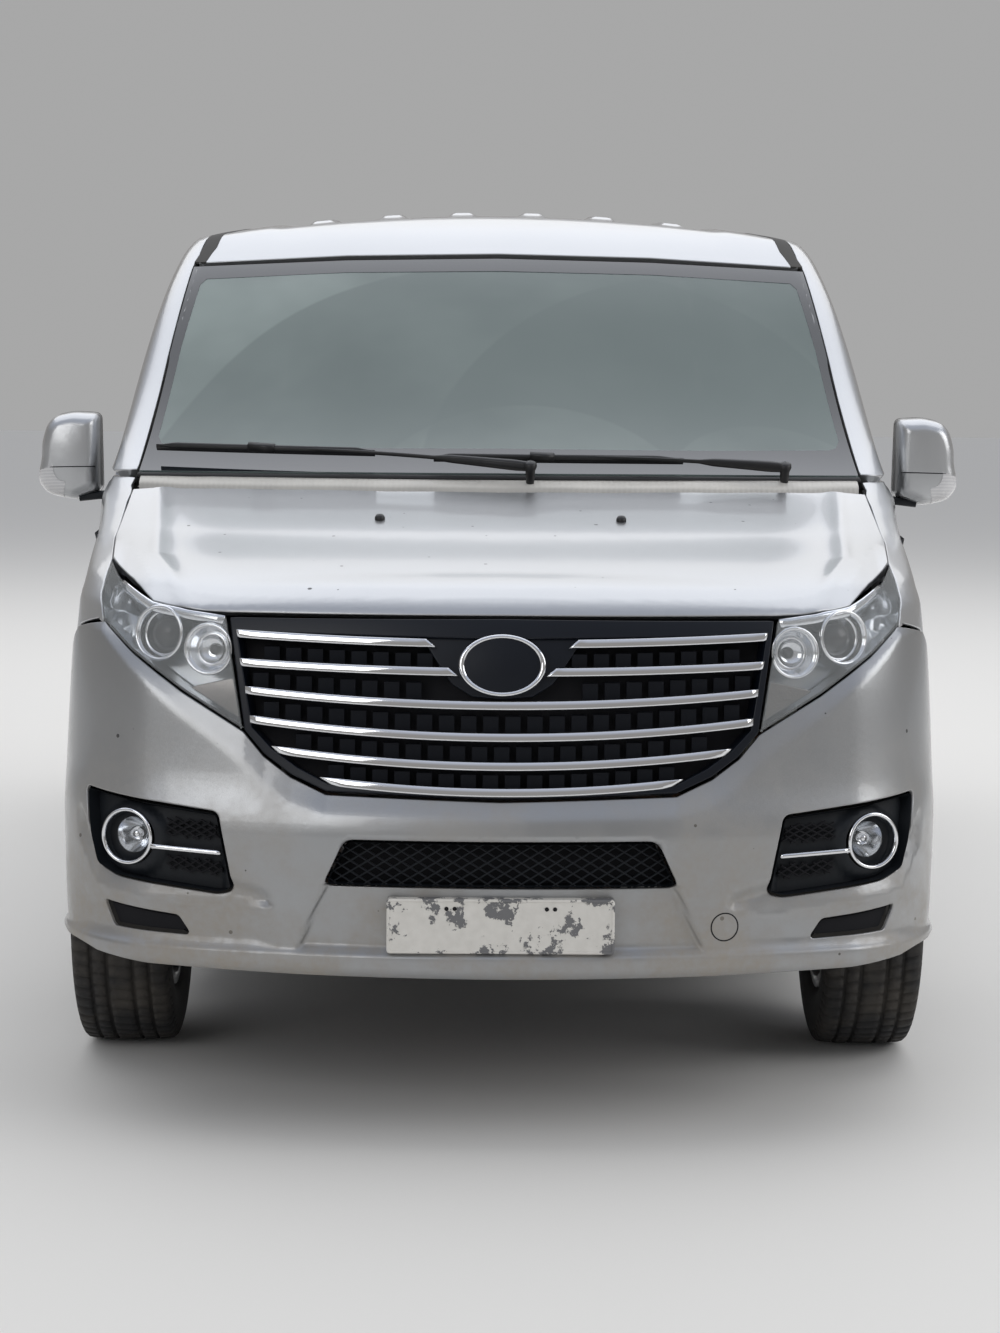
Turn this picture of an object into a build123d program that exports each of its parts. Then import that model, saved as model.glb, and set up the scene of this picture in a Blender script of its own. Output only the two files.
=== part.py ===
"""Seven-seat minivan with a short sloping bonnet, hinged front doors, sliding side doors and a top-hinged
tailgate. Millimetres, +Z up, the nose towards -Y, +X the vehicle's left side. The origin lies on the ground
below the middle of the vehicle. A station is a distance behind the front bumper."""

import os
from math import cos, radians, sin

from build123d import *

os.makedirs("parts", exist_ok=True)

# Overall sizes
LENGTH = 5120
WHEELBASE = 3080
FRONT_OVERHANG = 930
TRACK = 1635
PANEL_GAP = 6
GLASS = 5

# How far the blocks reach that divide the body into panels: past its side, below and above it, ahead of its nose,
# behind its tail, and inwards from its side and nose
WIDE = 1000
LOW = 200
HIGH = 2000
AHEAD = -50
BEHIND = 5200
SIDE_REACH = 500
NOSE_REACH = 420
LAMP_REACH = 700
SCREEN_FRONT = 850
SCREEN_REAR = 2250

# Heights and depths that several pieces share
BUMPER_BOTTOM = 300
FLOOR_TOP = 520
FLOOR_THICKNESS = 50
FLOOR_BOTTOM = FLOOR_TOP - FLOOR_THICKNESS
CABIN_FRONT = 1100
CABIN_REAR = 4960
BAY_WALL = 20
GLASS_RECESS = 4
PLATE_WIDTH = 430
PLATE_BOTTOM = 379
PLATE_TOP = 490
PLATE_HOLE = 3
PLATE_HOLE_PITCH = 196
PLATE_HOLE_HEIGHT = 469
PLATE_HOLE_DEPTH = 25
PLATE_DEPTH = 60
PILLAR_FRONT = 2400
PILLAR_REAR = 2490
PILLAR_DEPTH = 45
PILLAR_TOP = 1860
SILL_TOP = 660
REAR_SILL_HALF = 690
REAR_SILL_DEPTH = 60
TUB_TOP = 900
TIE_BAR = 240
TIE_BAR_DEPTH = 36
TIE_BAR_BOTTOM = 900
TIE_BAR_TOP = 960
STOP_X = 400
STOP_RADIUS = 14
STOP_LENGTH = 300
STOP_CLEARANCE = 2
BONNET_CORNER = 1133
BONNET_REAR_GAP = 10
BONNET_SIDE_GAP = 4
BONNET_LINE_HEIGHT = 600
BUMPER_TOP = 1100
ROOF_FRONT = 1700
ROOF_SIDE_FRONT = 1000
ROOF_LOW = 1700
CUT_HEIGHT = 200
COWL_HALF = 838
COWL_BOTTOM = 1180
COWL_PEAK = 1330
SCREEN_FOOT = 1270
COWL_FRONT = 900
BULKHEAD = 20
TUB_BOTTOM = 300
FIT = 0.3
BAR_RECESS = 8
BAR_BACK = 38
BAR_HALF_HEIGHT = 9
STAY_X = 118
STAY_WIDTH = 8
STAY_MIDDLE = 850
STAY_LENGTH = 280
EMBLEM_HALF_WIDTH = 86
EMBLEM_HALF_HEIGHT = 60
EMBLEM_MIDDLE = 941
EMBLEM_CARRIER = 16
BLADE = 6
ARM = 7
PIVOT_POST = 9
PIVOT_BOSS = 8
PIVOT_LENGTH = 60
WINDOW_CORNER = 35
TAIL_CUT = 4800
TAIL_LAMP_FRONT = 4830
REAR_BUMPER_BOTTOM = 280
POCKET_SKIN = 22

# Fog lamp, lower grille and headlamp bowls
FOG_X = 749
FOG_Z = 577
FOG_RADIUS = 44
FOG_FRONT = 165
FOG_DEPTH = 60
MESH_PITCH_X = 48
MESH_PITCH_Z = 38
MESH_COLUMNS = 12
MESH_ROWS = 2
MESH_BAR = 8
MESH_MIDDLE = 553
MESH_DEPTH = 250
# Columns: X, height, radius of the bowl, station of the lens, station of the bowl's floor, radius of the lens.
LAMP_BOWLS = [
    (689, 985, 54, 225, 252, 35),
    (584, 958, 52, 200, 212, 12),
]

# Door handles and the sliding door's rail
FRONT_HANDLE = 2340
SLIDING_HANDLE = 2580
HANDLE_ROOT = 905
HANDLE_OUT = 956
HANDLE_Z = 1070
HANDLE_LENGTH = 160
HANDLE_HEIGHT = 30
RAIL_X = 916
RAIL_Z = 1090
RAIL_HEIGHT = 16
RAIL_END = 4650

# Door mirrors
MIRROR_OUT = 1100
MIRROR_MIDDLE = 1297.5
MIRROR_WIDTH = 125
MIRROR_HEIGHT = 215
MIRROR_CORNER = 34
MIRROR_FACE = 1470
MIRROR_DEPTH = 110
MIRROR_TAPER = 22
# Columns: X, station and Z of the arm's lower corner, then of the upper one.
MIRROR_ARM = ((880, 1385, 1192), (1000, 1450, 1216))

# Wheels, tyres and their arches
TYRE_RADIUS = 343
TYRE_WIDTH = 215
HUB_BORE = 34
SPINDLE = 33.6
RIM_SEAT = 205.7
RIM_HALF = 94
FLANGE_INNER = 88.6
FLANGE_RADIUS = 220
BEAD_HALF = 86
HUB_FACE_OUT = 44
DISC = 10
WINDOW_TAPER = 82
WINDOW_DEPTH = 80
WINDOW_COUNT = 10
WINDOW_RING = 120
WINDOW_LENGTH = 62
WINDOW_WIDTH = 38
BRAKE_DISC = 116
BRAKE_OFFSET = 14
BRAKE_THICKNESS = 22
HUB = 60
HUB_SETBACK = 8
KNUCKLE = 62
KINGPIN = 24
SPINDLE_LENGTH = 30
DRUM_INNER = 60
DRUM_OUTER = 20
PINION_REACH = 300
SPRING_INNER = 470
SPRING_OUTER = 530
SPRING_BOTTOM = 300
SPRING_TOP = 350
SPRING_REACH = 650
SPRING_TAIL = 30
SPRING_EYE = 60
COIL = 55
COIL_LENGTH = 90
ARM_SPREAD = 124
ARM_HALF = 25
ARM_THICKNESS = 26
LOWER_ARM_ROOT = 380
UPPER_ARM_ROOT = 575
STRUT_X = 600
STRUT = 28
STRUT_TOP = 745
AXLE_TUBE = 38
DIFFERENTIAL = 118
STEERING_RADIUS = 178
STEERING_RIM = 15
STEERING_HUB = 70
STEERING_SPOKE = 40
COLUMN_TILT = 25
COLUMN = 38
COLUMN_LENGTH = 260
HUB_DEPTH = 40
HUB_THICKNESS = 45
SPOKE_DEPTH = 12
SPOKE_THICKNESS = 14
WHEEL_CENTRE = (370, 1790, 1100)
DASH_HALF = 790
SEAT_INNER = 190
SEAT_OUTER = 720
ARCH_RADIUS = 396
TUB_WALL = 8
FRONT_TUB_INNER = 480
REAR_TUB_INNER = 620
KINGPIN_X = 782
PROPSHAFT = 32
PROPSHAFT_Z = 385
EXHAUST_X = -330
PIPE_RADIUS = 25
PIPE_Z = 246
SILENCER_Z = 300
SILENCER_WIDTH = 220
SILENCER_HEIGHT = 144
HANGER_HALF = 15
HANGER_DEPTH = 20

FRONT = -LENGTH / 2
FRONT_AXLE = FRONT + FRONT_OVERHANG
REAR_AXLE = FRONT_AXLE + WHEELBASE
WHEEL_X = TRACK / 2

# Body form
# Horizontal outlines of the body, one for each height. Columns: height, nose station on the centre line,
# sweep of the nose arc at the corner, half width at the corner, half width amidships, corner radius,
# rear station, rear corner radius, wall at the side, wall at the front, bonnet wall.
BODY_ROWS = [
    (240, 70, 190, 850, 905, 300, 5070, 160, 75, 60, 20),
    (350, 12, 190, 888, 928, 340, 5120, 150, 75, 60, 20),
    (600, 12, 190, 895, 938, 340, 5115, 150, 75, 60, 20),
    (700, 34, 194, 892, 940, 340, 5075, 140, 75, 60, 20),
    (1033, 100, 200, 872, 936, 330, 5055, 130, 75, 60, 25),
    (1080, 165, 215, 866, 932, 330, 5050, 130, 70, 130, 90),
    (1170, 570, 225, 880, 927, 280, 5040, 120, 60, 150, 100),
    (1262, 975, 190, 893, 914, 110, 5025, 110, 50, 80, 100),
    (1786, 1775, 90, 790, 812, 90, 4950, 100, 45, 80, 80),
    (1860, 1930, 90, 745, 768, 90, 4925, 100, 40, 80, 80),
    (1910, 2090, 90, 690, 715, 90, 4890, 100, 40, 80, 80),
    (1990, 2400, 90, 560, 590, 90, 4800, 100, 40, 80, 80),
]
SHOULDER_STATION = 1150
REAR_SWEEP = 25
FLANK_TAPER = 10
SMALLEST_CORNER = 40

# Roof crown
ROOF_PEAK = 1956
ROOF_PEAK_STATION = 3500
ROOF_CROWN_RADIUS = 4450
ROOF_LENGTH_RADIUS = 22000
ROOF_HALF_SPAN = 1000
ROOF_SWING = 11
ROOF_THICKNESS = 35
RIB_COUNT = 6
RIB_PITCH = 190
RIB_WIDTH = 48
RIB_HEIGHT = 12
RIB_START = 2420
RIB_END = 4780
DITCH_X = 712
DITCH_WIDTH = 22
DITCH_DEPTH = 12


def station(distance):
    """The Y of a place that far behind the front bumper."""
    return FRONT + distance


def save(part, name):
    part.label = name
    export_step(part, f"parts/{name}.step")


def mirrored(part):
    return mirror(part, about=Plane.YZ)


def plan_outline(row, side_inset, front_inset):
    """One closed outline of the body: a nose arc, rounded corners, flanks and a slightly bowed tail."""
    z, nose, sweep, corner, half, radius, rear, rear_radius = row[:8]
    nose_y = station(nose) + front_inset
    corner_y = station(nose + sweep) + front_inset
    shoulder_y = max(station(SHOULDER_STATION), corner_y + 120)
    rear_y = station(rear) - side_inset
    corner_x, half_x = corner - side_inset, half - side_inset
    tail_x, tail_y = half_x - FLANK_TAPER, rear_y - REAR_SWEEP
    with BuildSketch(Plane.XY.offset(z)) as outline:
        with BuildLine():
            ThreePointArc((-corner_x, corner_y), (0, nose_y), (corner_x, corner_y))
            Polyline((corner_x, corner_y), (half_x, shoulder_y), (tail_x, tail_y))
            ThreePointArc((tail_x, tail_y), (0, rear_y), (-tail_x, tail_y))
            Polyline((-tail_x, tail_y), (-half_x, shoulder_y), (-corner_x, corner_y))
        make_face()
        fillet(outline.vertices().group_by(Axis.Y)[0], max(radius - side_inset / 2, SMALLEST_CORNER))
        fillet(outline.vertices().group_by(Axis.Y)[-1], max(rear_radius - side_inset / 2, SMALLEST_CORNER))
    return outline.sketch


def crown_form(drop):
    """A block with the roof's double curvature on top, lowered by drop."""
    peak = ROOF_PEAK - drop
    edge = peak - ROOF_HALF_SPAN**2 / (2 * ROOF_CROWN_RADIUS)
    axis = Axis((0, station(ROOF_PEAK_STATION), peak - ROOF_LENGTH_RADIUS), (1, 0, 0))
    with BuildPart() as block:
        with BuildSketch(Plane.XZ.offset(-station(ROOF_PEAK_STATION))) as profile:
            with BuildLine():
                ThreePointArc((-ROOF_HALF_SPAN, edge), (0, peak), (ROOF_HALF_SPAN, edge))
                Polyline((ROOF_HALF_SPAN, edge), (ROOF_HALF_SPAN, -edge), (-ROOF_HALF_SPAN, -edge),
                         (-ROOF_HALF_SPAN, edge))
            make_face()
        revolve(axis=axis, revolution_arc=ROOF_SWING)
        revolve(profile.sketch, axis=axis, revolution_arc=-ROOF_SWING)
    return block.part


def body_form(insets, drop):
    """The whole body as one solid. insets gives each row's side inset and front inset."""
    with BuildPart() as form:
        for row in BODY_ROWS:
            add(plan_outline(row, *insets(row)))
        loft(ruled=True)
        add(crown_form(drop), mode=Mode.INTERSECT)
    return form.part


def side_block(points, x_from, x_to, radius=0):
    """A side-view outline, as stations and heights, made solid from x_from to x_to."""
    with BuildPart() as block:
        with BuildSketch(Plane.YZ.offset(x_from)) as face:
            with BuildLine():
                Polyline(*[(station(s), z) for s, z in points], close=True)
            make_face()
            if radius:
                fillet(face.vertices(), radius)
        extrude(amount=x_to - x_from)
    return block.part


def front_block(points, from_station, to_station, radius=0):
    """A front-view outline, as half widths and heights, made solid along the vehicle."""
    with BuildPart() as block:
        with BuildSketch(Plane.XZ.offset(-station(from_station))) as face:
            with BuildLine():
                Polyline(*points, close=True)
            make_face()
            if radius:
                fillet(face.vertices(), radius)
        extrude(amount=from_station - to_station)
    return block.part


def box_between(low, high):
    """A plain block from one corner to the other, as X, station and Z."""
    size = [b - a for a, b in zip(low, high)]
    with BuildPart() as block:
        with Locations((low[0], station(low[1]), low[2])):
            Box(*size, align=(Align.MIN, Align.MIN, Align.MIN))
    return block.part


def grown(points, by):
    """A closed outline moved outwards by so much, for the gap round a panel."""
    with BuildSketch() as face:
        with BuildLine():
            Polyline(*points, close=True)
        make_face()
        offset(amount=by, kind=Kind.INTERSECTION)
    corners = face.sketch.faces()[0].outer_wire().order_edges()
    return [(e.position_at(0).X, e.position_at(0).Y) for e in corners]


outer = body_form(lambda row: (0, 0), 0)
cabin_void = body_form(lambda row: (row[8], row[9]), ROOF_THICKNESS)
sheet_void = body_form(lambda row: (BAY_WALL, row[10]), ROOF_THICKNESS)
glass_outer = body_form(lambda row: (GLASS_RECESS, GLASS_RECESS), GLASS_RECESS)
glass_inner = body_form(lambda row: (GLASS_RECESS + GLASS, GLASS_RECESS + 2 * GLASS), GLASS_RECESS + GLASS)

seat_form = body_form(lambda row: (row[8] + FIT, row[9] + FIT), ROOF_THICKNESS + FIT)
pillar_back = body_form(lambda row: (row[8] + PILLAR_DEPTH, row[9] + PILLAR_DEPTH), ROOF_THICKNESS + FIT)
stop_form = body_form(lambda row: (BAY_WALL, row[10] + STOP_CLEARANCE), ROOF_THICKNESS)

with BuildPart() as wall_form:
    add(outer)
    add(cabin_void, mode=Mode.SUBTRACT)
walls = wall_form.part

with BuildPart() as bonnet_form:
    add(outer)
    add(sheet_void, mode=Mode.SUBTRACT)
bonnet_sheet = bonnet_form.part

with BuildPart() as glass_form:
    add(glass_outer)
    add(glass_inner, mode=Mode.SUBTRACT)
glass_sheet = glass_form.part

# Openings and panel outlines
# Side views, as stations and heights.
FRONT_DOOR = [(1400, 350), (1372, 760), (1345, 1205), (1430, 1310), (2035, 1752), (2160, 1800), (2440, 1815),
              (2440, 350)]
FRONT_WINDOW = [(1490, 1215), (1515, 1300), (2085, 1718), (2190, 1755), (2360, 1762), (2360, 1200)]
SLIDING_DOOR = [(2449, 350), (2449, 1815), (3500, 1815), (3500, 720), (3470, 350)]
SLIDING_WINDOW = [(2530, 1200), (2530, 1762), (3430, 1762), (3430, 1200)]
REAR_WINDOW = [(3580, 1205), (3580, 1762), (4670, 1750), (4760, 1215)]
BUMPER_SIDE = [(-50, 200), (-50, 1150), (300, 1150), (485, 1000), (500, 930), (600, 560), (600, 200)]
FENDER_SIDE = [(600, 200), (600, 560), (500, 930), (485, 1000), (300, 1150), (300, 1320), (1100, 1320),
               (1345, 1205), (1372, 760), (1400, 350), (1407, 200)]
REAR_BUMPER_SIDE = [(4420, 200), (4400, 560), (4780, 600), (4900, 612), (5200, 612), (5200, 200)]
# Front and rear views, as half widths and heights; the first kind lists one half.
SCREEN = [(0, 1270), (838, 1270), (738, 1766), (380, 1781), (0, 1786)]
BONNET_EDGE = [(0, 1030), (545, 1033), (625, 1046), (705, 1064), (772, 1090), (826, 1122), (866, 1172),
               (905, 1236), (905, 1330), (0, 1330)]
GRILLE = [(0, 1030), (543, 1033), (506, 800), (462, 756), (400, 716), (340, 694), (0, 686)]
LAMP = [(506, 800), (543, 1033), (625, 1046), (705, 1064), (772, 1090), (826, 1122), (850, 1060), (840, 994),
        (762, 936), (650, 872)]
TAILGATE = [(0, 618), (745, 618), (772, 1100), (700, 1760), (640, 1850), (0, 1880)]
REAR_SCREEN = [(0, 1205), (660, 1205), (590, 1740), (0, 1740)]
FOG_POCKET = [(562, 642), (532, 491), (560, 483), (699, 497), (773, 505), (814, 521), (830, 581), (837, 671)]
LOWER_GRILLE = [(0, 596), (303, 595), (346, 509), (0, 509)]
TAIL_LAMP = [(779, 940), (990, 940), (990, 1500), (735, 1500), (779, 1100)]


def both_halves(half):
    """The whole outline of a shape that is given by its left half and is the same on both sides."""
    return half + [(-x, z) for x, z in reversed(half) if x > 0]


def arch_cylinder(axle_station, radius, inner):
    """The round space of one axle's left wheel, from so far out and open outwards."""
    with BuildPart() as space:
        with BuildSketch(Plane.YZ.offset(inner)):
            with Locations((station(axle_station), TYRE_RADIUS)):
                Circle(radius)
        extrude(amount=LENGTH / 4)
    return space.part


front_arch = arch_cylinder(FRONT_OVERHANG, ARCH_RADIUS, FRONT_TUB_INNER)
rear_arch = arch_cylinder(FRONT_OVERHANG + WHEELBASE, ARCH_RADIUS, REAR_TUB_INNER)
arches = [front_arch, rear_arch, mirrored(front_arch), mirrored(rear_arch)]
door_block = side_block(FRONT_DOOR, SIDE_REACH, WIDE)
door_space = side_block(grown(FRONT_DOOR, PANEL_GAP), SIDE_REACH, WIDE)
sliding_block = side_block(SLIDING_DOOR, SIDE_REACH, WIDE)
front_window = side_block(FRONT_WINDOW, SIDE_REACH, WIDE, WINDOW_CORNER)
sliding_window = side_block(SLIDING_WINDOW, SIDE_REACH, WIDE, WINDOW_CORNER)
rear_window = side_block(REAR_WINDOW, SIDE_REACH, WIDE, WINDOW_CORNER)
bumper_side = side_block(BUMPER_SIDE, -WIDE, WIDE)
fender_side = side_block(FENDER_SIDE, SIDE_REACH, WIDE)
rear_bumper_side = side_block(REAR_BUMPER_SIDE, -WIDE, WIDE)
screen_block = front_block(both_halves(SCREEN), SCREEN_FRONT, SCREEN_REAR)
bonnet_block = front_block(both_halves(BONNET_EDGE), AHEAD, BONNET_CORNER)
bonnet_gap_edge = [(x + BONNET_SIDE_GAP if x else 0, z - PANEL_GAP) for x, z in BONNET_EDGE]
bonnet_space = front_block(both_halves(bonnet_gap_edge), AHEAD, BONNET_CORNER + BONNET_REAR_GAP)
grille_block = front_block(both_halves(GRILLE), AHEAD, NOSE_REACH)
lamp_block = front_block(LAMP, AHEAD, LAMP_REACH)
tailgate_block = front_block(both_halves(TAILGATE), TAIL_CUT, BEHIND)
tailgate_space = front_block(grown(both_halves(TAILGATE), PANEL_GAP), TAIL_CUT - PANEL_GAP, BEHIND)
rear_screen_block = front_block(both_halves(REAR_SCREEN), TAIL_CUT, BEHIND, WINDOW_CORNER)
tail_lamp_block = front_block(TAIL_LAMP, TAIL_LAMP_FRONT, BEHIND)
fog_block = front_block(FOG_POCKET, AHEAD, NOSE_REACH)
lower_grille_block = front_block(both_halves(LOWER_GRILLE), AHEAD, NOSE_REACH)
roof_block = box_between((-DITCH_X, ROOF_FRONT, ROOF_LOW), (DITCH_X, BEHIND, HIGH))

# Channels pressed between the roof's ribs, and the ditch along each side of the roof
roof_floor = crown_form(RIB_HEIGHT)
ditch_floor = crown_form(DITCH_DEPTH)
with BuildPart() as channels:
    with Locations((0, station((RIB_START + RIB_END) / 2), ROOF_PEAK)):
        with GridLocations(RIB_PITCH, 1, RIB_COUNT - 1, 1):
            Box(RIB_PITCH - RIB_WIDTH, RIB_END - RIB_START, CUT_HEIGHT)
    add(roof_floor, mode=Mode.SUBTRACT)
with BuildPart() as ditches:
    with Locations((0, station((RIB_START + RIB_END) / 2), ROOF_PEAK)):
        with GridLocations(2 * DITCH_X, 1, 2, 1):
            Box(DITCH_WIDTH, RIB_END - RIB_START, CUT_HEIGHT)
    add(ditch_floor, mode=Mode.SUBTRACT)

# The line behind the bonnet, a plan arc that follows the nose's sweep. Columns as in BODY_ROWS.
BONNET_REAR_ROW = (1100, 937, 196, 893, 914, 110, 5025, 110)
with BuildPart() as behind_bonnet:
    add(plan_outline(BONNET_REAR_ROW, 0, 0))
    extrude(amount=BONNET_LINE_HEIGHT)
with BuildPart() as behind_gap:
    add(plan_outline(BONNET_REAR_ROW, 0, PANEL_GAP))
    extrude(amount=BONNET_LINE_HEIGHT)


def panel(sheet, region, cuts):
    """A body panel: the part of a sheet inside a region, less what is cut from it."""
    with BuildPart() as piece:
        add(sheet)
        add(region, mode=Mode.INTERSECT)
        for cut in cuts:
            add(cut, mode=Mode.SUBTRACT)
    return piece.part


# Front end
with BuildPart() as cowl:
    add(outer)
    add(box_between((-COWL_HALF, COWL_FRONT, COWL_BOTTOM), (COWL_HALF, CABIN_FRONT, SCREEN_FOOT)),
        mode=Mode.INTERSECT)
    add(behind_gap.part, mode=Mode.INTERSECT)
with BuildPart() as cowl_top:
    add(glass_inner)
    add(box_between((-COWL_HALF, COWL_FRONT, SCREEN_FOOT), (COWL_HALF, CABIN_FRONT, COWL_PEAK)),
        mode=Mode.INTERSECT)
with BuildPart() as cowl_panel:
    add(cowl.part)
    add(cowl_top.part)
save(cowl_panel.part, "cowl")

pocket_floor = body_form(lambda row: (POCKET_SKIN, POCKET_SKIN), POCKET_SKIN)
bumper_space = box_between((-WIDE, AHEAD, BUMPER_BOTTOM), (WIDE, LAMP_REACH, BUMPER_TOP))
bumper_region = panel(bumper_side, bumper_space, [])
front_bumper = panel(walls, bumper_region, [front_arch, mirrored(front_arch), grille_block, lamp_block,
                                            mirrored(lamp_block), bonnet_space])
with BuildPart() as bumper:
    add(front_bumper)
    for pocket in (fog_block, mirrored(fog_block), lower_grille_block):
        add(pocket - pocket_floor, mode=Mode.SUBTRACT)
    with BuildSketch(Plane.XZ.offset(-station(AHEAD))):
        with Locations((0, MESH_MIDDLE)):
            with GridLocations(MESH_PITCH_X, MESH_PITCH_Z, MESH_COLUMNS, MESH_ROWS):
                Rectangle(MESH_PITCH_X - MESH_BAR, MESH_PITCH_Z - MESH_BAR)
    extrude(amount=-(MESH_DEPTH - AHEAD), mode=Mode.SUBTRACT)
    with BuildSketch(Plane.XZ.offset(-station(FOG_FRONT))):
        with Locations((-FOG_X, FOG_Z), (FOG_X, FOG_Z)):
            Circle(FOG_RADIUS)
    extrude(amount=-FOG_DEPTH)
    add(box_between((-PLATE_WIDTH / 2, 0, PLATE_BOTTOM), (PLATE_WIDTH / 2, PLATE_DEPTH, PLATE_TOP)))
    with BuildSketch(Plane.XZ.offset(-station(0))):
        with GridLocations(PLATE_HOLE_PITCH, 1, 2, 1):
            with Locations((0, PLATE_HOLE_HEIGHT)):
                Circle(PLATE_HOLE)
    extrude(amount=-PLATE_HOLE_DEPTH, mode=Mode.SUBTRACT)
save(bumper.part, "front_bumper")
front_fender = panel(walls, fender_side, [front_arch, lamp_block, bonnet_space, screen_block, cowl_panel.part,
                                          door_space])
save(front_fender, "front_fender_left")
save(mirrored(front_fender), "front_fender_right")
with BuildPart() as headlamp_form:
    add(panel(walls, lamp_block, [bonnet_space]))
    for x, z, radius, front, floor, lens in LAMP_BOWLS:
        with BuildSketch(Plane.XZ.offset(-station(floor))):
            with Locations((x, z)):
                Circle(radius)
        extrude(amount=floor, mode=Mode.SUBTRACT)
        with BuildSketch(Plane.XZ.offset(-station(floor))):
            with Locations((x, z)):
                Circle(lens)
        extrude(amount=floor - front)
headlamp = headlamp_form.part
save(headlamp, "headlamp_left")
save(mirrored(headlamp), "headlamp_right")
grille = panel(walls, grille_block, [bonnet_space])
bonnet = panel(bonnet_sheet, bonnet_block, [behind_bonnet.part])
save(bonnet, "bonnet")
windscreen = panel(glass_sheet, screen_block, [])
save(windscreen, "windscreen")

# Sides and roof
rail_start = SLIDING_DOOR[2][0] + PANEL_GAP
sliding_rail = box_between((RAIL_X, rail_start, RAIL_Z), (WIDE, RAIL_END, RAIL_Z + RAIL_HEIGHT))
side_panel = panel(walls, box_between((DITCH_X - DITCH_WIDTH / 2, ROOF_SIDE_FRONT, LOW), (WIDE, BEHIND, HIGH)),
                   [fender_side, door_space, sliding_block, rear_window, rear_arch, screen_block, roof_block,
                    rear_bumper_side, tailgate_space, tail_lamp_block, cowl_panel.part, ditches.part,
                    sliding_rail])
save(side_panel, "side_panel_left")
save(mirrored(side_panel), "side_panel_right")
roof_panel = panel(walls, roof_block, [screen_block, tailgate_space, channels.part, ditches.part])
save(roof_panel, "roof_panel")
for block, window, handle_middle, name in ((door_block, front_window, FRONT_HANDLE, "front_door"),
                                           (sliding_block, sliding_window, SLIDING_HANDLE, "sliding_door")):
    with BuildPart() as door:
        add(panel(walls, block, [window, rear_arch]))
        with BuildSketch(Plane.YZ.offset(HANDLE_ROOT)):
            with Locations((station(handle_middle), HANDLE_Z)):
                SlotOverall(HANDLE_LENGTH, HANDLE_HEIGHT)
        extrude(amount=HANDLE_OUT - HANDLE_ROOT)
    save(door.part, f"{name}_left")
    save(mirrored(door.part), f"{name}_right")
rear_bumper = panel(walls, rear_bumper_side, [rear_arch, mirrored(rear_arch),
                                              box_between((-WIDE, CABIN_FRONT, LOW),
                                                          (WIDE, BEHIND, REAR_BUMPER_BOTTOM))])
save(rear_bumper, "rear_bumper")
tail_lamp = panel(walls, tail_lamp_block, [tailgate_space])
save(tail_lamp, "tail_lamp_left")
save(mirrored(tail_lamp), "tail_lamp_right")
tailgate = panel(walls, tailgate_block, [rear_screen_block, rear_bumper_side])
save(tailgate, "tailgate")
for glass, name in ((front_window, "front_glass"), (sliding_window, "sliding_glass"),
                    (rear_window, "quarter_glass")):
    pane = panel(glass_sheet, glass, [])
    save(pane, f"{name}_left")
    save(mirrored(pane), f"{name}_right")
tailgate_glass = panel(glass_sheet, rear_screen_block, [])
save(tailgate_glass, "tailgate_glass")


# Cowl, bulkhead, floor and wheel tubs
front_tub_outside = arch_cylinder(FRONT_OVERHANG, ARCH_RADIUS + TUB_WALL, FRONT_TUB_INNER - TUB_WALL)
rear_tub_outside = arch_cylinder(FRONT_OVERHANG + WHEELBASE, ARCH_RADIUS + TUB_WALL, REAR_TUB_INNER - TUB_WALL)
above_hub = box_between((-WIDE, 0, TUB_BOTTOM), (WIDE, BEHIND, TUB_TOP))
with BuildPart() as front_liner:
    add(front_tub_outside)
    add(front_arch, mode=Mode.SUBTRACT)
    add(cabin_void, mode=Mode.INTERSECT)
    add(above_hub, mode=Mode.INTERSECT)
save(front_liner.part, "front_wheel_liner_left")
save(mirrored(front_liner.part), "front_wheel_liner_right")

with BuildPart() as bulkhead:
    add(cabin_void)
    add(box_between((-WIDE, CABIN_FRONT - BULKHEAD, FLOOR_BOTTOM), (WIDE, CABIN_FRONT, COWL_BOTTOM)),
        mode=Mode.INTERSECT)
    add(front_tub_outside, mode=Mode.SUBTRACT)
    add(mirrored(front_tub_outside), mode=Mode.SUBTRACT)
save(bulkhead.part, "bulkhead")

with BuildPart() as rear_tub:
    add(rear_tub_outside)
    add(rear_arch, mode=Mode.SUBTRACT)
    add(cabin_void, mode=Mode.INTERSECT)
    add(box_between((0, CABIN_FRONT, FLOOR_BOTTOM), (WIDE, BEHIND, TUB_TOP)), mode=Mode.INTERSECT)
with BuildPart() as rear_sill:
    add(seat_form)
    add(box_between((-REAR_SILL_HALF, CABIN_REAR - REAR_SILL_DEPTH, FLOOR_TOP),
                    (REAR_SILL_HALF, BEHIND, SILL_TOP)), mode=Mode.INTERSECT)
with BuildPart() as floor_pan:
    add(cabin_void)
    add(box_between((-WIDE, CABIN_FRONT, FLOOR_BOTTOM), (WIDE, BEHIND, FLOOR_TOP)), mode=Mode.INTERSECT)
    for tub in (front_tub_outside, rear_tub_outside):
        add(tub, mode=Mode.SUBTRACT)
        add(mirrored(tub), mode=Mode.SUBTRACT)
    add(rear_tub.part)
    add(mirrored(rear_tub.part))
    add(rear_sill.part)
save(floor_pan.part, "floor_pan")

with BuildPart() as centre_pillar:
    add(seat_form)
    add(pillar_back, mode=Mode.SUBTRACT)
    add(box_between((SIDE_REACH, PILLAR_FRONT, FLOOR_TOP), (WIDE, PILLAR_REAR, PILLAR_TOP)),
        mode=Mode.INTERSECT)
save(centre_pillar.part, "centre_pillar_left")
save(mirrored(centre_pillar.part), "centre_pillar_right")

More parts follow.
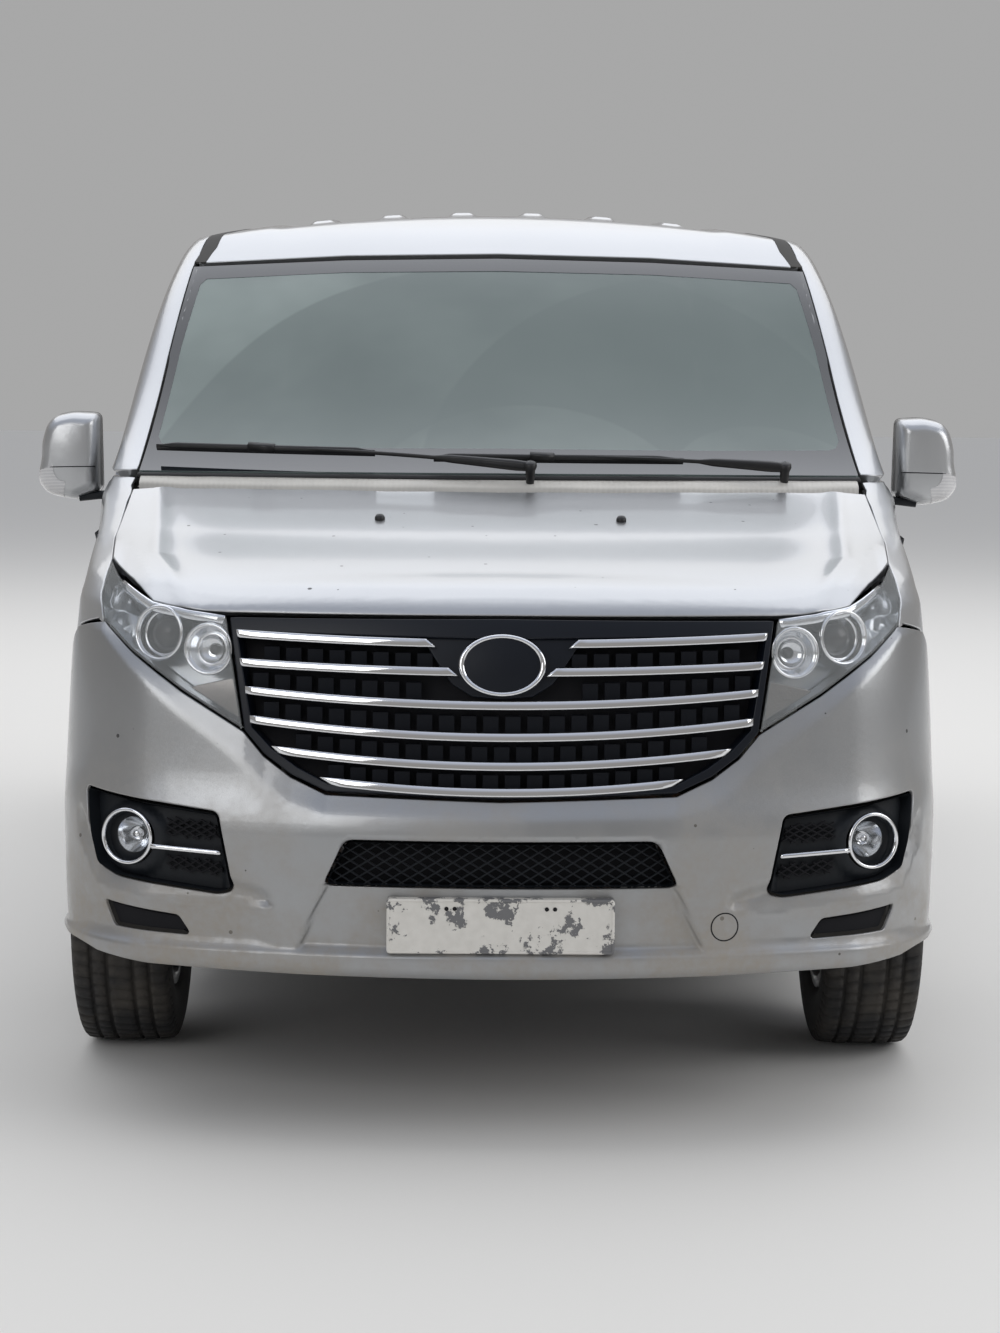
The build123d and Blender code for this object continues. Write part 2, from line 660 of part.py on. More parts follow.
with BuildPart() as front_panel:
    add(cabin_void)
    add(box_between((-WIDE, TIE_BAR - TIE_BAR_DEPTH / 2, TIE_BAR_BOTTOM),
                    (WIDE, TIE_BAR + TIE_BAR_DEPTH / 2, TIE_BAR_TOP)), mode=Mode.INTERSECT)
with BuildPart() as stops:
    with Locations((-STOP_X, station(TIE_BAR), TIE_BAR_BOTTOM), (STOP_X, station(TIE_BAR), TIE_BAR_BOTTOM)):
        Cylinder(STOP_RADIUS, STOP_LENGTH, align=(Align.CENTER, Align.CENTER, Align.MIN))
    add(stop_form, mode=Mode.INTERSECT)
with BuildPart() as tie_bar:
    add(front_panel.part)
    add(stops.part)
save(tie_bar.part, "front_panel")

# Grille bars, which follow the nose's curve
# Columns: height at the middle, height at the ends, half width, inner end of a split bar or nothing.
BARS = [
    (983, 989, 500, 116),
    (930, 938, 505, 100),
    (868, 886, 496, 0),
    (812, 836, 470, 0),
    (762, 778, 420, 0),
    (716, 728, 345, 0),
]

bar_face = body_form(lambda row: (BAR_RECESS, BAR_RECESS), BAR_RECESS)
bar_back = body_form(lambda row: (BAR_BACK, BAR_BACK), BAR_BACK)
GRILLE_INNER = [(0, 1008), (516, 1010), (484, 812), (446, 774), (392, 737), (336, 716), (0, 708)]
grille_opening = front_block(both_halves(GRILLE_INNER), AHEAD, NOSE_REACH)
with BuildPart() as grille_surround:
    add(grille)
    add(grille_opening - bar_back, mode=Mode.SUBTRACT)
save(grille_surround.part, "grille")

with BuildPart() as slats:
    with BuildSketch(Plane.XZ.offset(-station(AHEAD))):
        for middle, end, half, inner in BARS:
            for side in (-1, 1):
                with BuildLine():
                    top = ThreePointArc((side * inner, middle + BAR_HALF_HEIGHT),
                                        (side * (inner + half) / 2, (middle * 3 + end) / 4 + BAR_HALF_HEIGHT),
                                        (side * half, end + BAR_HALF_HEIGHT / 2))
                    bottom = ThreePointArc((side * inner, middle - BAR_HALF_HEIGHT),
                                           (side * (inner + half) / 2, (middle * 3 + end) / 4 - BAR_HALF_HEIGHT),
                                           (side * half, end - BAR_HALF_HEIGHT / 2))
                    Line(top @ 0, bottom @ 0)
                    Line(top @ 1, bottom @ 1)
                make_face()
        with Locations((-STAY_X, STAY_MIDDLE), (STAY_X, STAY_MIDDLE)):
            Rectangle(STAY_WIDTH, STAY_LENGTH)
        with Locations((0, EMBLEM_MIDDLE)):
            Ellipse(EMBLEM_HALF_WIDTH, EMBLEM_HALF_HEIGHT)
            Rectangle(2 * STAY_X, EMBLEM_CARRIER)
    extrude(amount=-(NOSE_REACH - AHEAD))
with BuildPart() as bars:
    add(slats.part)
    add(bar_face, mode=Mode.INTERSECT)
    add(bar_back, mode=Mode.SUBTRACT)
    add(grille_opening, mode=Mode.INTERSECT)
save(bars.part, "grille_bars")

# Wheels
# Columns of both sections: distance outwards from the wheel's middle plane, radius.
TYRE_SECTION = [(BEAD_HALF, RIM_SEAT + FIT), (TYRE_WIDTH / 2, TYRE_RADIUS), (-TYRE_WIDTH / 2, TYRE_RADIUS),
                (-BEAD_HALF, RIM_SEAT + FIT)]
RIM_SECTION = [(-RIM_HALF, FLANGE_RADIUS), (-RIM_HALF, 192), (HUB_FACE_OUT - 4, 188),
               (HUB_FACE_OUT, HUB_BORE), (HUB_FACE_OUT + DISC, HUB_BORE), (HUB_FACE_OUT + DISC, 178),
               (RIM_HALF, 208), (RIM_HALF, FLANGE_RADIUS), (FLANGE_INNER, FLANGE_RADIUS), (FLANGE_INNER, RIM_SEAT),
               (-FLANGE_INNER, RIM_SEAT), (-FLANGE_INNER, FLANGE_RADIUS)]
with BuildPart() as tyre:
    with BuildSketch(Plane.XZ):
        with BuildLine():
            Polyline(*TYRE_SECTION, close=True)
        make_face()
    revolve(axis=Axis.X)
with BuildPart() as rim:
    with BuildSketch(Plane.XZ):
        with BuildLine():
            Polyline(*RIM_SECTION, close=True)
        make_face()
    revolve(axis=Axis.X)
    with BuildSketch(Plane.YZ):
        with PolarLocations(WINDOW_RING, WINDOW_COUNT):
            Trapezoid(WINDOW_WIDTH, WINDOW_LENGTH, WINDOW_TAPER, rotation=90)
    extrude(amount=WINDOW_DEPTH, mode=Mode.SUBTRACT)
for side, name in ((1, "left"), (-1, "right")):
    for axle, end in ((FRONT_AXLE, "front"), (REAR_AXLE, "rear")):
        place = Pos(side * WHEEL_X, axle, TYRE_RADIUS)
        turn = Rot(0, 0, 0 if side > 0 else 180)
        save(place * turn * tyre.part, f"tyre_{end}_{name}")
        save(place * turn * rim.part, f"rim_{end}_{name}")

# Front suspension, knuckles and rear axle
HUB_FACE = WHEEL_X + HUB_FACE_OUT - HUB_SETBACK - FIT
with BuildPart() as knuckle:
    with Locations((KINGPIN_X, FRONT_AXLE, TYRE_RADIUS)):
        Cylinder(KINGPIN, 2 * (ARM_SPREAD - FIT))
        with Locations(Rot(0, 90, 0)):
            Cylinder(KNUCKLE, HUB)
    with BuildSketch(Plane.YZ.offset(KINGPIN_X)):
        with Locations((FRONT_AXLE, TYRE_RADIUS)):
            Circle(HUB)
    extrude(amount=HUB_FACE - KINGPIN_X)
    with BuildSketch(Plane.YZ.offset(HUB_FACE)):
        with Locations((FRONT_AXLE, TYRE_RADIUS)):
            Circle(SPINDLE)
    extrude(amount=SPINDLE_LENGTH)
    with BuildSketch(Plane.YZ.offset(KINGPIN_X + BRAKE_OFFSET)):
        with Locations((FRONT_AXLE, TYRE_RADIUS)):
            Circle(BRAKE_DISC)
    extrude(amount=BRAKE_THICKNESS)
save(knuckle.part, "knuckle_left")
save(mirrored(knuckle.part), "knuckle_right")

LOWER_ARM = TYRE_RADIUS - ARM_SPREAD
UPPER_ARM = TYRE_RADIUS + ARM_SPREAD
# Blocks of the front frame. Columns: X, station and Z of the lower corner, then of the upper one. The frame's rails
# and their feet are listed for the left side only.
CROSS_MEMBER = ((-430, 860, 200), (430, 1000, 300))
BUMPER_BEAM = ((-600, 160, 340), (600, 220, 410))
LEFT_RAIL = ((370, 150, 330), (430, 1400, FLOOR_BOTTOM))
RAIL_FOOT = ((370, 880, 290), (430, 980, 340))
with BuildPart() as left_rail:
    for low, high in (LEFT_RAIL, RAIL_FOOT):
        add(box_between(low, high))
with BuildPart() as left_arms:
    for inner, arm_bottom in ((LOWER_ARM_ROOT, LOWER_ARM - ARM_THICKNESS), (UPPER_ARM_ROOT, UPPER_ARM)):
        add(box_between((inner, FRONT_OVERHANG - ARM_HALF, arm_bottom),
                        (KINGPIN_X + ARM_HALF, FRONT_OVERHANG + ARM_HALF, arm_bottom + ARM_THICKNESS)))
    with Locations((STRUT_X, FRONT_AXLE, LOWER_ARM - ARM_THICKNESS / 2)):
        Cylinder(STRUT, STRUT_TOP - LOWER_ARM + ARM_THICKNESS / 2,
                 align=(Align.CENTER, Align.CENTER, Align.MIN))
with BuildPart() as front_suspension:
    add(box_between(*CROSS_MEMBER))
    for arms in (left_arms.part, mirrored(left_arms.part)):
        add(arms)
    for liner in (front_liner.part, mirrored(front_liner.part)):
        add(liner, mode=Mode.SUBTRACT)
    for rail in (left_rail.part, mirrored(left_rail.part)):
        add(rail)
    add(box_between(*BUMPER_BEAM))
    add(bulkhead.part, mode=Mode.SUBTRACT)
    add(outer - cabin_void, mode=Mode.SUBTRACT)
save(front_suspension.part, "front_suspension")

# Columns as for the front frame.
ENGINE_BLOCK = ((-250, 380, 345), (250, 900, 960))
GEARBOX = ((-130, 900, 345), (130, 1075, 600))
with BuildPart() as engine:
    for low, high in (ENGINE_BLOCK, GEARBOX):
        add(box_between(low, high))
save(engine.part, "engine")

REAR_STATION = FRONT_OVERHANG + WHEELBASE
# Half section of the differential's case. Columns: X, radius.
DIFFERENTIAL_CASE = [(-140, 0), (-130, AXLE_TUBE), (-70, DIFFERENTIAL), (70, DIFFERENTIAL), (130, AXLE_TUBE),
                     (140, 0)]
with BuildPart() as rear_axle:
    with BuildSketch(Plane(origin=(0, REAR_AXLE, TYRE_RADIUS))):
        with BuildLine():
            Polyline(*DIFFERENTIAL_CASE, close=True)
        make_face()
    revolve(axis=Axis((0, REAR_AXLE, TYRE_RADIUS), (1, 0, 0)))
    with Locations((0, REAR_AXLE, TYRE_RADIUS)):
        with Locations(Rot(0, 90, 0)):
            Cylinder(AXLE_TUBE, 2 * (WHEEL_X - DRUM_INNER))
        with Locations(Rot(90, 0, 0)):
            Cylinder(HUB, PINION_REACH, align=(Align.CENTER, Align.CENTER, Align.MIN))
    for side in (-1, 1):
        with BuildSketch(Plane.YZ.offset(side * (WHEEL_X - DRUM_INNER))):
            with Locations((REAR_AXLE, TYRE_RADIUS)):
                Circle(BRAKE_DISC)
        extrude(amount=side * (DRUM_INNER + DRUM_OUTER))
        with BuildSketch(Plane.YZ.offset(side * (WHEEL_X + DRUM_OUTER))):
            with Locations((REAR_AXLE, TYRE_RADIUS)):
                Circle(HUB)
        extrude(amount=side * (HUB_FACE - WHEEL_X - DRUM_OUTER))
        with BuildSketch(Plane.YZ.offset(side * HUB_FACE)):
            with Locations((REAR_AXLE, TYRE_RADIUS)):
                Circle(SPINDLE)
        extrude(amount=side * SPINDLE_LENGTH)
        x = sorted((side * SPRING_INNER, side * SPRING_OUTER))
        add(box_between((x[0], REAR_STATION - SPRING_REACH, SPRING_BOTTOM),
                        (x[1], REAR_STATION + SPRING_TAIL, SPRING_TOP)))
        add(box_between((x[0], REAR_STATION - SPRING_REACH, SPRING_BOTTOM),
                        (x[1], REAR_STATION - SPRING_REACH + SPRING_EYE, FLOOR_BOTTOM)))
        with Locations((side * (SPRING_INNER + SPRING_OUTER) / 2, REAR_AXLE, FLOOR_BOTTOM)):
            Cylinder(COIL, COIL_LENGTH, align=(Align.CENTER, Align.CENTER, Align.MAX))
save(rear_axle.part, "rear_axle")

with BuildPart() as propshaft:
    with BuildSketch(Plane.XZ.offset(-station(GEARBOX[1][1]))):
        with Locations((0, PROPSHAFT_Z)):
            Circle(PROPSHAFT)
    extrude(amount=-(REAR_STATION - PINION_REACH - GEARBOX[1][1]))
save(propshaft.part, "propshaft")

# Columns: station and length of the pipe and of the silencer; a hanger's station and its foot's height.
PIPE = (1000, 4050)
SILENCER = (4350, 480)
HANGERS = [(1080, 262), (4600, 360)]
with BuildPart() as exhaust:
    with BuildSketch(Plane.XZ.offset(-station(PIPE[0]))):
        with Locations((EXHAUST_X, PIPE_Z)):
            Circle(PIPE_RADIUS)
    extrude(amount=-PIPE[1])
    with BuildSketch(Plane.XZ.offset(-station(SILENCER[0]))):
        with Locations((EXHAUST_X, SILENCER_Z)):
            SlotOverall(SILENCER_WIDTH, SILENCER_HEIGHT)
    extrude(amount=-SILENCER[1])
    for hanger_station, foot in HANGERS:
        add(box_between((EXHAUST_X - HANGER_HALF, hanger_station, foot),
                        (EXHAUST_X + HANGER_HALF, hanger_station + HANGER_DEPTH, FLOOR_BOTTOM)))
save(exhaust.part, "exhaust")

# Cabin
# Side views. Columns: station, height above the floor.
FRONT_SEAT = [(1950, 0), (1950, 250), (1930, 270), (1920, 360), (2420, 350), (2560, 960), (2580, 1140),
              (2680, 1140), (2660, 940), (2530, 260), (2450, 0)]
BENCH = [(0, 0), (0, 240), (-20, 350), (440, 340), (540, 930), (560, 1090), (650, 1090), (630, 900), (540, 260),
         (480, 0)]
front_seat = side_block([(s, z + FLOOR_TOP) for s, z in FRONT_SEAT], SEAT_INNER, SEAT_OUTER)
save(front_seat, "front_seat_left")
save(mirrored(front_seat), "front_seat_right")
# Columns: name, station, half width.
BENCHES = [("middle_bench", 2930, 700), ("rear_bench", 3820, 590)]
for name, front, half in BENCHES:
    save(side_block([(s + front, z + FLOOR_TOP) for s, z in BENCH], -half, half), name)

DASH = [(1100, 800), (1100, 1178), (1250, 1205), (1450, 1190), (1560, 1120), (1580, 1000), (1480, 860),
        (1300, 800)]
wheel_x, wheel_station, wheel_z = WHEEL_CENTRE
column_plane = Plane(origin=(wheel_x, station(wheel_station), wheel_z), x_dir=(1, 0, 0),
                     z_dir=(0, cos(radians(COLUMN_TILT)), sin(radians(COLUMN_TILT))))
with BuildPart() as dashboard:
    add(side_block(DASH, -DASH_HALF, DASH_HALF))
    with BuildSketch(column_plane.offset(-HUB_DEPTH - FIT)):
        Circle(COLUMN)
    extrude(amount=-COLUMN_LENGTH)
save(dashboard.part, "dashboard")

with BuildPart() as steering_wheel:
    with BuildSketch(column_plane * Plane.XZ):
        with Locations((STEERING_RADIUS, 0)):
            RegularPolygon(STEERING_RIM, 6)
    revolve(axis=Axis(column_plane.origin, column_plane.z_dir))
    with BuildSketch(column_plane.offset(-HUB_DEPTH)):
        Circle(STEERING_HUB)
    extrude(amount=HUB_THICKNESS)
    with BuildSketch(column_plane.offset(-SPOKE_DEPTH)):
        Rectangle(2 * STEERING_RADIUS, STEERING_SPOKE)
        with Locations((0, -STEERING_RADIUS / 2)):
            Rectangle(STEERING_SPOKE, STEERING_RADIUS)
    extrude(amount=SPOKE_THICKNESS)
save(steering_wheel.part, "steering_wheel")

# Mirrors and wipers
with BuildPart() as mirror_left:
    with BuildSketch(Plane.XZ.offset(-station(MIRROR_FACE))):
        with Locations((MIRROR_OUT - MIRROR_WIDTH / 2, MIRROR_MIDDLE)):
            RectangleRounded(MIRROR_WIDTH, MIRROR_HEIGHT, MIRROR_CORNER)
    extrude(amount=MIRROR_DEPTH / 2)
    extrude(faces().sort_by(Axis.Y)[0], amount=MIRROR_DEPTH / 2, taper=MIRROR_TAPER)
    add(box_between(*MIRROR_ARM))
    add(outer, mode=Mode.SUBTRACT)
save(mirror_left.part.solids().sort_by(Axis.X)[-1], "mirror_left")
save(mirrored(mirror_left.part.solids().sort_by(Axis.X)[-1]), "mirror_right")

# Columns: pivot on the cowl, then the blade's end, middle and other end, all as X, station and Z.
WIPERS = [
    ("wiper_left", (651, 1072, 1282), (418, 1060, 1308), (101, 1023, 1310), (-150, 1029, 1311)),
    ("wiper_right", (68, 965, 1286), (-284, 1058, 1321), (-539, 1110, 1324), (-794, 1193, 1327)),
]
for name, pivot, outer_end, middle, inner_end in WIPERS:
    spots = [Vector(x, station(s), z) for x, s, z in (pivot, outer_end, middle, inner_end)]
    with BuildPart() as wiper:
        with BuildLine(mode=Mode.PRIVATE) as blade_line:
            ThreePointArc(*spots[1:])
        with BuildSketch(Plane(origin=spots[1], z_dir=blade_line.edges()[0] % 0)):
            Rectangle(2 * BLADE, 2 * BLADE)
        sweep(path=blade_line.edges()[0])
        reach = spots[2] - spots[0]
        with BuildSketch(Plane(origin=spots[0], z_dir=reach)):
            Circle(ARM)
        extrude(amount=reach.length)
        with Locations(spots[0] + Vector(0, 0, PIVOT_BOSS)):
            Cylinder(PIVOT_POST, PIVOT_LENGTH, align=(Align.CENTER, Align.CENTER, Align.MAX))
        add(cowl_panel.part, mode=Mode.SUBTRACT)
    save(wiper.part.solids().sort_by(SortBy.VOLUME)[-1], name)
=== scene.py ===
import bpy
import bmesh
import numpy as np
from math import cos, pi, radians, sin, sqrt
from mathutils import Matrix, Vector
from mathutils.geometry import delaunay_2d_cdt


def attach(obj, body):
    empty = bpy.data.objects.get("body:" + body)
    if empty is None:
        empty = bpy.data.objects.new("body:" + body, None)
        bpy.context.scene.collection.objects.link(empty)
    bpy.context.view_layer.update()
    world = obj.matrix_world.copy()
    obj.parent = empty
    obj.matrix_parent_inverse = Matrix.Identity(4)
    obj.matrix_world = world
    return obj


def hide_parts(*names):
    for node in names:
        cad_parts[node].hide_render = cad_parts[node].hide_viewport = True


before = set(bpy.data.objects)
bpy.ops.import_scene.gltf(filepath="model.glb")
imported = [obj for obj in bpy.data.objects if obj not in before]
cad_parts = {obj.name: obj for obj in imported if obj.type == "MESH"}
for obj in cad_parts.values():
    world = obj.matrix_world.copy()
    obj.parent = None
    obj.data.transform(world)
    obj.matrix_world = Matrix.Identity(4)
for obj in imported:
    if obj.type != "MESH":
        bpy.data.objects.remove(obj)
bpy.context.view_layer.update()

scene = bpy.context.scene

# Studio: the camera stands where the photographer stood, a little right of the middle and above the bonnet.
# Plain pale floor and backdrop, and soft light from large panels.
scene.view_settings.view_transform = "Standard"
LENGTH = 5.120
# Focal length and height of the photo in pixels, the camera's place, and how it is turned, tipped and rolled.
FOCAL, PHOTO_HEIGHT = 2965.0, 1333.0
EYE = (-0.057, -LENGTH / 2 - 5.70, 1.545)
TURNED, TIPPED, ROLLED = radians(-0.52), radians(90.0 - 6.0), radians(0.45)
lens = bpy.data.cameras.new("camera")
lens.sensor_fit = "VERTICAL"
lens.sensor_height = 36.0
lens.lens = FOCAL / PHOTO_HEIGHT * 36.0
lens.clip_end = 200.0
camera = bpy.data.objects.new("camera", lens)
scene.collection.objects.link(camera)
camera.matrix_world = (Matrix.Translation(EYE) @ Matrix.Rotation(TURNED, 4, "Z")
                       @ Matrix.Rotation(TIPPED, 4, "X") @ Matrix.Rotation(ROLLED, 4, "Z"))
scene.camera = camera


def soft_panel(name, place, aim, width, height, power):
    """A rectangular lamp at one place, aimed at another."""
    data = bpy.data.lights.new(name, "AREA")
    data.shape = "RECTANGLE"
    data.size, data.size_y, data.energy = width, height, power
    lamp = bpy.data.objects.new(name, data)
    lamp.location = place
    lamp.rotation_euler = (Vector(aim) - Vector(place)).to_track_quat("-Z", "Y").to_euler()
    scene.collection.objects.link(lamp)


soft_panel("overhead", (0.3, 4.3, 7.0), (0.3, 3.6, 0.8), 14.0, 13.0, 560)
soft_panel("front_fill", (-3.6, -8.0, 3.6), (0.0, -2.2, 0.8), 3.5, 3.0, 80)
soft_panel("side_fill", (5.5, -3.5, 3.4), (0.6, -1.6, 0.9), 4.0, 3.0, 90)


def node(tree, kind, settings=(), **links):
    """A node with its settings, and its inputs either linked from a socket or set to a value."""
    made = tree.nodes.new("ShaderNode" + kind)
    for key, value in dict(settings).items():
        setattr(made, key, value)
    for key, value in links.items():
        key = int(key[1:]) if key[0] == "i" and key[1:].isdigit() else key.replace("_", " ")
        if isinstance(value, bpy.types.NodeSocket):
            tree.links.new(value, made.inputs[key])
        else:
            made.inputs[key].default_value = value
    return made


def ramp(tree, value, low, high):
    """A mask that runs from 0 at low to 1 at high."""
    scaled = node(tree, "MapRange", {"interpolation_type": "SMOOTHSTEP"}, Value=value, From_Min=low,
                  From_Max=high)
    return scaled.outputs["Result"]


def mixed(tree, factor, a, b):
    """A colour between two colours, each a value or a socket."""
    made = node(tree, "Mix", {"data_type": "RGBA"}, Factor=factor)
    for slot, value in ((6, a), (7, b)):
        if isinstance(value, bpy.types.NodeSocket):
            tree.links.new(value, made.inputs[slot])
        else:
            made.inputs[slot].default_value = value
    return made.outputs[2]


world = bpy.data.worlds.new("studio")
scene.world = world
world.use_nodes = True
sky = world.node_tree
path = node(sky, "LightPath")
direct = node(sky, "Math", {"operation": "MAXIMUM"}, i0=path.outputs["Is Camera Ray"],
              i1=path.outputs["Is Glossy Ray"])
seen = node(sky, "Math", {"operation": "MAXIMUM"}, i0=direct.outputs[0],
            i1=path.outputs["Is Transmission Ray"])
backdrop = mixed(sky, seen.outputs[0], (0.48, 0.49, 0.51, 1.0), (0.39, 0.39, 0.39, 1.0))
upwards = node(sky, "SeparateXYZ", Vector=node(sky, "TexCoord").outputs["Generated"]).outputs["Z"]
reflected = mixed(sky, ramp(sky, upwards, 0.30, 0.72), (0.30, 0.29, 0.28, 1.0), (0.52, 0.56, 0.66, 1.0))
sky.links.new(mixed(sky, path.outputs["Is Glossy Ray"], backdrop, reflected),
              sky.nodes["Background"].inputs["Color"])


def material(name, **inputs):
    """A material whose shader has these values on its own sockets."""
    paint = bpy.data.materials.new(name)
    paint.use_nodes = True
    shader = paint.node_tree.nodes["Principled BSDF"]
    for key, value in inputs.items():
        shader.inputs[key.replace("_", " ").title().replace("Ior", "IOR")].default_value = value
    return paint


floor_mesh = bpy.data.meshes.new("floor")
floor_mesh.from_pydata([(-40, -30, 0), (40, -30, 0), (40, 50, 0), (-40, 50, 0)], [], [(0, 1, 2, 3)])
floor = bpy.data.objects.new("floor", floor_mesh)
scene.collection.objects.link(floor)
floor_mesh.materials.append(material("studio_floor", base_color=(0.80, 0.79, 0.77, 1.0), roughness=0.85))

# Body form: pressed sheet steel over one smooth surface, which every outer panel follows. Each row is the
# body's outline at one height: height, nose station, sweep of the nose, half width at the corner, half width
# amidships, corner radius, rear station, rear corner radius. A station is a distance behind the bumper.
BODY_ROWS = np.array([
    (0.240, 0.070, 0.190, 0.850, 0.905, 0.300, 5.070, 0.160),
    (0.350, 0.012, 0.190, 0.888, 0.928, 0.340, 5.120, 0.150),
    (0.600, 0.012, 0.190, 0.895, 0.938, 0.340, 5.115, 0.150),
    (0.700, 0.034, 0.194, 0.892, 0.940, 0.340, 5.075, 0.140),
    (1.033, 0.100, 0.200, 0.872, 0.936, 0.330, 5.055, 0.130),
    (1.080, 0.165, 0.215, 0.866, 0.932, 0.330, 5.050, 0.130),
    (1.170, 0.570, 0.225, 0.880, 0.927, 0.280, 5.040, 0.120),
    (1.262, 0.975, 0.190, 0.893, 0.914, 0.110, 5.025, 0.110),
    (1.786, 1.775, 0.090, 0.790, 0.812, 0.090, 4.950, 0.100),
    (1.860, 1.930, 0.090, 0.745, 0.768, 0.090, 4.925, 0.100),
    (1.910, 2.090, 0.090, 0.690, 0.715, 0.090, 4.890, 0.100),
    (1.990, 2.400, 0.090, 0.560, 0.590, 0.090, 4.800, 0.100),
])
# Points in each stretch of an outline, from the nose's arc to the tail.
ARC, CORNER, CHEEK, FLANK, HEEL, TAIL = 70, 30, 16, 110, 16, 40
FRONT_COUNT = ARC + CORNER + CHEEK
# Foremost station of the full width and its least distance behind the nose's corner, how far the flank's line
# ends inwards and forwards of the rear corner, and how far a bend's handles reach along its sides.
SHOULDER, SHOULDER_RUN, REAR_TAPER, REAR_SETBACK, HANDLE = 1.150, 0.12, 0.010, 0.025, 0.56


def rows_at(z):
    """The body's row at each height, through a monotone cubic."""
    heights = BODY_ROWS[:, 0]
    step = np.diff(heights)
    slope = np.diff(BODY_ROWS, axis=0) / step[:, None]
    tangent = np.zeros_like(BODY_ROWS)
    tangent[0], tangent[-1] = slope[0], slope[-1]
    w1, w2 = (2 * step[1:] + step[:-1])[:, None], (step[1:] + 2 * step[:-1])[:, None]
    with np.errstate(divide="ignore", invalid="ignore"):
        middle = (w1 + w2) / (w1 / slope[:-1] + w2 / slope[1:])
    tangent[1:-1] = np.where(slope[:-1] * slope[1:] > 0, middle, 0.0)
    i = np.clip(np.searchsorted(heights, z, side="right") - 1, 0, len(heights) - 2)
    t, h = ((z - heights[i]) / step[i])[:, None], step[i][:, None]
    return ((2*t**3 - 3*t**2 + 1) * BODY_ROWS[i] + (t**3 - 2*t**2 + t) * h * tangent[i]
            + (3*t**2 - 2*t**3) * BODY_ROWS[i + 1] + (t**3 - t**2) * h * tangent[i + 1])


def half_outline(row):
    """The left half of one outline, from the nose's middle round to the tail's, as half width and station."""
    _, nose, sweep, corner, half, radius, rear, rear_radius = row
    shoulder = max(SHOULDER, nose + sweep + SHOULDER_RUN)
    bow = (corner**2 + sweep**2) / (2 * sweep)
    end = np.arcsin(corner / bow)
    flank = np.array([half - corner, shoulder - nose - sweep])
    reach = np.linalg.norm(flank)
    flank /= reach
    turn = np.arccos(np.clip(cos(end) * flank[0] + sin(end) * flank[1], -1, 1))
    back = radius * np.tan(turn / 2)
    start = end - back / bow
    a = np.linspace(0, start, ARC, endpoint=False)
    pieces = [np.c_[bow * np.sin(a), nose + bow * (1 - np.cos(a))]]

    def bend(p, along, q, away, count):
        """A cubic curve from p to q, leaving along one handle and arriving along the other."""
        t = np.linspace(0, 1, count, endpoint=False)[:, None]
        return (1-t)**3 * p + 3*(1-t)**2*t * (p + along) + 3*(1-t)*t**2 * (q - away) + t**3 * q

    p = np.array([bow * sin(start), nose + bow * (1 - cos(start))])
    q = np.array([corner, nose + sweep]) + flank * min(back, reach * 0.98)
    pieces.append(bend(p, np.array([cos(start), sin(start)]) * HANDLE * back, q, flank * HANDLE * back,
                       CORNER))
    mid, tail = np.array([half, shoulder]), np.array([half - REAR_TAPER, rear - REAR_SETBACK])
    pieces.append(q + (mid - q) * np.linspace(0, 1, CHEEK, endpoint=False)[:, None])
    run = (tail - mid) / np.linalg.norm(tail - mid)
    across = np.array([-0.99875, 0.05])
    back = rear_radius * np.tan(np.arccos(run @ across) / 2)
    p, q = tail - run * back, tail + across * back
    pieces.append(mid + (p - mid) * np.linspace(0, 1, FLANK, endpoint=False)[:, None])
    pieces.append(bend(p, run * HANDLE * back, q, across * HANDLE * back, HEEL))
    x = np.linspace(q[0], 0, TAIL)
    pieces.append(np.c_[x, rear - (rear - q[1]) * (x / q[0])**2])
    return np.vstack(pieces)


LEVELS = np.concatenate([np.arange(0.240, 1.0, 0.010), np.arange(1.0, 1.992, 0.004)])
OUTLINES = np.array([half_outline(r) for r in rows_at(LEVELS)])
WIDTH_STEP, STATION_STEP = 0.005, 0.010
WIDTHS = np.arange(0.0, 0.96, WIDTH_STEP)
FRONT_S = np.array([np.interp(WIDTHS, o[:FRONT_COUNT, 0], o[:FRONT_COUNT, 1]) for o in OUTLINES])
STATIONS = np.arange(0.0, 5.14, STATION_STEP)
SIDE_X = np.array([np.interp(STATIONS, o[:-TAIL, 1], o[:-TAIL, 0]) for o in OUTLINES])
REFERENCE = half_outline(rows_at(np.array([0.6]))[0])
GIRTH = np.concatenate([[0], np.cumsum(np.linalg.norm(np.diff(REFERENCE, axis=0), axis=1))])


def between(table, levels, z, places, p):
    """Bilinear value of a table over heights and places."""
    i = np.clip(np.searchsorted(levels, z, side="right") - 1, 0, len(levels) - 2)
    j = np.clip(np.searchsorted(places, p, side="right") - 1, 0, len(places) - 2)
    t = np.clip((z - levels[i]) / (levels[i + 1] - levels[i]), 0, 1)
    v = np.clip((p - places[j]) / (places[j + 1] - places[j]), 0, 1)
    if table.ndim == 3:
        t, v = t[:, None], v[:, None]
    return ((table[i, j] * (1 - v) + table[i, j + 1] * v) * (1 - t)
            + (table[i + 1, j] * (1 - v) + table[i + 1, j + 1] * v) * t)


# Height and station of the roof's highest point, and how flat it is across and along.
PEAK, PEAK_STATION, FLAT_ACROSS, FLAT_ALONG = 1.956, 3.5, 8.9, 44.0


def crown(x, s):
    """The roof's height over X and station."""
    return PEAK - x**2 / FLAT_ACROSS - (s - PEAK_STATION)**2 / FLAT_ALONG


def lower(a, b, soft=0.004):
    """The lower of two heights, with the edge where they cross rounded."""
    small = np.minimum(a, b)
    return small - soft * np.log(np.exp((small - a) / soft) + np.exp((small - b) / soft))


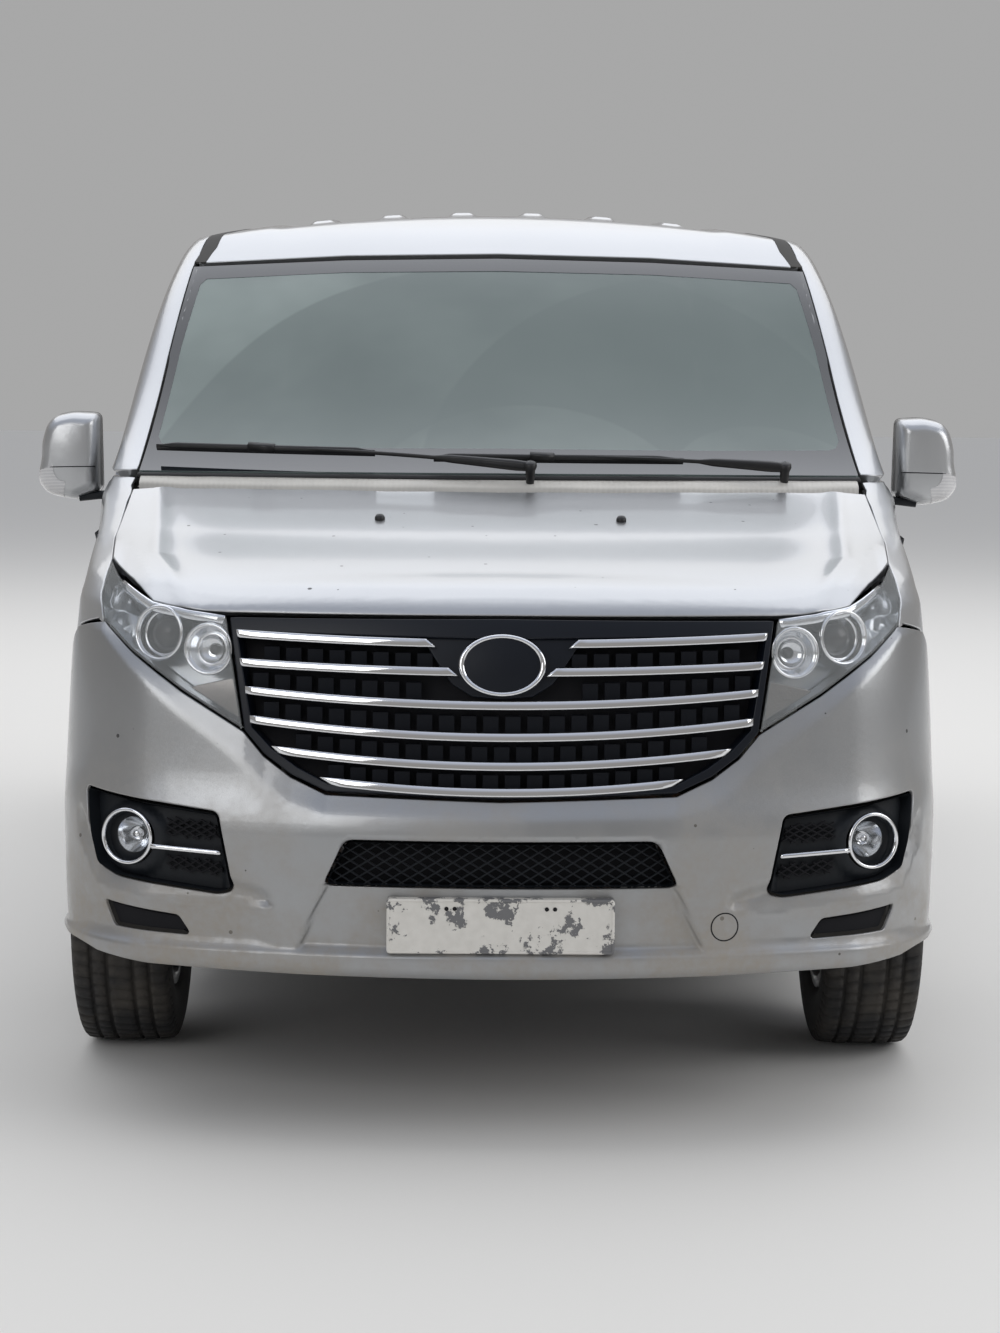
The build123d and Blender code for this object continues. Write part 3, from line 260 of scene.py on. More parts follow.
def wrapped(p):
    """Girth and height to X, station and Z. Above the roof's edge the height runs on inwards."""
    out = between(OUTLINES, LEVELS, p[:, 1], GIRTH, np.abs(p[:, 0]))
    x = np.sign(p[:, 0]) * out[:, 0]
    return np.c_[x, out[:, 1], lower(p[:, 1], crown(x, out[:, 1]))]


def wrapped_rear(p):
    """The same, with the girth measured from the middle of the tail."""
    return wrapped(np.c_[np.where(p[:, 0] < 0, -1, 1) * (GIRTH[-1] - np.abs(p[:, 0])), p[:, 1]])


def girth_of(kind, p):
    """Girth and height of points in a view: X and Z in the front or rear view, station and Z in the left side
    view, and X and station from above."""
    found = []
    for a, z in p:
        if kind == "top":
            j = np.clip(int(z / STATION_STEP), 0, len(STATIONS) - 2)
            t = z / STATION_STEP - j
            column = SIDE_X[:, j] * (1 - t) + SIDE_X[:, j + 1] * t
            high = LEVELS > 1.3
            a, z = z, np.interp(-a, -column[high], LEVELS[high])
        f = np.interp(z, LEVELS, np.arange(len(LEVELS)))
        i = min(int(f), len(LEVELS) - 2)
        o = OUTLINES[i] * (1 - f + i) + OUTLINES[i + 1] * (f - i)
        if kind == "front":
            found.append((np.sign(a) * np.interp(abs(a), o[:FRONT_COUNT, 0], GIRTH[:FRONT_COUNT]), z))
        elif kind == "rear":
            k = slice(None, -HEEL-TAIL-1, -1)
            found.append((np.interp(abs(a), o[k, 0], GIRTH[k]), z))
        else:
            found.append((np.interp(a, o[:, 1], GIRTH), z))
    return np.array(found)


FOREHEAD = LEVELS > 1.0


def from_above(p):
    """X and station to X, station and Z on the bonnet and roof."""
    z = np.empty(len(p))
    levels, table = LEVELS[FOREHEAD], FRONT_S[FOREHEAD]
    j = np.clip(np.abs(p[:, 0]) / WIDTH_STEP, 0, len(WIDTHS) - 1.001)
    for n, (x, s) in enumerate(p):
        k = int(j[n])
        column = table[:, k] * (1 - j[n] + k) + table[:, k + 1] * (j[n] - k)
        z[n] = np.interp(s, column, levels)
    return np.c_[p, lower(z, crown(p[:, 0], p[:, 1]))]


def dense(points, step):
    """A run of points with more of them between, so that each step is short."""
    points = np.array(points, float)
    out = []
    for a, b in zip(points, points[1:]):
        n = max(1, int(np.ceil(np.linalg.norm(b - a) / step)))
        out.append(a + (b - a) * np.linspace(0, 1, n, endpoint=False)[:, None])
    return np.vstack(out + [points[-1:]])


def dense_loop(loop, step):
    """The same for a closed outline."""
    return dense(np.vstack([loop, loop[:1]]), step)[:-1]


def rounded(points, radius):
    """A closed outline with its corners rounded."""
    points = np.array(points, float)
    radius = np.broadcast_to(radius, len(points))
    out = []
    for i, p in enumerate(points):
        a, b = points[i - 1] - p, points[(i + 1) % len(points)] - p
        la, lb = np.linalg.norm(a), np.linalg.norm(b)
        cut = min(radius[i], la * 0.45, lb * 0.45)
        if cut < 0.002:
            out.append(p[None])
            continue
        t = np.linspace(0, 1, 7)[:, None]
        out.append((1-t)**2 * (p + a / la * cut) + 2*(1-t)*t * p + t**2 * (p + b / lb * cut))
    return np.vstack(out)


def shrunk(loop, by):
    """A closed outline moved inwards by so much; the loop may run either way."""
    loop = np.array(loop)
    area = np.sum(loop[:, 0] * np.roll(loop[:, 1], -1) - np.roll(loop[:, 0], -1) * loop[:, 1])
    before, after = loop - np.roll(loop, 1, 0), np.roll(loop, -1, 0) - loop
    before /= np.linalg.norm(before, axis=1)[:, None] + 1e-12
    after /= np.linalg.norm(after, axis=1)[:, None] + 1e-12
    sign = 1 if area > 0 else -1
    normal = np.c_[-(before + after)[:, 1], (before + after)[:, 0]] * sign
    normal /= np.linalg.norm(normal, axis=1)[:, None] + 1e-12
    slack = np.clip(np.sum(normal * np.c_[-before[:, 1], before[:, 0]] * sign, axis=1), 0.35, 1)
    return loop + normal * (by / slack)[:, None]


def within(points, loop):
    """Which points lie inside a closed outline."""
    odd = np.zeros(len(points), bool)
    x, y = points[:, 0], points[:, 1]
    for (ax, ay), (bx, by) in zip(loop, np.roll(loop, -1, 0)):
        if ay != by:
            odd ^= ((ay > y) != (by > y)) & (x < (bx - ax) * (y - ay) / (by - ay) + ax)
    return odd


def made_mesh(name, body, points, faces, finish, smooth=True, mirror=False):
    """A piece from its points, as X, station and Z, and faces; mirrored for the other side when asked."""
    points = np.array(points, float) - (0, LENGTH / 2, 0)
    pieces = []
    for side in ((1, -1) if mirror else (1,)):
        label = name if not mirror else f"{name}_{'left' if side > 0 else 'right'}"
        mesh = bpy.data.meshes.new(label)
        mesh.from_pydata((points * (side, 1, 1)).tolist(), [], [tuple(f)[::side] for f in faces])
        mesh.polygons.foreach_set("use_smooth", [smooth] * len(mesh.polygons))
        mesh.materials.append(finish)
        piece = bpy.data.objects.new(label, mesh)
        scene.collection.objects.link(piece)
        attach(piece, body if isinstance(body, str) else body[0 if side > 0 else 1])
        pieces.append(piece)
    return pieces


# A point inside the body, from which panels face outwards.
BODY_MIDDLE = (0, 2.6, 0.9)
# A panel's rim: how far out and down its rolled edge is half way round, as shares of the edge, and its hem's
# width. Points of the filling grid keep this share of a cell away from the outline.
ROLLED_OUT, ROLLED_DOWN, HEM, CLEAR_OF_RIM = 0.7071, 0.2929, 0.012, 0.6


def skin(name, body, loops, place, cell, finish, thick=0.004, edge=0.003, relief=None, mirror=False,
         gap=0.003, sink=0.0, back=None):
    """A pressed panel: outlines in their own flat map, filled, laid on the body and given rolled edges.
    The first loop is the outside and the others are holes. place turns map points into X, station and Z.
    back closes the inner side too, with a material of its own."""
    loops = [shrunk(l, gap + edge if n == 0 else -gap - edge) for n, l in enumerate(loops)]
    low, high = loops[0].min(0), loops[0].max(0)
    cell = np.array(cell)
    gx, gy = np.meshgrid(np.arange(low[0] + cell[0] / 2, high[0], cell[0]),
                         np.arange(low[1] + cell[1] / 2, high[1], cell[1]))
    gx[::2] += cell[0] / 2
    grid = np.c_[gx.ravel(), gy.ravel()]
    grid = grid[within(grid, loops[0])]
    for l in loops[1:]:
        grid = grid[~within(grid, l)]
    near = np.full(len(grid), np.inf)
    for l in loops:
        for p in l:
            near = np.minimum(near, np.abs((grid - p) / cell).max(1))
    grid = grid[near > CLEAR_OF_RIM]
    flat = [Vector(p) for l in loops for p in l]
    edges, first = [], 0
    for l in loops:
        edges += [(first + i, first + (i + 1) % len(l)) for i in range(len(l))]
        first += len(l)
    verts, _, faces, *_ = delaunay_2d_cdt(flat + [Vector(p) for p in grid], edges, [], 1, 1e-7)
    flat = np.array([tuple(v) for v in verts])
    centres = np.array([flat[list(f)].mean(0) for f in faces])
    keep = within(centres, loops[0])
    for l in loops[1:]:
        keep &= ~within(centres, l)
    faces = np.array(faces)[keep]
    a, b, c = flat[faces[:, 0]], flat[faces[:, 1]], flat[faces[:, 2]]
    turn = (b[:, 0] - a[:, 0]) * (c[:, 1] - a[:, 1]) - (b[:, 1] - a[:, 1]) * (c[:, 0] - a[:, 0])
    faces[turn < 0] = faces[turn < 0][:, ::-1]

    def normals_at(shape, p, e):
        """Normals of a surface, from its slopes over a short step each way."""
        n = np.cross(shape(p + (e, 0)) - shape(p - (e, 0)), shape(p + (0, e)) - shape(p - (0, e)))
        return n / (np.linalg.norm(n, axis=1)[:, None] + 1e-12)

    middle = flat.mean(0)[None]
    spot = place(middle)[0]
    outward = 1.0 if normals_at(place, middle, 0.002)[0] @ (spot - BODY_MIDDLE) > 0 else -1.0

    def surface(p):
        """The panel's outer face: the body with the relief, sunk as asked."""
        q = place(p)
        n = normals_at(place, p, 0.003) * outward
        if relief is not None:
            q = q + n * relief(q)[:, None]
        return q - n * sink

    top = surface(flat)
    normal = normals_at(surface, flat, 0.002) * outward
    pairs = {(f[i], f[(i + 1) % 3]) for f in faces.tolist() for i in range(3)}
    border = [p for p in pairs if (p[1], p[0]) not in pairs]
    rim = sorted({i for p in border for i in p})
    index = {i: n for n, i in enumerate(rim)}
    tangent = np.zeros((len(flat), 3))
    for i, j in border:
        d = top[j] - top[i]
        d /= np.linalg.norm(d) + 1e-12
        tangent[i] += d
        tangent[j] += d
    nr, pr = normal[rim], top[rim]
    out = np.cross(tangent[rim], nr) * outward
    out /= np.linalg.norm(out, axis=1)[:, None] + 1e-12
    rings = [(pr + out * edge * ROLLED_OUT - nr * edge * ROLLED_DOWN, (nr + out) / sqrt(2)),
             (pr + out * edge - nr * edge, out), (pr + out * edge - nr * (edge + thick), out),
             (pr + out * (edge - HEM) - nr * (edge + thick), -nr)]
    points = np.vstack([top] + [p for p, _ in rings])
    normals = np.vstack([normal] + [n for _, n in rings])
    triangles, quads = faces.tolist(), []
    base, count = len(top), len(rim)
    for i, j in border:
        a = [i] + [base + k * count + index[i] for k in range(4)]
        b = [j] + [base + k * count + index[j] for k in range(4)]
        if back is not None:
            a[4], b[4] = base + 3 * count + i, base + 3 * count + j
        quads += [(b[k], a[k], a[k + 1], b[k + 1]) for k in range(4)]
    polygons = [tuple(f) for f in triangles + quads]
    if back is not None:
        points = np.vstack([points[:base + 3 * count], top - normal * (edge + thick)])
        normals = np.vstack([normals[:base + 3 * count], -normal])
        polygons += [(c + base + 3 * count, b + base + 3 * count, a + base + 3 * count)
                     for a, b, c in triangles]
    if outward < 0:
        polygons = [f[::-1] for f in polygons]
    made = made_mesh(name, body, points, polygons, finish, mirror=mirror)
    for piece, side in zip(made, (1, -1)):
        mesh = piece.data
        mesh.normals_split_custom_set_from_vertices((normals * (side, 1, 1)).tolist())
        if back is not None:
            mesh.materials.append(back)
            mesh.polygons.foreach_set("material_index", [0] * (len(polygons) - len(triangles))
                                      + [1] * len(triangles))
    return made


# Paint: silver metallic base with clear coat, on every outer panel. Fine flakes break up the reflection, road
# dirt lies on the lower faces, and stone chips show primer on the nose.
def group(name, inputs, outputs):
    """An empty shader node group with its sockets: a tree, its input node and its output node."""
    tree = bpy.data.node_groups.new(name, "ShaderNodeTree")
    for label, kind, value in inputs:
        socket = tree.interface.new_socket(label, in_out="INPUT", socket_type=kind)
        socket.default_value = value
    for label, kind in outputs:
        tree.interface.new_socket(label, in_out="OUTPUT", socket_type=kind)
    return tree, tree.nodes.new("NodeGroupInput"), tree.nodes.new("NodeGroupOutput")


def math(tree, operation, a, b=0.0):
    """Two values added, multiplied or the like; sums and products are kept between 0 and 1."""
    made = node(tree, "Math", {"operation": operation, "use_clamp": operation in ("ADD", "MULTIPLY")}, i0=a,
                i1=b)
    return made.outputs[0]


def here(tree):
    """Places on the piece, in its own axes."""
    return node(tree, "TexCoord").outputs["Object"]


def noise(tree, place, **values):
    """Cloudy values from 0 to 1."""
    return node(tree, "TexNoise", Vector=place, **values).outputs["Fac"]


def stripes(tree, place, direction, **values):
    """Bands that follow one another in one direction, with soft edges."""
    settings = {"wave_type": "BANDS", "bands_direction": direction}
    return node(tree, "TexWave", settings, Vector=place, **values).outputs["Fac"]


def bump(tree, height, strength, distance):
    """Normals of a relief."""
    return node(tree, "Bump", Height=height, Strength=strength, Distance=distance).outputs["Normal"]


def feed(tree, **values):
    """Values that change over the surface, linked to the sockets of a material's shader."""
    for key, value in values.items():
        tree.links.new(value, tree.nodes["Principled BSDF"].inputs[key.replace("_", " ").title()])


# Dirt: a mask of settled dust and of spray from the road, stronger low down and in cloudy patches. It dulls
# the clear coat and covers the paint with dry earth, whose colour the group gives too.
dirt, dirt_in, dirt_out = group("road_dirt",
                                [("Top", "NodeSocketFloat", 0.75), ("Amount", "NodeSocketFloat", 1.0)],
                                [("Mask", "NodeSocketFloat"), ("Color", "NodeSocketColor")])
place = here(dirt)
height = node(dirt, "SeparateXYZ", Vector=place).outputs["Z"]
cloud = noise(dirt, place, Scale=5.0, Detail=6.0, Roughness=0.62)
fine = noise(dirt, place, Scale=70.0, Detail=3.0)
low = node(dirt, "MapRange", {"interpolation_type": "SMOOTHSTEP"}, Value=height,
           From_Min=dirt_in.outputs["Top"], From_Max=0.20)
patch = math(dirt, "MULTIPLY", ramp(dirt, cloud, 0.34, 0.66), math(dirt, "ADD", fine, 0.25))
mask = math(dirt, "MULTIPLY", math(dirt, "MULTIPLY", low.outputs["Result"], patch), dirt_in.outputs["Amount"])
dirt.links.new(mask, dirt_out.inputs["Mask"])
dirt.links.new(mixed(dirt, cloud, (0.24, 0.205, 0.16, 1), (0.34, 0.305, 0.255, 1)), dirt_out.inputs["Color"])

# Chips: small dark spots with sharp edges, scattered where stones have knocked the paint off down to the
# primer. Each cell of a cell pattern holds one spot of its own size, or none.
chips, chips_in, chips_out = group("stone_chips", [("Density", "NodeSocketFloat", 1.0)],
                                   [("Mask", "NodeSocketFloat")])
place = here(chips)
cells = node(chips, "TexVoronoi", Vector=place, Scale=34.0)
chosen = node(chips, "SeparateColor", Color=cells.outputs["Color"]).outputs["Red"]
size = math(chips, "MULTIPLY", node(chips, "SeparateColor", Color=cells.outputs["Color"]).outputs["Green"],
            0.16)
spot = math(chips, "LESS_THAN", cells.outputs["Distance"], size)
few = math(chips, "GREATER_THAN", chosen, math(chips, "SUBTRACT", 1.0,
                                               math(chips, "MULTIPLY", chips_in.outputs["Density"], 0.045)))
chips.links.new(math(chips, "MULTIPLY", spot, few), chips_out.inputs["Mask"])


def body_paint(name, chipped, dirty, top=0.78, painted_shade_factor=1.0):
    """The silver paint: how densely it is chipped, how dirty it is and up to what height, and by what factor
    its silver is darkened as painted shade.
    """
    paint = material(name, metallic=0.82, roughness=0.33, coat_weight=0.85, coat_roughness=0.07)
    tree = paint.node_tree
    soil = node(tree, "Group", {"node_tree": dirt}, Top=top, Amount=dirty)
    hits = node(tree, "Group", {"node_tree": chips}, Density=chipped)
    where = here(tree)
    flake = node(tree, "TexVoronoi", Vector=where, Scale=1400.0).outputs["Color"]
    tone = noise(tree, where, Scale=1.6, Detail=4.0)
    # Below 1, the factor darkens the silver as painted shade.
    silver = mixed(tree, tone, (0.45 * painted_shade_factor, 0.46 * painted_shade_factor, 0.475 * painted_shade_factor, 1),
                   (0.52 * painted_shade_factor, 0.53 * painted_shade_factor, 0.54 * painted_shade_factor, 1))
    chipped_colour = mixed(tree, hits.outputs["Mask"], silver, (0.035, 0.035, 0.04, 1))
    colour = mixed(tree, soil.outputs["Mask"], chipped_colour, soil.outputs["Color"])
    bare = math(tree, "SUBTRACT", 1.0, math(tree, "ADD", soil.outputs["Mask"], hits.outputs["Mask"]))
    sparkle = node(tree, "NormalMap", {"space": "OBJECT"}, Strength=0.05, Color=flake)
    feed(tree, base_color=colour, metallic=math(tree, "MULTIPLY", bare, 0.82),
         coat_weight=math(tree, "MULTIPLY", bare, 0.85),
         roughness=math(tree, "ADD", math(tree, "MULTIPLY", soil.outputs["Mask"], 0.45), 0.33),
         normal=sparkle.outputs["Normal"])
    return paint


silver = body_paint("silver_paint", 0.4, 0.75)
under_seal = material("under_seal", base_color=(0.010, 0.010, 0.012, 1), roughness=0.80,
                      specular_ior_level=0.2)
lining = material("cabin_lining", base_color=(0.36, 0.35, 0.33, 1), roughness=0.80)
tree = lining.node_tree
feed(tree, normal=bump(tree, noise(tree, here(tree), Scale=90.0), 0.12, 0.001))
silver_front = body_paint("silver_paint_chipped", 3.0, 1.0, 0.90)
# The bumper's silver is darkened to 0.72 times as painted shade, so that it looks less lit than the bonnet.
bumper_silver_painted_shade = body_paint("silver_bumper_painted_shade", 3.5, 1.0, 0.98, 0.72)


# Front bumper: one painted plastic moulding from wheel to wheel, clipped to the fenders below the lamps and
# grille. Its middle is let in round the number plate, a lip runs along its lower edge, and it has pockets for
# the fog lamps.
WHEEL_RADIUS = 0.343
ARCH_RADIUS = 0.396
FRONT_AXLE = 0.930
REAR_AXLE = 4.010


def arch(centre, radius, start, end, count=40):
    """Points round a wheel arch in the side view, from one height to another over the top."""
    a0, a1 = ((np.arctan2(z - WHEEL_RADIUS, s - centre) + pi / 2) % (2 * pi) - pi / 2
              for s, z in (start, end))
    a = np.linspace(a0, a1, count)
    return [(centre + radius * np.cos(t), WHEEL_RADIUS + radius * np.sin(t)) for t in a]


def traced(*runs, step=0.014):
    """A run of outline, as girth and height, from items of a view's name and points in that view."""
    return np.vstack([girth_of(kind, dense(points, step)) for kind, points in runs])


def outlined(view, points, step=0.014):
    """A closed outline given by its corners in one view."""
    return traced((view, points + points[:1]), step=step)[:-1]


def both(half):
    """A whole outline from its left half, which runs from the middle line round to the middle line."""
    right = half[::-1] * (-1, 1)
    right = right[np.abs(right[:, 0]) > 1e-4]
    return np.vstack([half, right])


def mirror_loop(loop):
    """The same outline on the other side."""
    return loop[::-1] * (-1, 1)


def ease(value, low, high):
    """A smooth step from 0 at low to 1 at high; low may be the greater."""
    t = np.clip((value - low) / (high - low), 0, 1)
    return t * t * (3 - 2 * t)


# Every panel lies this far below the surface that its neighbours' seams are cut from.
INSET = 0.0006
LAMP_OUTLINE = [(0.511, 0.804), (0.548, 1.026), (0.633, 1.037), (0.708, 1.053), (0.784, 1.089),
                (0.817, 1.116), (0.823, 1.060), (0.813, 1.008), (0.745, 0.951), (0.639, 0.878)]
GRILLE_OUTLINE = [(0, 1.033), (0.545, 1.027), (0.511, 0.804), (0.470, 0.758), (0.416, 0.720), (0.346, 0.690),
                  (0, 0.681)]
FOG_OUTLINE = [(0.837, 0.671), (0.562, 0.642), (0.532, 0.491), (0.560, 0.483), (0.699, 0.497), (0.773, 0.505),
               (0.814, 0.521), (0.830, 0.581)]
SLOT_OUTLINE = [(0.799, 0.446), (0.644, 0.430), (0.622, 0.398), (0.779, 0.402)]
LOWER_OUTLINE = [(0.303, 0.595), (-0.303, 0.595), (-0.347, 0.509), (0.347, 0.509)]
SEAM = [(0.301, 1.008), (0.400, 0.985), (0.470, 0.930), (0.530, 0.800), (0.585, 0.620), (0.602, 0.566)]

bumper_half = np.vstack([
    traced(("front", [(0, 0.322), (0.400, 0.324), (0.700, 0.330), (0.807, 0.342)])),
    traced(("side", [(0.300, 0.352), (0.420, 0.366), (0.540, 0.392)]))[1:],
    traced(("side", arch(FRONT_AXLE, ARCH_RADIUS, (0.540, 0.392), (0.602, 0.566), 14)))[1:],
    traced(("side", SEAM[::-1]))[1:],
    traced(("front", [(0.813, 1.008), (0.745, 0.951), (0.639, 0.878), (0.511, 0.804)]))[1:],
    traced(("front", GRILLE_OUTLINE[2:]))[1:],
])


# The blade-like fold under each fog lamp's pocket. Rows: X, heights of its upper and lower edge.
BLADE = [(0.445, 0.532, 0.560, 0.699, 0.773, 0.814, 0.850), (0.465, 0.487, 0.483, 0.497, 0.505, 0.521, 0.600),
         (0.460, 0.447, 0.449, 0.464, 0.471, 0.484, 0.552)]


def bumper_relief(q):
    """The bumper's recess, lip, cheeks, blades and the brow under the lamps, as height over the body."""
    x, s, z = np.abs(q[:, 0]), q[:, 1], q[:, 2]
    flank = 0.305 + (0.593 - z) / 0.216 * 0.093
    let_in = ease(x, flank + 0.009, flank - 0.004) * ease(z, 0.372, 0.392) * ease(z, 0.604, 0.585)
    lip = ease(z, 0.384, 0.366) * ease(z, 0.318, 0.346)
    cheek = ease(z, 0.48, 0.44) * ease(z, 0.37, 0.40) * ease(x, 0.42, 0.50) * ease(x, 0.90, 0.82)
    rim_line = np.interp(x, [0, 0.346, 0.416, 0.470, 0.511, 0.639, 0.745, 0.813],
                         [0.681, 0.690, 0.720, 0.758, 0.804, 0.878, 0.951, 1.008])
    brow_wide = np.interp(x, [0, 0.35, 0.50, 0.66, 0.83], [0.040, 0.044, 0.062, 0.046, 0.022])
    brow = (0.10 * np.log1p(np.exp(np.clip(1 - (rim_line - z) / brow_wide, -3, 1.3) / 0.10))
            * ease(x, 0.90, 0.80))
    over = np.interp(x, BLADE[0], BLADE[1])
    under = np.interp(x, BLADE[0], BLADE[2])
    blade = np.clip((z - under) / np.maximum(over - under, 0.003), 0, 1) * ease(z, over + 0.034, over + 0.002)
    blade *= ease(x, 0.440, 0.470) * ease(x, 0.862, 0.850)
    return 0.009 * lip - 0.013 * let_in - 0.007 * cheek - 0.011 * brow - 0.012 * blade - INSET


fog_loop = rounded(outlined("front", FOG_OUTLINE, 0.05), 0.012)
slot_loop = rounded(outlined("front", SLOT_OUTLINE, 0.3), 0.007)
lower_loop = rounded(outlined("front", LOWER_OUTLINE, 0.3), 0.018)
bumper_holes = [dense_loop(l, 0.012) for l in
                (fog_loop, mirror_loop(fog_loop), slot_loop, mirror_loop(slot_loop), lower_loop)]
bumper, = skin("front_bumper_skin", "body", [both(bumper_half)] + bumper_holes, wrapped, (0.0095, 0.0085),
               bumper_silver_painted_shade, relief=bumper_relief, back=under_seal)
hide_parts("front_bumper")

# Bonnet: a short pressed steel lid between the fenders, rolled over at its nose down to the grille, with a
# soft crease along each side. It is hinged at its rear corners.
bonnet_edge = [(0, 1.034), (0.545, 1.028), (0.633, 1.038), (0.708, 1.054), (0.761, 1.091), (0.820, 1.118),
               (0.836, 1.150), (0.838, 1.236)]
bonnet_half = traced(("front", bonnet_edge), step=0.010)
bonnet_rear = np.array([(0.838, 1.092), (0.700, 1.043), (0.500, 0.989), (0.250, 0.943), (0, 0.928)])


def bonnet_relief(q):
    """The soft crease along each side, and the nose rolled down to the grille."""
    x, s = np.abs(q[:, 0]), q[:, 1]
    line = np.interp(s, [0.15, 0.5, 1.1], [0.60, 0.70, 0.755])
    nose = np.interp(x, [p[0] for p in bonnet_edge[:6]], [p[1] for p in bonnet_edge[:6]])
    rolled = np.clip(1 - (q[:, 2] - nose) / 0.034, 0, 1.2) * ease(x, 0.825, 0.79)
    return (-0.006 * ease(x, line + 0.030, line) * ease(s, 0.16, 0.30) - INSET
            + 0.0045 * np.exp(-((x - line - 0.012) / 0.018)**2) - 0.010 * rolled)


front_edge = wrapped(bonnet_half)[:, :2]
rear_edge = dense(bonnet_rear, 0.02)
half = np.vstack([front_edge, rear_edge[rear_edge[:, 1] < front_edge[-1, 1] + 0.004]])
bonnet, = skin("bonnet_skin", "bonnet", [both(half)], from_above, (0.013, 0.009), silver_front,
               relief=bonnet_relief, thick=0.018, back=under_seal)
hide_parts("bonnet")

# Front fenders: pressed sheet steel in the silver paint, with a raised lip round the wheel arch. Each is
# bolted on between the bumper, the lamp, the bonnet and the door.
fender_loop = np.vstack([
    traced(("side", SEAM)),
    traced(("side", arch(FRONT_AXLE, ARCH_RADIUS, (0.602, 0.566), (1.322, 0.380), 60)))[1:],
    traced(("side", [(1.330, 0.350), (1.397, 0.350), (1.369, 0.760), (1.342, 1.205), (1.345, 1.262)])),
    traced(("front", [(0.838, 1.268)])),
    traced(("side", [(1.100, 1.246)])),
    traced(("front", [(0.838, 1.236), (0.836, 1.150), (0.820, 1.118), (0.823, 1.060), (0.813, 1.008)])),
])
_, keep = np.unique(np.round(fender_loop, 4), axis=0, return_index=True)
fender_loop = fender_loop[np.sort(keep)]


# The raised arch lips stand on the surface, and the rest of the fender lies this far below it.
LIP_DROP = 0.0066


def arch_relief(q):
    """The raised lip round the wheel arches, and a shallow crease along the flanks."""
    x, s, z = q[:, 0], q[:, 1], q[:, 2]
    out = np.zeros(len(q))
    for axle in (FRONT_AXLE, REAR_AXLE):
        d = np.hypot(s - axle, z - WHEEL_RADIUS) - ARCH_RADIUS
        out += 0.006 * ease(d, 0.050, 0.030) * ease(z, 0.30, 0.36)
    out += 0.004 * ease(z, 0.905, 0.925) * ease(z, 1.02, 0.94) * ease(s, 0.9, 1.2)
    out -= 0.006 * ease(z, 0.440, 0.415) * ease(s, 1.3, 1.42)
    return out - LIP_DROP


fenders = skin("fender_skin", "body", [fender_loop], wrapped, (0.016, 0.016), silver, relief=arch_relief,
               mirror=True, back=under_seal)
for fender, side in zip(fenders, ("left", "right")):
    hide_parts(f"front_fender_{side}")

# Windscreen: laminated glass, bonded in, with a black band printed round its edge. A film of dust lies on it,
# thinner where the wipers have swept.
def glass(name, clean, film, clean_alpha, film_alpha, spindles=()):
    """Tinted glass with dust in cloudy patches. Around each spindle, a wiper keeps a ring of it clean."""
    pane = material(name, roughness=0.02, ior=1.5)
    tree = pane.node_tree
    place = here(tree)
    cloud = noise(tree, place, Scale=2.2, Detail=3.0, Roughness=0.5)
    dust = ramp(tree, cloud, 0.25, 0.78)
    for spot, inner, outer in spindles:
        away = node(tree, "VectorMath", {"operation": "DISTANCE"}, i0=place, i1=spot).outputs["Value"]
        swept_ring = math(tree, "MULTIPLY", ramp(tree, away, inner - 0.006, inner + 0.006),
                          ramp(tree, away, outer + 0.006, outer - 0.006))
        dust = math(tree, "MULTIPLY", dust, math(tree, "SUBTRACT", 1.0,
                                                 math(tree, "MULTIPLY", swept_ring, 0.62)))
    feed(tree, base_color=mixed(tree, dust, clean, film),
         alpha=math(tree, "ADD", math(tree, "MULTIPLY", dust, film_alpha - clean_alpha), clean_alpha))
    return pane


screen_glass = glass("windscreen_glass", (0.120, 0.158, 0.155, 1), (0.235, 0.290, 0.280, 1), 0.86, 0.93,
                     [((0.651, 1.072 - LENGTH / 2, 1.288), 0.25, 0.83),
                      ((0.068, 0.965 - LENGTH / 2, 1.290), 0.36, 0.92)])
side_glass = glass("side_glass", (0.006, 0.008, 0.008, 1), (0.030, 0.032, 0.030, 1), 0.62, 0.68)
frit = material("printed_band", base_color=(0.012, 0.015, 0.019, 1), roughness=0.04, coat_weight=0.5)
screen_half = np.vstack([
    traced(("front", [(0, 1.275), (0.400, 1.274), (0.836, 1.270)])),
    traced(("front", [(0.836, 1.270), (0.800, 1.540), (0.765, 1.763)]))[1:],
    traced(("front", [(0.765, 1.763), (0.380, 1.781), (0, 1.788)]))[1:],
])
screen_loop = both(screen_half)
windscreen, = skin("windscreen_pane", "body", [screen_loop], wrapped, (0.030, 0.030), screen_glass,
                   thick=0.003, edge=0.001, sink=0.001, back=screen_glass)
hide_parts("windscreen")
inner_half = np.vstack([
    traced(("front", [(0, 1.335), (0.500, 1.332), (0.772, 1.333)])),
    traced(("front", [(0.788, 1.337), (0.797, 1.350), (0.768, 1.560), (0.738, 1.712)])),
    traced(("front", [(0.726, 1.724), (0.380, 1.742), (0, 1.748)])),
])
skin("windscreen_band", "body", [screen_loop, both(inner_half)], wrapped, (0.025, 0.025), frit, thick=0.0,
     edge=0.0005, gap=0.0035, sink=0.0004)

# Side panels: pressed steel from the screen pillars over the doors to the tail, with the sill below the doors
# and a rear arch. The sliding door's rail runs in a dark slot behind the door.
def unique(loop):
    """The outline without points that lie on top of one another."""
    keep = np.linalg.norm(loop - np.roll(loop, 1, 0), axis=1) > 0.0015
    return loop[keep]


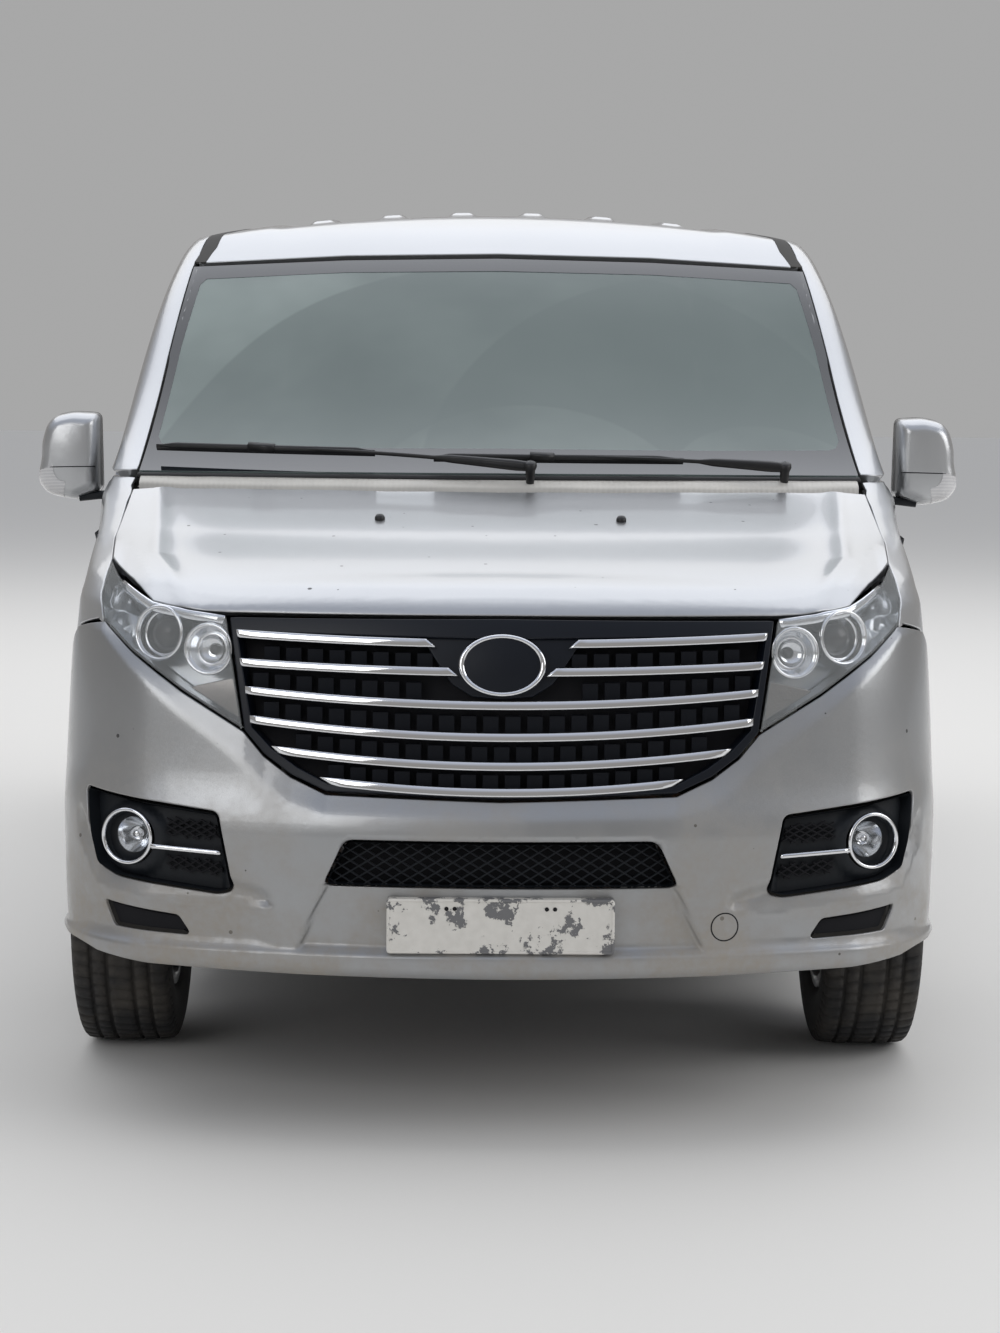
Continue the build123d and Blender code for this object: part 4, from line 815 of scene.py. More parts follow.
QUARTER_WINDOW = [(3.580, 1.205), (3.580, 1.762), (4.670, 1.750), (4.760, 1.215)]
side_loop = unique(np.vstack([
    traced(("front", [(0.839, 1.272), (0.804, 1.540), (0.770, 1.760)])),
    traced(("top", [(0.757, 1.880), (0.735, 2.100), (0.725, 2.400), (0.725, 4.700)]), step=0.03),
    traced(("rear", [(0.650, 1.872), (0.706, 1.762), (0.741, 1.506)])),
    traced(("side", [(4.830, 1.506), (4.824, 1.500), (4.824, 0.940), (4.830, 0.934)])),
    traced(("rear", [(0.778, 0.934), (0.751, 0.614)])),
    traced(("side", [(4.900, 0.614), (4.780, 0.602), (4.400, 0.562), (4.404, 0.420)])),
    traced(("side", arch(REAR_AXLE, ARCH_RADIUS, (4.397, 0.420), (3.619, 0.300), 60)))[1:],
    traced(("side", [(3.600, 0.250), (1.408, 0.250), (1.408, 0.345), (3.476, 0.345), (3.505, 0.720),
                     (3.505, 1.820), (2.445, 1.820), (2.160, 1.805), (2.030, 1.757), (1.425, 1.315),
                     (1.344, 1.268)])),
    traced(("side", [(1.300, 1.268), (1.200, 1.268)])),
]))


def window_loop(corners):
    """A side window's outline from its corners in the side view."""
    loop = rounded(corners, 0.070)
    return traced(("side", np.vstack([loop, loop[:1]])), step=0.02)[:-1]


quarter_loop = window_loop(QUARTER_WINDOW)


def side_relief(q):
    """The arch lip and crease, and the sunk slot of the sliding door's rail."""
    x, s, z = np.abs(q[:, 0]), q[:, 1], q[:, 2]
    rail = ease(np.abs(z - 1.098), 0.010, 0.007) * ease(s, 3.500, 3.512) * ease(s, 4.655, 4.640)
    return arch_relief(q) + LIP_DROP - 0.010 * rail - INSET


sides = skin("side_skin", "body", [side_loop, quarter_loop], wrapped,
             (0.018, 0.018), silver, relief=side_relief, mirror=True, thick=0.040, back=lining)
for panel, side in zip(sides, ("left", "right")):
    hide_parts(f"side_panel_{side}")

# Roof: one steel pressing with six raised ribs that stiffen it, welded to the sides in two ditches. Each
# ditch is closed with a strip of weathered rubber.
def roof_relief(q):
    """Six ribs that stand up from a sunk field."""
    x, s = np.abs(q[:, 0]), q[:, 1]
    rib = (ease(np.abs(x % 0.190 - 0.095), 0.036, 0.022) * ease(x, 0.530, 0.515) * ease(s, 2.41, 2.46)
           * ease(s, 4.79, 4.74))
    return -0.011 * (1 - rib) * ease(x, 0.600, 0.545) * ease(s, 1.85, 2.25) * ease(s, 4.86, 4.79) - INSET


roof_front = wrapped(traced(("front", [(0.760, 1.768), (0.380, 1.789), (0, 1.796)]), step=0.03))[:, :2][::-1]
roof_half = unique(np.vstack([roof_front,
                              dense([(0.742, 1.900), (0.712, 2.150), (0.700, 2.400), (0.700, 4.780),
                                     (0.640, 4.876), (0, 4.882)], 0.03)]))
roof, = skin("roof_skin", "body", [both(roof_half)], from_above, (0.014, 0.030), silver, relief=roof_relief,
             thick=0.012, back=lining)
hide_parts("roof_panel")
ditch_half = np.vstack([wrapped(traced(("front", [(0.738, 1.772)])))[:, :2],
                        dense([(0.716, 1.900), (0.689, 2.150), (0.678, 2.400), (0.680, 4.780)], 0.04),
                        dense([(0.712, 4.760), (0.712, 2.400), (0.725, 2.130), (0.752, 1.880)], 0.04),
                        wrapped(traced(("front", [(0.764, 1.772)])))[:, :2]])
rubber = material("black_rubber", base_color=(0.012, 0.012, 0.013, 1), roughness=0.62)
strip_rubber = material("weathered_rubber", base_color=(0.060, 0.058, 0.055, 1), roughness=0.80)
skin("roof_strip", "body", [unique(ditch_half)], from_above, (0.02, 0.04), strip_rubber, sink=-0.0008,
     mirror=True, gap=-0.002, edge=0.001)

# Doors: front doors hinged on the fenders, and sliding doors behind them. Each is a pressed steel shell with
# its window let in behind a black rubber seal.
DOORS = [
    ("front_door", [(1.400, 0.350), (1.372, 0.760), (1.345, 1.205), (1.430, 1.310), (2.035, 1.752),
                    (2.160, 1.800), (2.440, 1.815), (2.440, 0.350)],
     [(1.490, 1.215), (1.515, 1.300), (2.085, 1.718), (2.190, 1.755), (2.360, 1.762), (2.360, 1.200)], 2.340),
    ("sliding_door", [(2.449, 0.350), (2.449, 1.815), (3.500, 1.815), (3.500, 0.720), (3.470, 0.350)],
     [(2.530, 1.200), (2.530, 1.762), (3.430, 1.762), (3.430, 1.200)], 2.580),
]
window_loops = {"quarter": quarter_loop}
for name, outline, window, handle in DOORS:
    loop = outlined("side", outline)
    pane = window_loop(window)
    window_loops[name] = pane

    def door_relief(q, handle=handle):
        """The crease along the door, and the cup behind its handle."""
        cup = np.hypot((q[:, 1] - handle) / 0.075, (q[:, 2] - 1.070) / 0.032)
        return arch_relief(q) + LIP_DROP - 0.012 * ease(cup, 1.0, 0.55) - INSET

    riders = [f"front_door_{s}" if name == "front_door" else "body" for s in ("left", "right")]
    shells = skin(f"{name}_skin", riders, [loop, pane], wrapped, (0.018, 0.018), silver,
                  relief=door_relief, mirror=True, thick=0.045, back=lining)
    for shell, side in zip(shells, ("left", "right")):
        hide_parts(f"{name}_{side}")

# Side windows: tempered glass with a dark tint, held a few millimetres in behind the panels. A black rubber
# seal runs round each pane.
PANES = [("quarter", "quarter_glass", ("body", "body")),
         ("front_door", "front_glass", ("front_door_left", "front_door_right")),
         ("sliding_door", "sliding_glass", ("body", "body"))]
for key, cad, riders in PANES:
    loop = window_loops[key]
    panes = skin(f"{cad}_pane", riders, [loop], wrapped, (0.04, 0.04), side_glass, thick=0.003, edge=0.001,
                 sink=0.006, mirror=True, gap=0.001, back=side_glass)
    for pane, side in zip(panes, ("left", "right")):
        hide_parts(f"{cad}_{side}")
    skin(f"{cad}_seal", riders, [loop, shrunk(loop, 0.022)], wrapped, (0.03, 0.03), rubber, thick=0.0,
         edge=0.002, sink=0.0045, mirror=True, gap=-0.002)

# Tailgate: a pressed steel lid the full width of the tail, hinged at the roof's rear edge. Its wide window is
# tinted glass in a black rubber seal, and the plate sits in a recess below.
def rear_loop(points, step=0.02):
    """Points in the rear view, with the girth measured from the middle of the tail."""
    loop = traced(("rear", points), step=step)
    return np.c_[GIRTH[-1] - loop[:, 0], loop[:, 1]]


gate_half = rear_loop([(0, 0.618), (0.745, 0.618), (0.772, 1.100), (0.700, 1.760), (0.640, 1.850),
                       (0, 1.880)])
gate_corners = both(rear_loop([(0, 1.205), (0.660, 1.205), (0.590, 1.740), (0, 1.740)], step=0.9))
gate_window = dense_loop(rounded(gate_corners, 0.035), 0.03)


# The bulge below the window stands on the surface, and the rest of the tailgate lies this far below it.
GATE_DROP = 0.0046


def gate_relief(q):
    """The recess for the plate, and a bulge below the window."""
    x, z = np.abs(q[:, 0]), q[:, 2]
    plate = ease(x, 0.285, 0.270) * ease(z, 0.735, 0.750) * ease(z, 0.900, 0.885)
    return -0.014 * plate + 0.004 * ease(z, 1.125, 1.140) * ease(z, 1.19, 1.16) - GATE_DROP


gate, = skin("tailgate_skin", "tailgate", [both(gate_half), gate_window], wrapped_rear, (0.020, 0.018),
             silver, relief=gate_relief, thick=0.040, back=lining)
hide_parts("tailgate")
gate_glass, = skin("tailgate_pane", "tailgate", [gate_window], wrapped_rear, (0.04, 0.04), side_glass,
                   thick=0.003, edge=0.001, sink=0.006, gap=0.001, back=side_glass)
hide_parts("tailgate_glass")
skin("tailgate_seal", "tailgate", [gate_window, shrunk(gate_window, 0.026)], wrapped_rear, (0.03, 0.03),
     rubber, thick=0.0, edge=0.002, sink=0.0045, gap=-0.002)
tail_strip = both(rear_loop([(0, 1.887), (0.640, 1.857), (0.640, 1.893), (0, 1.913)]))
skin("roof_tail_skin", "body", [tail_strip], wrapped_rear, (0.03, 0.01), silver, gap=0.0, sink=0.001)

# Rear bumper: a plastic moulding in the silver paint, clipped on below the tailgate. It runs round both
# corners to the wheel arches.
bumper_rear_half = unique(np.vstack([
    rear_loop([(0, 0.290), (0.700, 0.290)]),
    np.c_[GIRTH[-1], 0] + (-1, 1) * traced(("side", [(4.900, 0.290), (4.413, 0.300), (4.408, 0.420),
                                                     (4.406, 0.556), (4.780, 0.596), (4.900, 0.608)])),
    rear_loop([(0.745, 0.608), (0, 0.608)]),
]))


def rear_bumper_relief(q):
    """A shallow field along the bumper."""
    z = q[:, 2]
    return -0.006 * ease(z, 0.52, 0.50) * ease(z, 0.36, 0.38) - INSET


rear_bumper, = skin("rear_bumper_skin", "body", [both(bumper_rear_half)], wrapped_rear, (0.018, 0.016),
                    silver, relief=rear_bumper_relief, back=under_seal)
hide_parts("rear_bumper")

# Tail lamps: tall lenses of moulded clear and red plastic, set flush round the rear corners. The clear band
# is for the reversing and indicator lamps, and fine ribs run across the red.
lamp_loop = unique(np.vstack([
    traced(("side", [(4.830, 0.940), (4.830, 1.500)])),
    traced(("rear", [(0.741, 1.500), (0.779, 1.100), (0.779, 0.940)])),
]))
lamp_loop = rounded(lamp_loop, 0.02)
red_lens = material("red_lens", base_color=(0.42, 0.008, 0.010, 1), roughness=0.06, coat_weight=1.0,
                    coat_roughness=0.02)
tree = red_lens.node_tree
place = here(tree)
up = node(tree, "SeparateXYZ", Vector=place).outputs["Z"]
clear = math(tree, "MULTIPLY", math(tree, "GREATER_THAN", up, 1.14), math(tree, "LESS_THAN", up, 1.27))
ribs = stripes(tree, place, "Z", Scale=34.0)
lens_colour = mixed(tree, clear, mixed(tree, ribs, (0.30, 0.004, 0.006, 1), (0.55, 0.012, 0.014, 1)),
                    (0.62, 0.62, 0.63, 1))
feed(tree, base_color=lens_colour)


def tail_lamp_relief(q):
    """Grooves between the lamp's parts."""
    z = q[:, 2]
    grooves = sum(np.exp(-((z - at) / 0.004)**2) for at in (1.040, 1.140, 1.270, 1.385))
    return -0.0030 * grooves - INSET


tail_lamps = skin("tail_lamp_lens", "body", [lamp_loop], wrapped, (0.012, 0.006), red_lens, mirror=True,
                  relief=tail_lamp_relief)
for lens_piece, side in zip(tail_lamps, ("left", "right")):
    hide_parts(f"tail_lamp_{side}")

# Headlamps: clear polycarbonate lenses over a bright housing, with a projector for the dipped beam, a
# reflector for the main beam and a ribbed indicator in the inner corner.
def ring_faces(rings, around, closed=True, caps=(False, False), first=0):
    """Quads between neighbouring rings of points, with flat ends where asked."""
    last = around if closed else around - 1
    faces = [(first + i * around + j, first + i * around + (j + 1) % around,
              first + (i + 1) * around + (j + 1) % around, first + (i + 1) * around + j)
             for i in range(rings - 1) for j in range(last)]
    if caps[0]:
        faces.append(tuple(range(first + around - 1, first - 1, -1)))
    if caps[1]:
        faces.append(tuple(range(first + (rings - 1) * around, first + rings * around)))
    return faces


def unit(v):
    """A vector, or each row of an array, made one long."""
    v = np.asarray(v, float)
    return v / (np.linalg.norm(v, axis=-1, keepdims=True) + 1e-12)


def bead(along, radius, thick, count=9):
    """The profile of a round ring, for spun: its place along the axis, its radius and half its thickness."""
    return [(along + thick * np.sin(a), radius + thick * np.cos(a)) for a in np.linspace(-pi, pi, count)]


def domed(along, rise, radius, count):
    """The profile of a dome, for spun: the place of its rim, how far it rises, and its radius."""
    t = np.linspace(0, pi / 2, count)
    return list(zip(along + rise * np.sin(t), np.maximum(radius * np.cos(t), 0.0004)))


def spun(centre, axis, profile, around=48):
    """Points and faces of a turned shape: profile gives distance along the axis and radius."""
    axis = unit(axis)
    u = unit(np.cross(axis, (0.3, 0.2, 1.0)))
    v = np.cross(axis, u)
    a = np.linspace(0, 2 * pi, around, endpoint=False)
    circle = np.cos(a)[:, None] * u + np.sin(a)[:, None] * v
    points = np.vstack([np.array(centre) + axis * d + circle * r for d, r in profile])
    return points, ring_faces(len(profile), around)


def joined(parts):
    """Several sets of points and faces as one."""
    points, faces, first = [], [], 0
    for p, f in parts:
        points.append(np.asarray(p, float))
        faces += [tuple(i + first for i in q) for q in f]
        first += len(p)
    return np.vstack(points), faces


def on_body(p, sink=0.0, shape=None):
    """Places and outward normals on the body for girth and height."""
    shape = shape or wrapped
    e = 0.003  # half the step over which the surface's slope is taken
    q = shape(p)
    n = unit(np.cross(shape(p + (e, 0)) - shape(p - (e, 0)), shape(p + (0, e)) - shape(p - (0, e))))
    n *= np.sign(np.sum(n * (q - BODY_MIDDLE), axis=1))[:, None]
    return q - n * sink, n


def wall(loop, near, far, shape=None):
    """The side wall of a pocket: a band that follows an outline, from one depth to another."""
    a, _ = on_body(loop, near, shape)
    b, _ = on_body(loop, far, shape)
    return np.vstack([a, b]), ring_faces(2, len(loop))


def swept(path, ups, widths, depths, around=12, square=2.0, caps=True):
    """A bar along a path. ups point across it; widths and depths are half sizes, for each point or all."""
    path, ups = np.array(path, float), unit(ups)
    run = unit(np.gradient(path, axis=0))
    ups = unit(ups - run * np.sum(ups * run, axis=1)[:, None])
    out = np.cross(run, ups)
    a = np.linspace(0, 2 * pi, around, endpoint=False)
    c, s = (np.sign(wave) * np.abs(wave)**(2 / square) for wave in (np.cos(a), np.sin(a)))
    widths, depths = np.broadcast_to(widths, len(path)), np.broadcast_to(depths, len(path))
    points = np.vstack([p + c[:, None] * u * w + s[:, None] * o * d
                        for p, u, o, w, d in zip(path, ups, out, widths, depths)])
    return points, ring_faces(len(path), around, caps=(caps, caps))


clear_lens = material("clear_lens", alpha=0.10, ior=1.45, roughness=0.03, base_color=(0.80, 0.83, 0.84, 1))
bright = material("lamp_reflector", metallic=1.0, roughness=0.13, base_color=(0.72, 0.74, 0.77, 1))
lamp_grey = material("lamp_housing", metallic=0.9, roughness=0.22, base_color=(0.42, 0.44, 0.46, 1))
chrome = material("chrome", metallic=1.0, roughness=0.06, base_color=(0.80, 0.81, 0.83, 1))
lamp_loop_front = dense(rounded(outlined("front", LAMP_OUTLINE), 0.006), 0.012)
lenses = skin("headlamp_lens", "body", [lamp_loop_front], wrapped, (0.016, 0.016), clear_lens, thick=0.002,
              edge=0.002, gap=0.002, sink=0.0006, mirror=True, back=clear_lens)
inner_loop = shrunk(lamp_loop_front, 0.006)


def reflector_steps(q):
    """The outer end of the housing is a stepped reflector that comes forward to the lens."""
    return (0.045 * ease(q[:, 0], 0.735, 0.790) + 0.0035 * np.sin(q[:, 0] * 2 * pi / 0.016)
            * ease(q[:, 0], 0.725, 0.745))


made_mesh("headlamp_case", "body", *joined([wall(inner_loop, 0.006, 0.086)]), lamp_grey, mirror=True)
skin("headlamp_floor", "body", [inner_loop], wrapped, (0.02, 0.02), lamp_grey, gap=0.0, sink=0.080,
     mirror=True, relief=reflector_steps)
for lens_piece, side in zip(lenses, ("left", "right")):
    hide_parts(f"headlamp_{side}")

# Columns: middle as X, station and Z, the way it faces, radius of the bowl, radius of its lens or bulb cap.
LAMP_BOWLS = [((0.687, 0.229, 0.985), (0.50, -1.0, 0.12), 0.053, 0.034),
              ((0.584, 0.182, 0.958), (0.32, -1.0, 0.10), 0.049, 0.012)]
bowls, domes, rings = [], [], []
for middle, facing, bowl, dome in LAMP_BOWLS:
    t = np.linspace(0, 1, 9)
    funnel = zip(-0.034 * np.sin(t * pi / 2), bowl * 0.94 - (bowl * 0.94 - dome) * t)
    bowls.append(spun(middle, facing, [(0.000, bowl), *funnel], 56))
    domes.append(spun(middle, facing, domed(-0.034, dome * 0.75, dome, 9), 40))
    rings.append(spun(middle, facing, bead(0.001, bowl, 0.004), 56))
    rings.append(spun(middle, facing, bead(-0.020, (bowl + dome) * 0.5, 0.003), 56))
made_mesh("headlamp_bowls", "body", *joined(bowls), bright, mirror=True)
made_mesh("headlamp_rings", "body", *joined(rings), chrome, mirror=True)
projector = material("projector_lens", roughness=0.10, base_color=(0.022, 0.020, 0.020, 1),
                     specular_ior_level=0.35)
made_mesh("headlamp_projector", "body", *joined(domes), projector, mirror=True)
hatched = material("indicator_lens", roughness=0.16, base_color=(0.20, 0.185, 0.175, 1), metallic=0.7)
tree = hatched.node_tree
hatch = node(tree, "TexChecker", Vector=here(tree), Scale=150.0).outputs["Fac"]
feed(tree, normal=bump(tree, hatch, 0.8, 0.003))
indicator_loop = traced(("front", [(0.632, 0.886), (0.540, 0.908), (0.518, 0.822), (0.632, 0.886)]),
                        step=0.02)[:-1]
skin("headlamp_indicator", "body", [indicator_loop], wrapped, (0.02, 0.02), hatched, gap=0.0, sink=0.024,
     mirror=True)
brow_path, _ = on_body(traced(("front", [(0.556, 1.020), (0.633, 1.029), (0.706, 1.046), (0.778, 1.081)]),
                              step=0.02), 0.012)
made_mesh("headlamp_brow", "body", *swept(brow_path, (0, 0.2, 1.0), 0.010, 0.004), bright, mirror=True)

# Grille: a dark blue-black moulding let into the nose below the bonnet, a row of blocks behind, and six
# bright bars that sag towards the middle and end in points. The middle oval is plain, on a raised ring.
navy = material("grille_moulding", roughness=0.34, base_color=(0.004, 0.006, 0.011, 1),
                specular_ior_level=0.30)
block_black = material("grille_block", roughness=0.70, base_color=(0.006, 0.007, 0.010, 1),
                       specular_ior_level=0.15)
grille_half = traced(("front", GRILLE_OUTLINE))[::-1]
grille_loop = both(grille_half)
grille_inner_half = traced(("front", [(0, 0.990), (0.524, 0.996), (0.492, 0.812), (0.452, 0.772),
                                      (0.402, 0.738), (0.340, 0.708), (0, 0.699)]))[::-1]
surround, = skin("grille_surround", "body", [grille_loop, both(grille_inner_half)], wrapped, (0.02, 0.014),
                 navy, thick=0.040, gap=0.002, sink=0.003, back=navy)
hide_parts("grille")
skin("grille_back", "body", [both(grille_inner_half)], wrapped, (0.03, 0.03), under_seal, gap=-0.01,
     sink=0.052)
# The dark plate round the emblem, down to the third bar.
plate_half = traced(("front", [(0, 0.996), (0.160, 0.996), (0.128, 0.945), (0.100, 0.905), (0.060, 0.880),
                               (0, 0.874)]))
skin("grille_middle", "body", [both(plate_half)], wrapped, (0.014, 0.014), navy, gap=0.0, sink=0.014)
# Columns: height at the middle, height at the ends, half width, inner end, slant of the outer end.
BARS = [(0.982, 0.993, 0.526, 0.142, 0.003), (0.927, 0.937, 0.518, 0.097, 0.003),
        (0.862, 0.883, 0.507, 0.0, 0.002), (0.800, 0.826, 0.497, 0.0, 0.002),
        (0.744, 0.768, 0.446, 0.0, 0.010), (0.694, 0.711, 0.346, 0.0, 0.014)]
blocks, bars = [], []
BLOCK_PITCH, BLOCK = 0.044, (0.015, 0.011, 0.016)
BAR_HALF, BAR_DEPTH, BAR_POINTS = 0.0086, 0.0060, 16
corners = np.array([(a, b, c) for a in (-1, 1) for b in (-1, 1) for c in (-1, 1)], float)
box_faces = [(0, 1, 3, 2), (4, 6, 7, 5), (0, 4, 5, 1), (2, 3, 7, 6), (0, 2, 6, 4), (1, 5, 7, 3)]
for n, (middle, end, half, inner, slant) in enumerate(BARS):
    over = BARS[n - 1]
    for k in range(-12, 13) if n else ():
        x = (k + 0.5 * (n % 2)) * BLOCK_PITCH
        z = ((over[0] + (over[1] - over[0]) * (abs(x) / max(over[2], 0.3))**2 + middle
              + (end - middle) * (abs(x) / half)**2) / 2 - 0.004)
        if abs(x) < half - 0.012 and not (abs(x) < 0.135 and n < 3 and z > 0.86):
            (spot,), (face,) = on_body(traced(("front", [(x, z), (x + 0.001, z)]))[:1], 0.030)
            blocks.append((spot + corners * BLOCK, box_faces))
    for side in ((-1, 1) if inner else (1,)):
        x = np.linspace(side * inner if inner else -half, side * half, 70)
        t = np.abs(x) / half
        z = middle + (end - middle) * t**2
        line, face = on_body(girth_of("front", np.c_[x, z]), 0.010)
        strip, strip_faces = swept(line + face * 0.004, (0.0, 0.25, 1.0), BAR_HALF, BAR_DEPTH, BAR_POINTS,
                                   square=5.0)
        above = (strip[:, 2] - np.repeat(z, BAR_POINTS)) / BAR_HALF
        strip[:, 0] += (np.sign(strip[:, 0]) * slant * above
                        * np.repeat(ease(np.abs(x), half - 0.035, half), BAR_POINTS))
        if inner:
            strip[:, 0] += side * 0.010 * above * np.repeat(ease(np.abs(x), inner + 0.030, inner), BAR_POINTS)
        bars.append((strip, strip_faces))
made_mesh("grille_blocks", "body", *joined(blocks), block_black, smooth=False)
slats, = made_mesh("grille_bright_bars", "body", *joined(bars), chrome)
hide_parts("grille_bars")
# The emblem: height of its middle, half width and half height, then how it leans and curves with the nose.
EMBLEM, LEAN, CURVE = (0.941, 0.086, 0.060), 0.20, 0.25
a = np.linspace(0, 2 * pi, 72, endpoint=False)
oval = np.c_[EMBLEM[1] * np.cos(a), EMBLEM[0] + EMBLEM[2] * np.sin(a)]
middle = np.array([0.0, wrapped(traced(("front", [(0.0, EMBLEM[0]), (0.001, EMBLEM[0])]))[:1])[0, 1],
                   EMBLEM[0]])


def emblem_row(share, lift, curved=1.0):
    """A ring of the emblem: its share of the oval, its lift, and how much of the curve it takes."""
    x, z = oval[:, 0], oval[:, 1] - EMBLEM[0]
    station = np.full(72, middle[1] - lift) + z * share * LEAN + (x * curved)**2 * CURVE
    return np.c_[x * share, station, EMBLEM[0] + z * share]


shell = [emblem_row(k, lift) for k, lift in ((1.0, -0.020), (1.0, 0.002), (0.97, 0.006), (0.90, 0.006),
                                             (0.87, 0.003))]
made_mesh("emblem_ring", "body", np.vstack(shell), ring_faces(5, 72), chrome)
dish = [emblem_row(k, lift, k) for k, lift in ((0.88, 0.002), (0.6, 0.004), (0.3, 0.0055), (0.02, 0.006))]
made_mesh("emblem_disc", "body", np.vstack(dish), ring_faces(4, 72, caps=(False, True)), navy)

# Fog lamps: black bezels in pockets of the bumper, each with a round lamp in a bright ring, a bright bar and
# two small mesh panels. Below them is a shallow dark slot, and between them the lower grille.
grained = material("grained_plastic", roughness=0.55, base_color=(0.006, 0.008, 0.011, 1),
                   specular_ior_level=0.30)
tree = grained.node_tree
grain = node(tree, "TexVoronoi", Vector=here(tree), Scale=900.0).outputs["Distance"]
feed(tree, normal=bump(tree, grain, 0.25, 0.0006))
fog_ring_loop = dense_loop(fog_loop, 0.012)


def bezel_relief(q):
    """The bezel is deepest round its meshes and comes forward round the lamp."""
    x, z = np.abs(q[:, 0]), q[:, 2]
    return 0.014 * ease(np.hypot(x - 0.742, (z - 0.580)), 0.085, 0.060) + 0.010 * ease(x, 0.560, 0.545)


# Middle of the fog lamp as X, station and Z.
FOG = (0.745, 0.166, 0.583)
fog_hole = girth_of("front", [(FOG[0] + 0.0500 * cos(a), FOG[2] + 0.0535 * sin(a))
                              for a in np.linspace(0, 2 * pi, 40, endpoint=False)])
skin("fog_bezel", "body", [fog_ring_loop, fog_hole], wrapped, (0.010, 0.010), grained, gap=0.001, sink=0.028,
     relief=bezel_relief, mirror=True)
made_mesh("fog_bezel_wall", "body", *wall(shrunk(fog_ring_loop, 0.002), 0.003, 0.034), grained, mirror=True)
facing = (0.42, -1.0, 0.02)
t = np.linspace(0, 1, 8)
fog_bowl = spun(FOG, facing, list(zip(-0.024 - 0.030 * np.sin(t * pi / 2), 0.036 - 0.026 * t)), 48)
fog_glass = spun(FOG, facing, domed(-0.022, 0.006, 0.037, 8), 48)
fog_bulb = spun(FOG, facing, [(-0.050, 0.009), (-0.034, 0.009), (-0.031, 0.006), (-0.030, 0.0004)], 24)
fog_ring = spun(FOG, facing, bead(0.003, 0.0535, 0.004, 13), 64)
fog_tube = spun(FOG, facing, [(0.003, 0.0525), (-0.024, 0.047), (-0.026, 0.036)], 48)
made_mesh("fog_lamp_bowl", "body", *fog_bowl, bright, mirror=True)
made_mesh("fog_lamp_glass", "body", *fog_glass, clear_lens, mirror=True)
made_mesh("fog_lamp_bulb", "body", *fog_bulb, chrome, mirror=True)
made_mesh("fog_lamp_ring", "body", *fog_ring, chrome, mirror=True)
made_mesh("fog_lamp_tube", "body", *fog_tube, grained, mirror=True)
line, face = on_body(traced(("front", [(0.700, 0.567), (0.556, 0.561)]), step=0.012), 0.014)
made_mesh("fog_lamp_bar", "body", *swept(line, (0, 0, 1.0), 0.0055, 0.005), chrome, mirror=True)


def mesh_panel(outline, pitch, sink, thin=0.0022, slope=0.62):
    """Crossed wires inside a front-view outline, laid on the body."""
    outline = np.array(outline)
    low, high = outline.min(0), outline.max(0)
    parts = []
    for lean in (slope, -slope):
        reach = (high[1] - low[1]) / slope
        for x0 in np.arange(low[0] - reach, high[0] + reach, pitch):
            x = (np.arange(x0, x0 + reach + 1e-6, 0.006) if lean > 0
                 else np.arange(x0, x0 - reach - 1e-6, -0.006))
            z = low[1] + np.abs(x - x0) * slope
            line = np.c_[x, z]
            inside = within(line, outline)
            if inside.sum() < 3:
                continue
            run = line[inside]
            spots, face = on_body(girth_of("front", run), sink)
            parts.append(swept(spots, face, 0.004, thin, 6, caps=False))
    return parts


FOG_MESHES = [[(0.672, 0.634), (0.566, 0.625), (0.560, 0.583), (0.672, 0.589)],
              [(0.672, 0.551), (0.556, 0.545), (0.552, 0.512), (0.672, 0.524)]]
fog_meshes = [wire for outline in FOG_MESHES for wire in mesh_panel(outline, 0.024, 0.020)]
made_mesh("fog_bezel_mesh", "body", *joined(fog_meshes), under_seal, mirror=True)
slot_ring = dense_loop(slot_loop, 0.012)
skin("bumper_slot", "body", [slot_ring], wrapped, (0.012, 0.010), under_seal, gap=0.001, sink=0.020,
     mirror=True)
lower_mesh = mesh_panel([(0.318, 0.600), (-0.318, 0.600), (-0.362, 0.502), (0.362, 0.502)], 0.034, 0.026)
made_mesh("lower_grille_mesh", "body", *joined(lower_mesh), grained)
lower_ring = dense_loop(lower_loop, 0.012)
made_mesh("lower_grille_wall", "body", *wall(shrunk(lower_ring, 0.001), 0.006, 0.055), grained)
skin("lower_grille_back", "body", [lower_ring], wrapped, (0.03, 0.03), under_seal, gap=-0.004, sink=0.056)

# Plate holder: a pressed panel in the bumper's recess. Its white film is peeling from the grey plastic, and
# the screw holes are empty.
peeling = material("peeling_film", roughness=0.55)
tree = peeling.node_tree
place = here(tree)
warp = noise(tree, place, Scale=14.0, Detail=9.0, Roughness=0.68)
worn_low = node(tree, "MapRange", Value=node(tree, "SeparateXYZ", Vector=place).outputs["Z"], From_Min=0.47,
                From_Max=0.40, To_Min=-0.07, To_Max=0.02)
torn = ramp(tree, math(tree, "ADD", warp, worn_low.outputs["Result"]), 0.525, 0.533)
smear = noise(tree, place, Scale=60.0, Detail=4.0)
film = mixed(tree, smear, (0.58, 0.56, 0.52, 1), (0.72, 0.70, 0.66, 1))
feed(tree, base_color=mixed(tree, torn, film, (0.150, 0.150, 0.155, 1)), normal=bump(tree, torn, 0.6, 0.0015))
# Half width, lower edge and upper edge.
PLATE = (0.223, 0.380, 0.488)
plate_outline = rounded([(-PLATE[0], PLATE[1]), (PLATE[0], PLATE[1]), (PLATE[0], PLATE[2]),
                         (-PLATE[0], PLATE[2])], 0.008)


def slab(outline, levels):
    """A flat-backed slab from a front-view outline: levels give how far in each ring is, and its station."""
    rings = [np.c_[shrunk(outline, inset)[:, 0], np.full(len(outline), s), shrunk(outline, inset)[:, 1]]
             for inset, s in levels]
    return np.vstack(rings), ring_faces(len(rings), len(outline), caps=(False, True))


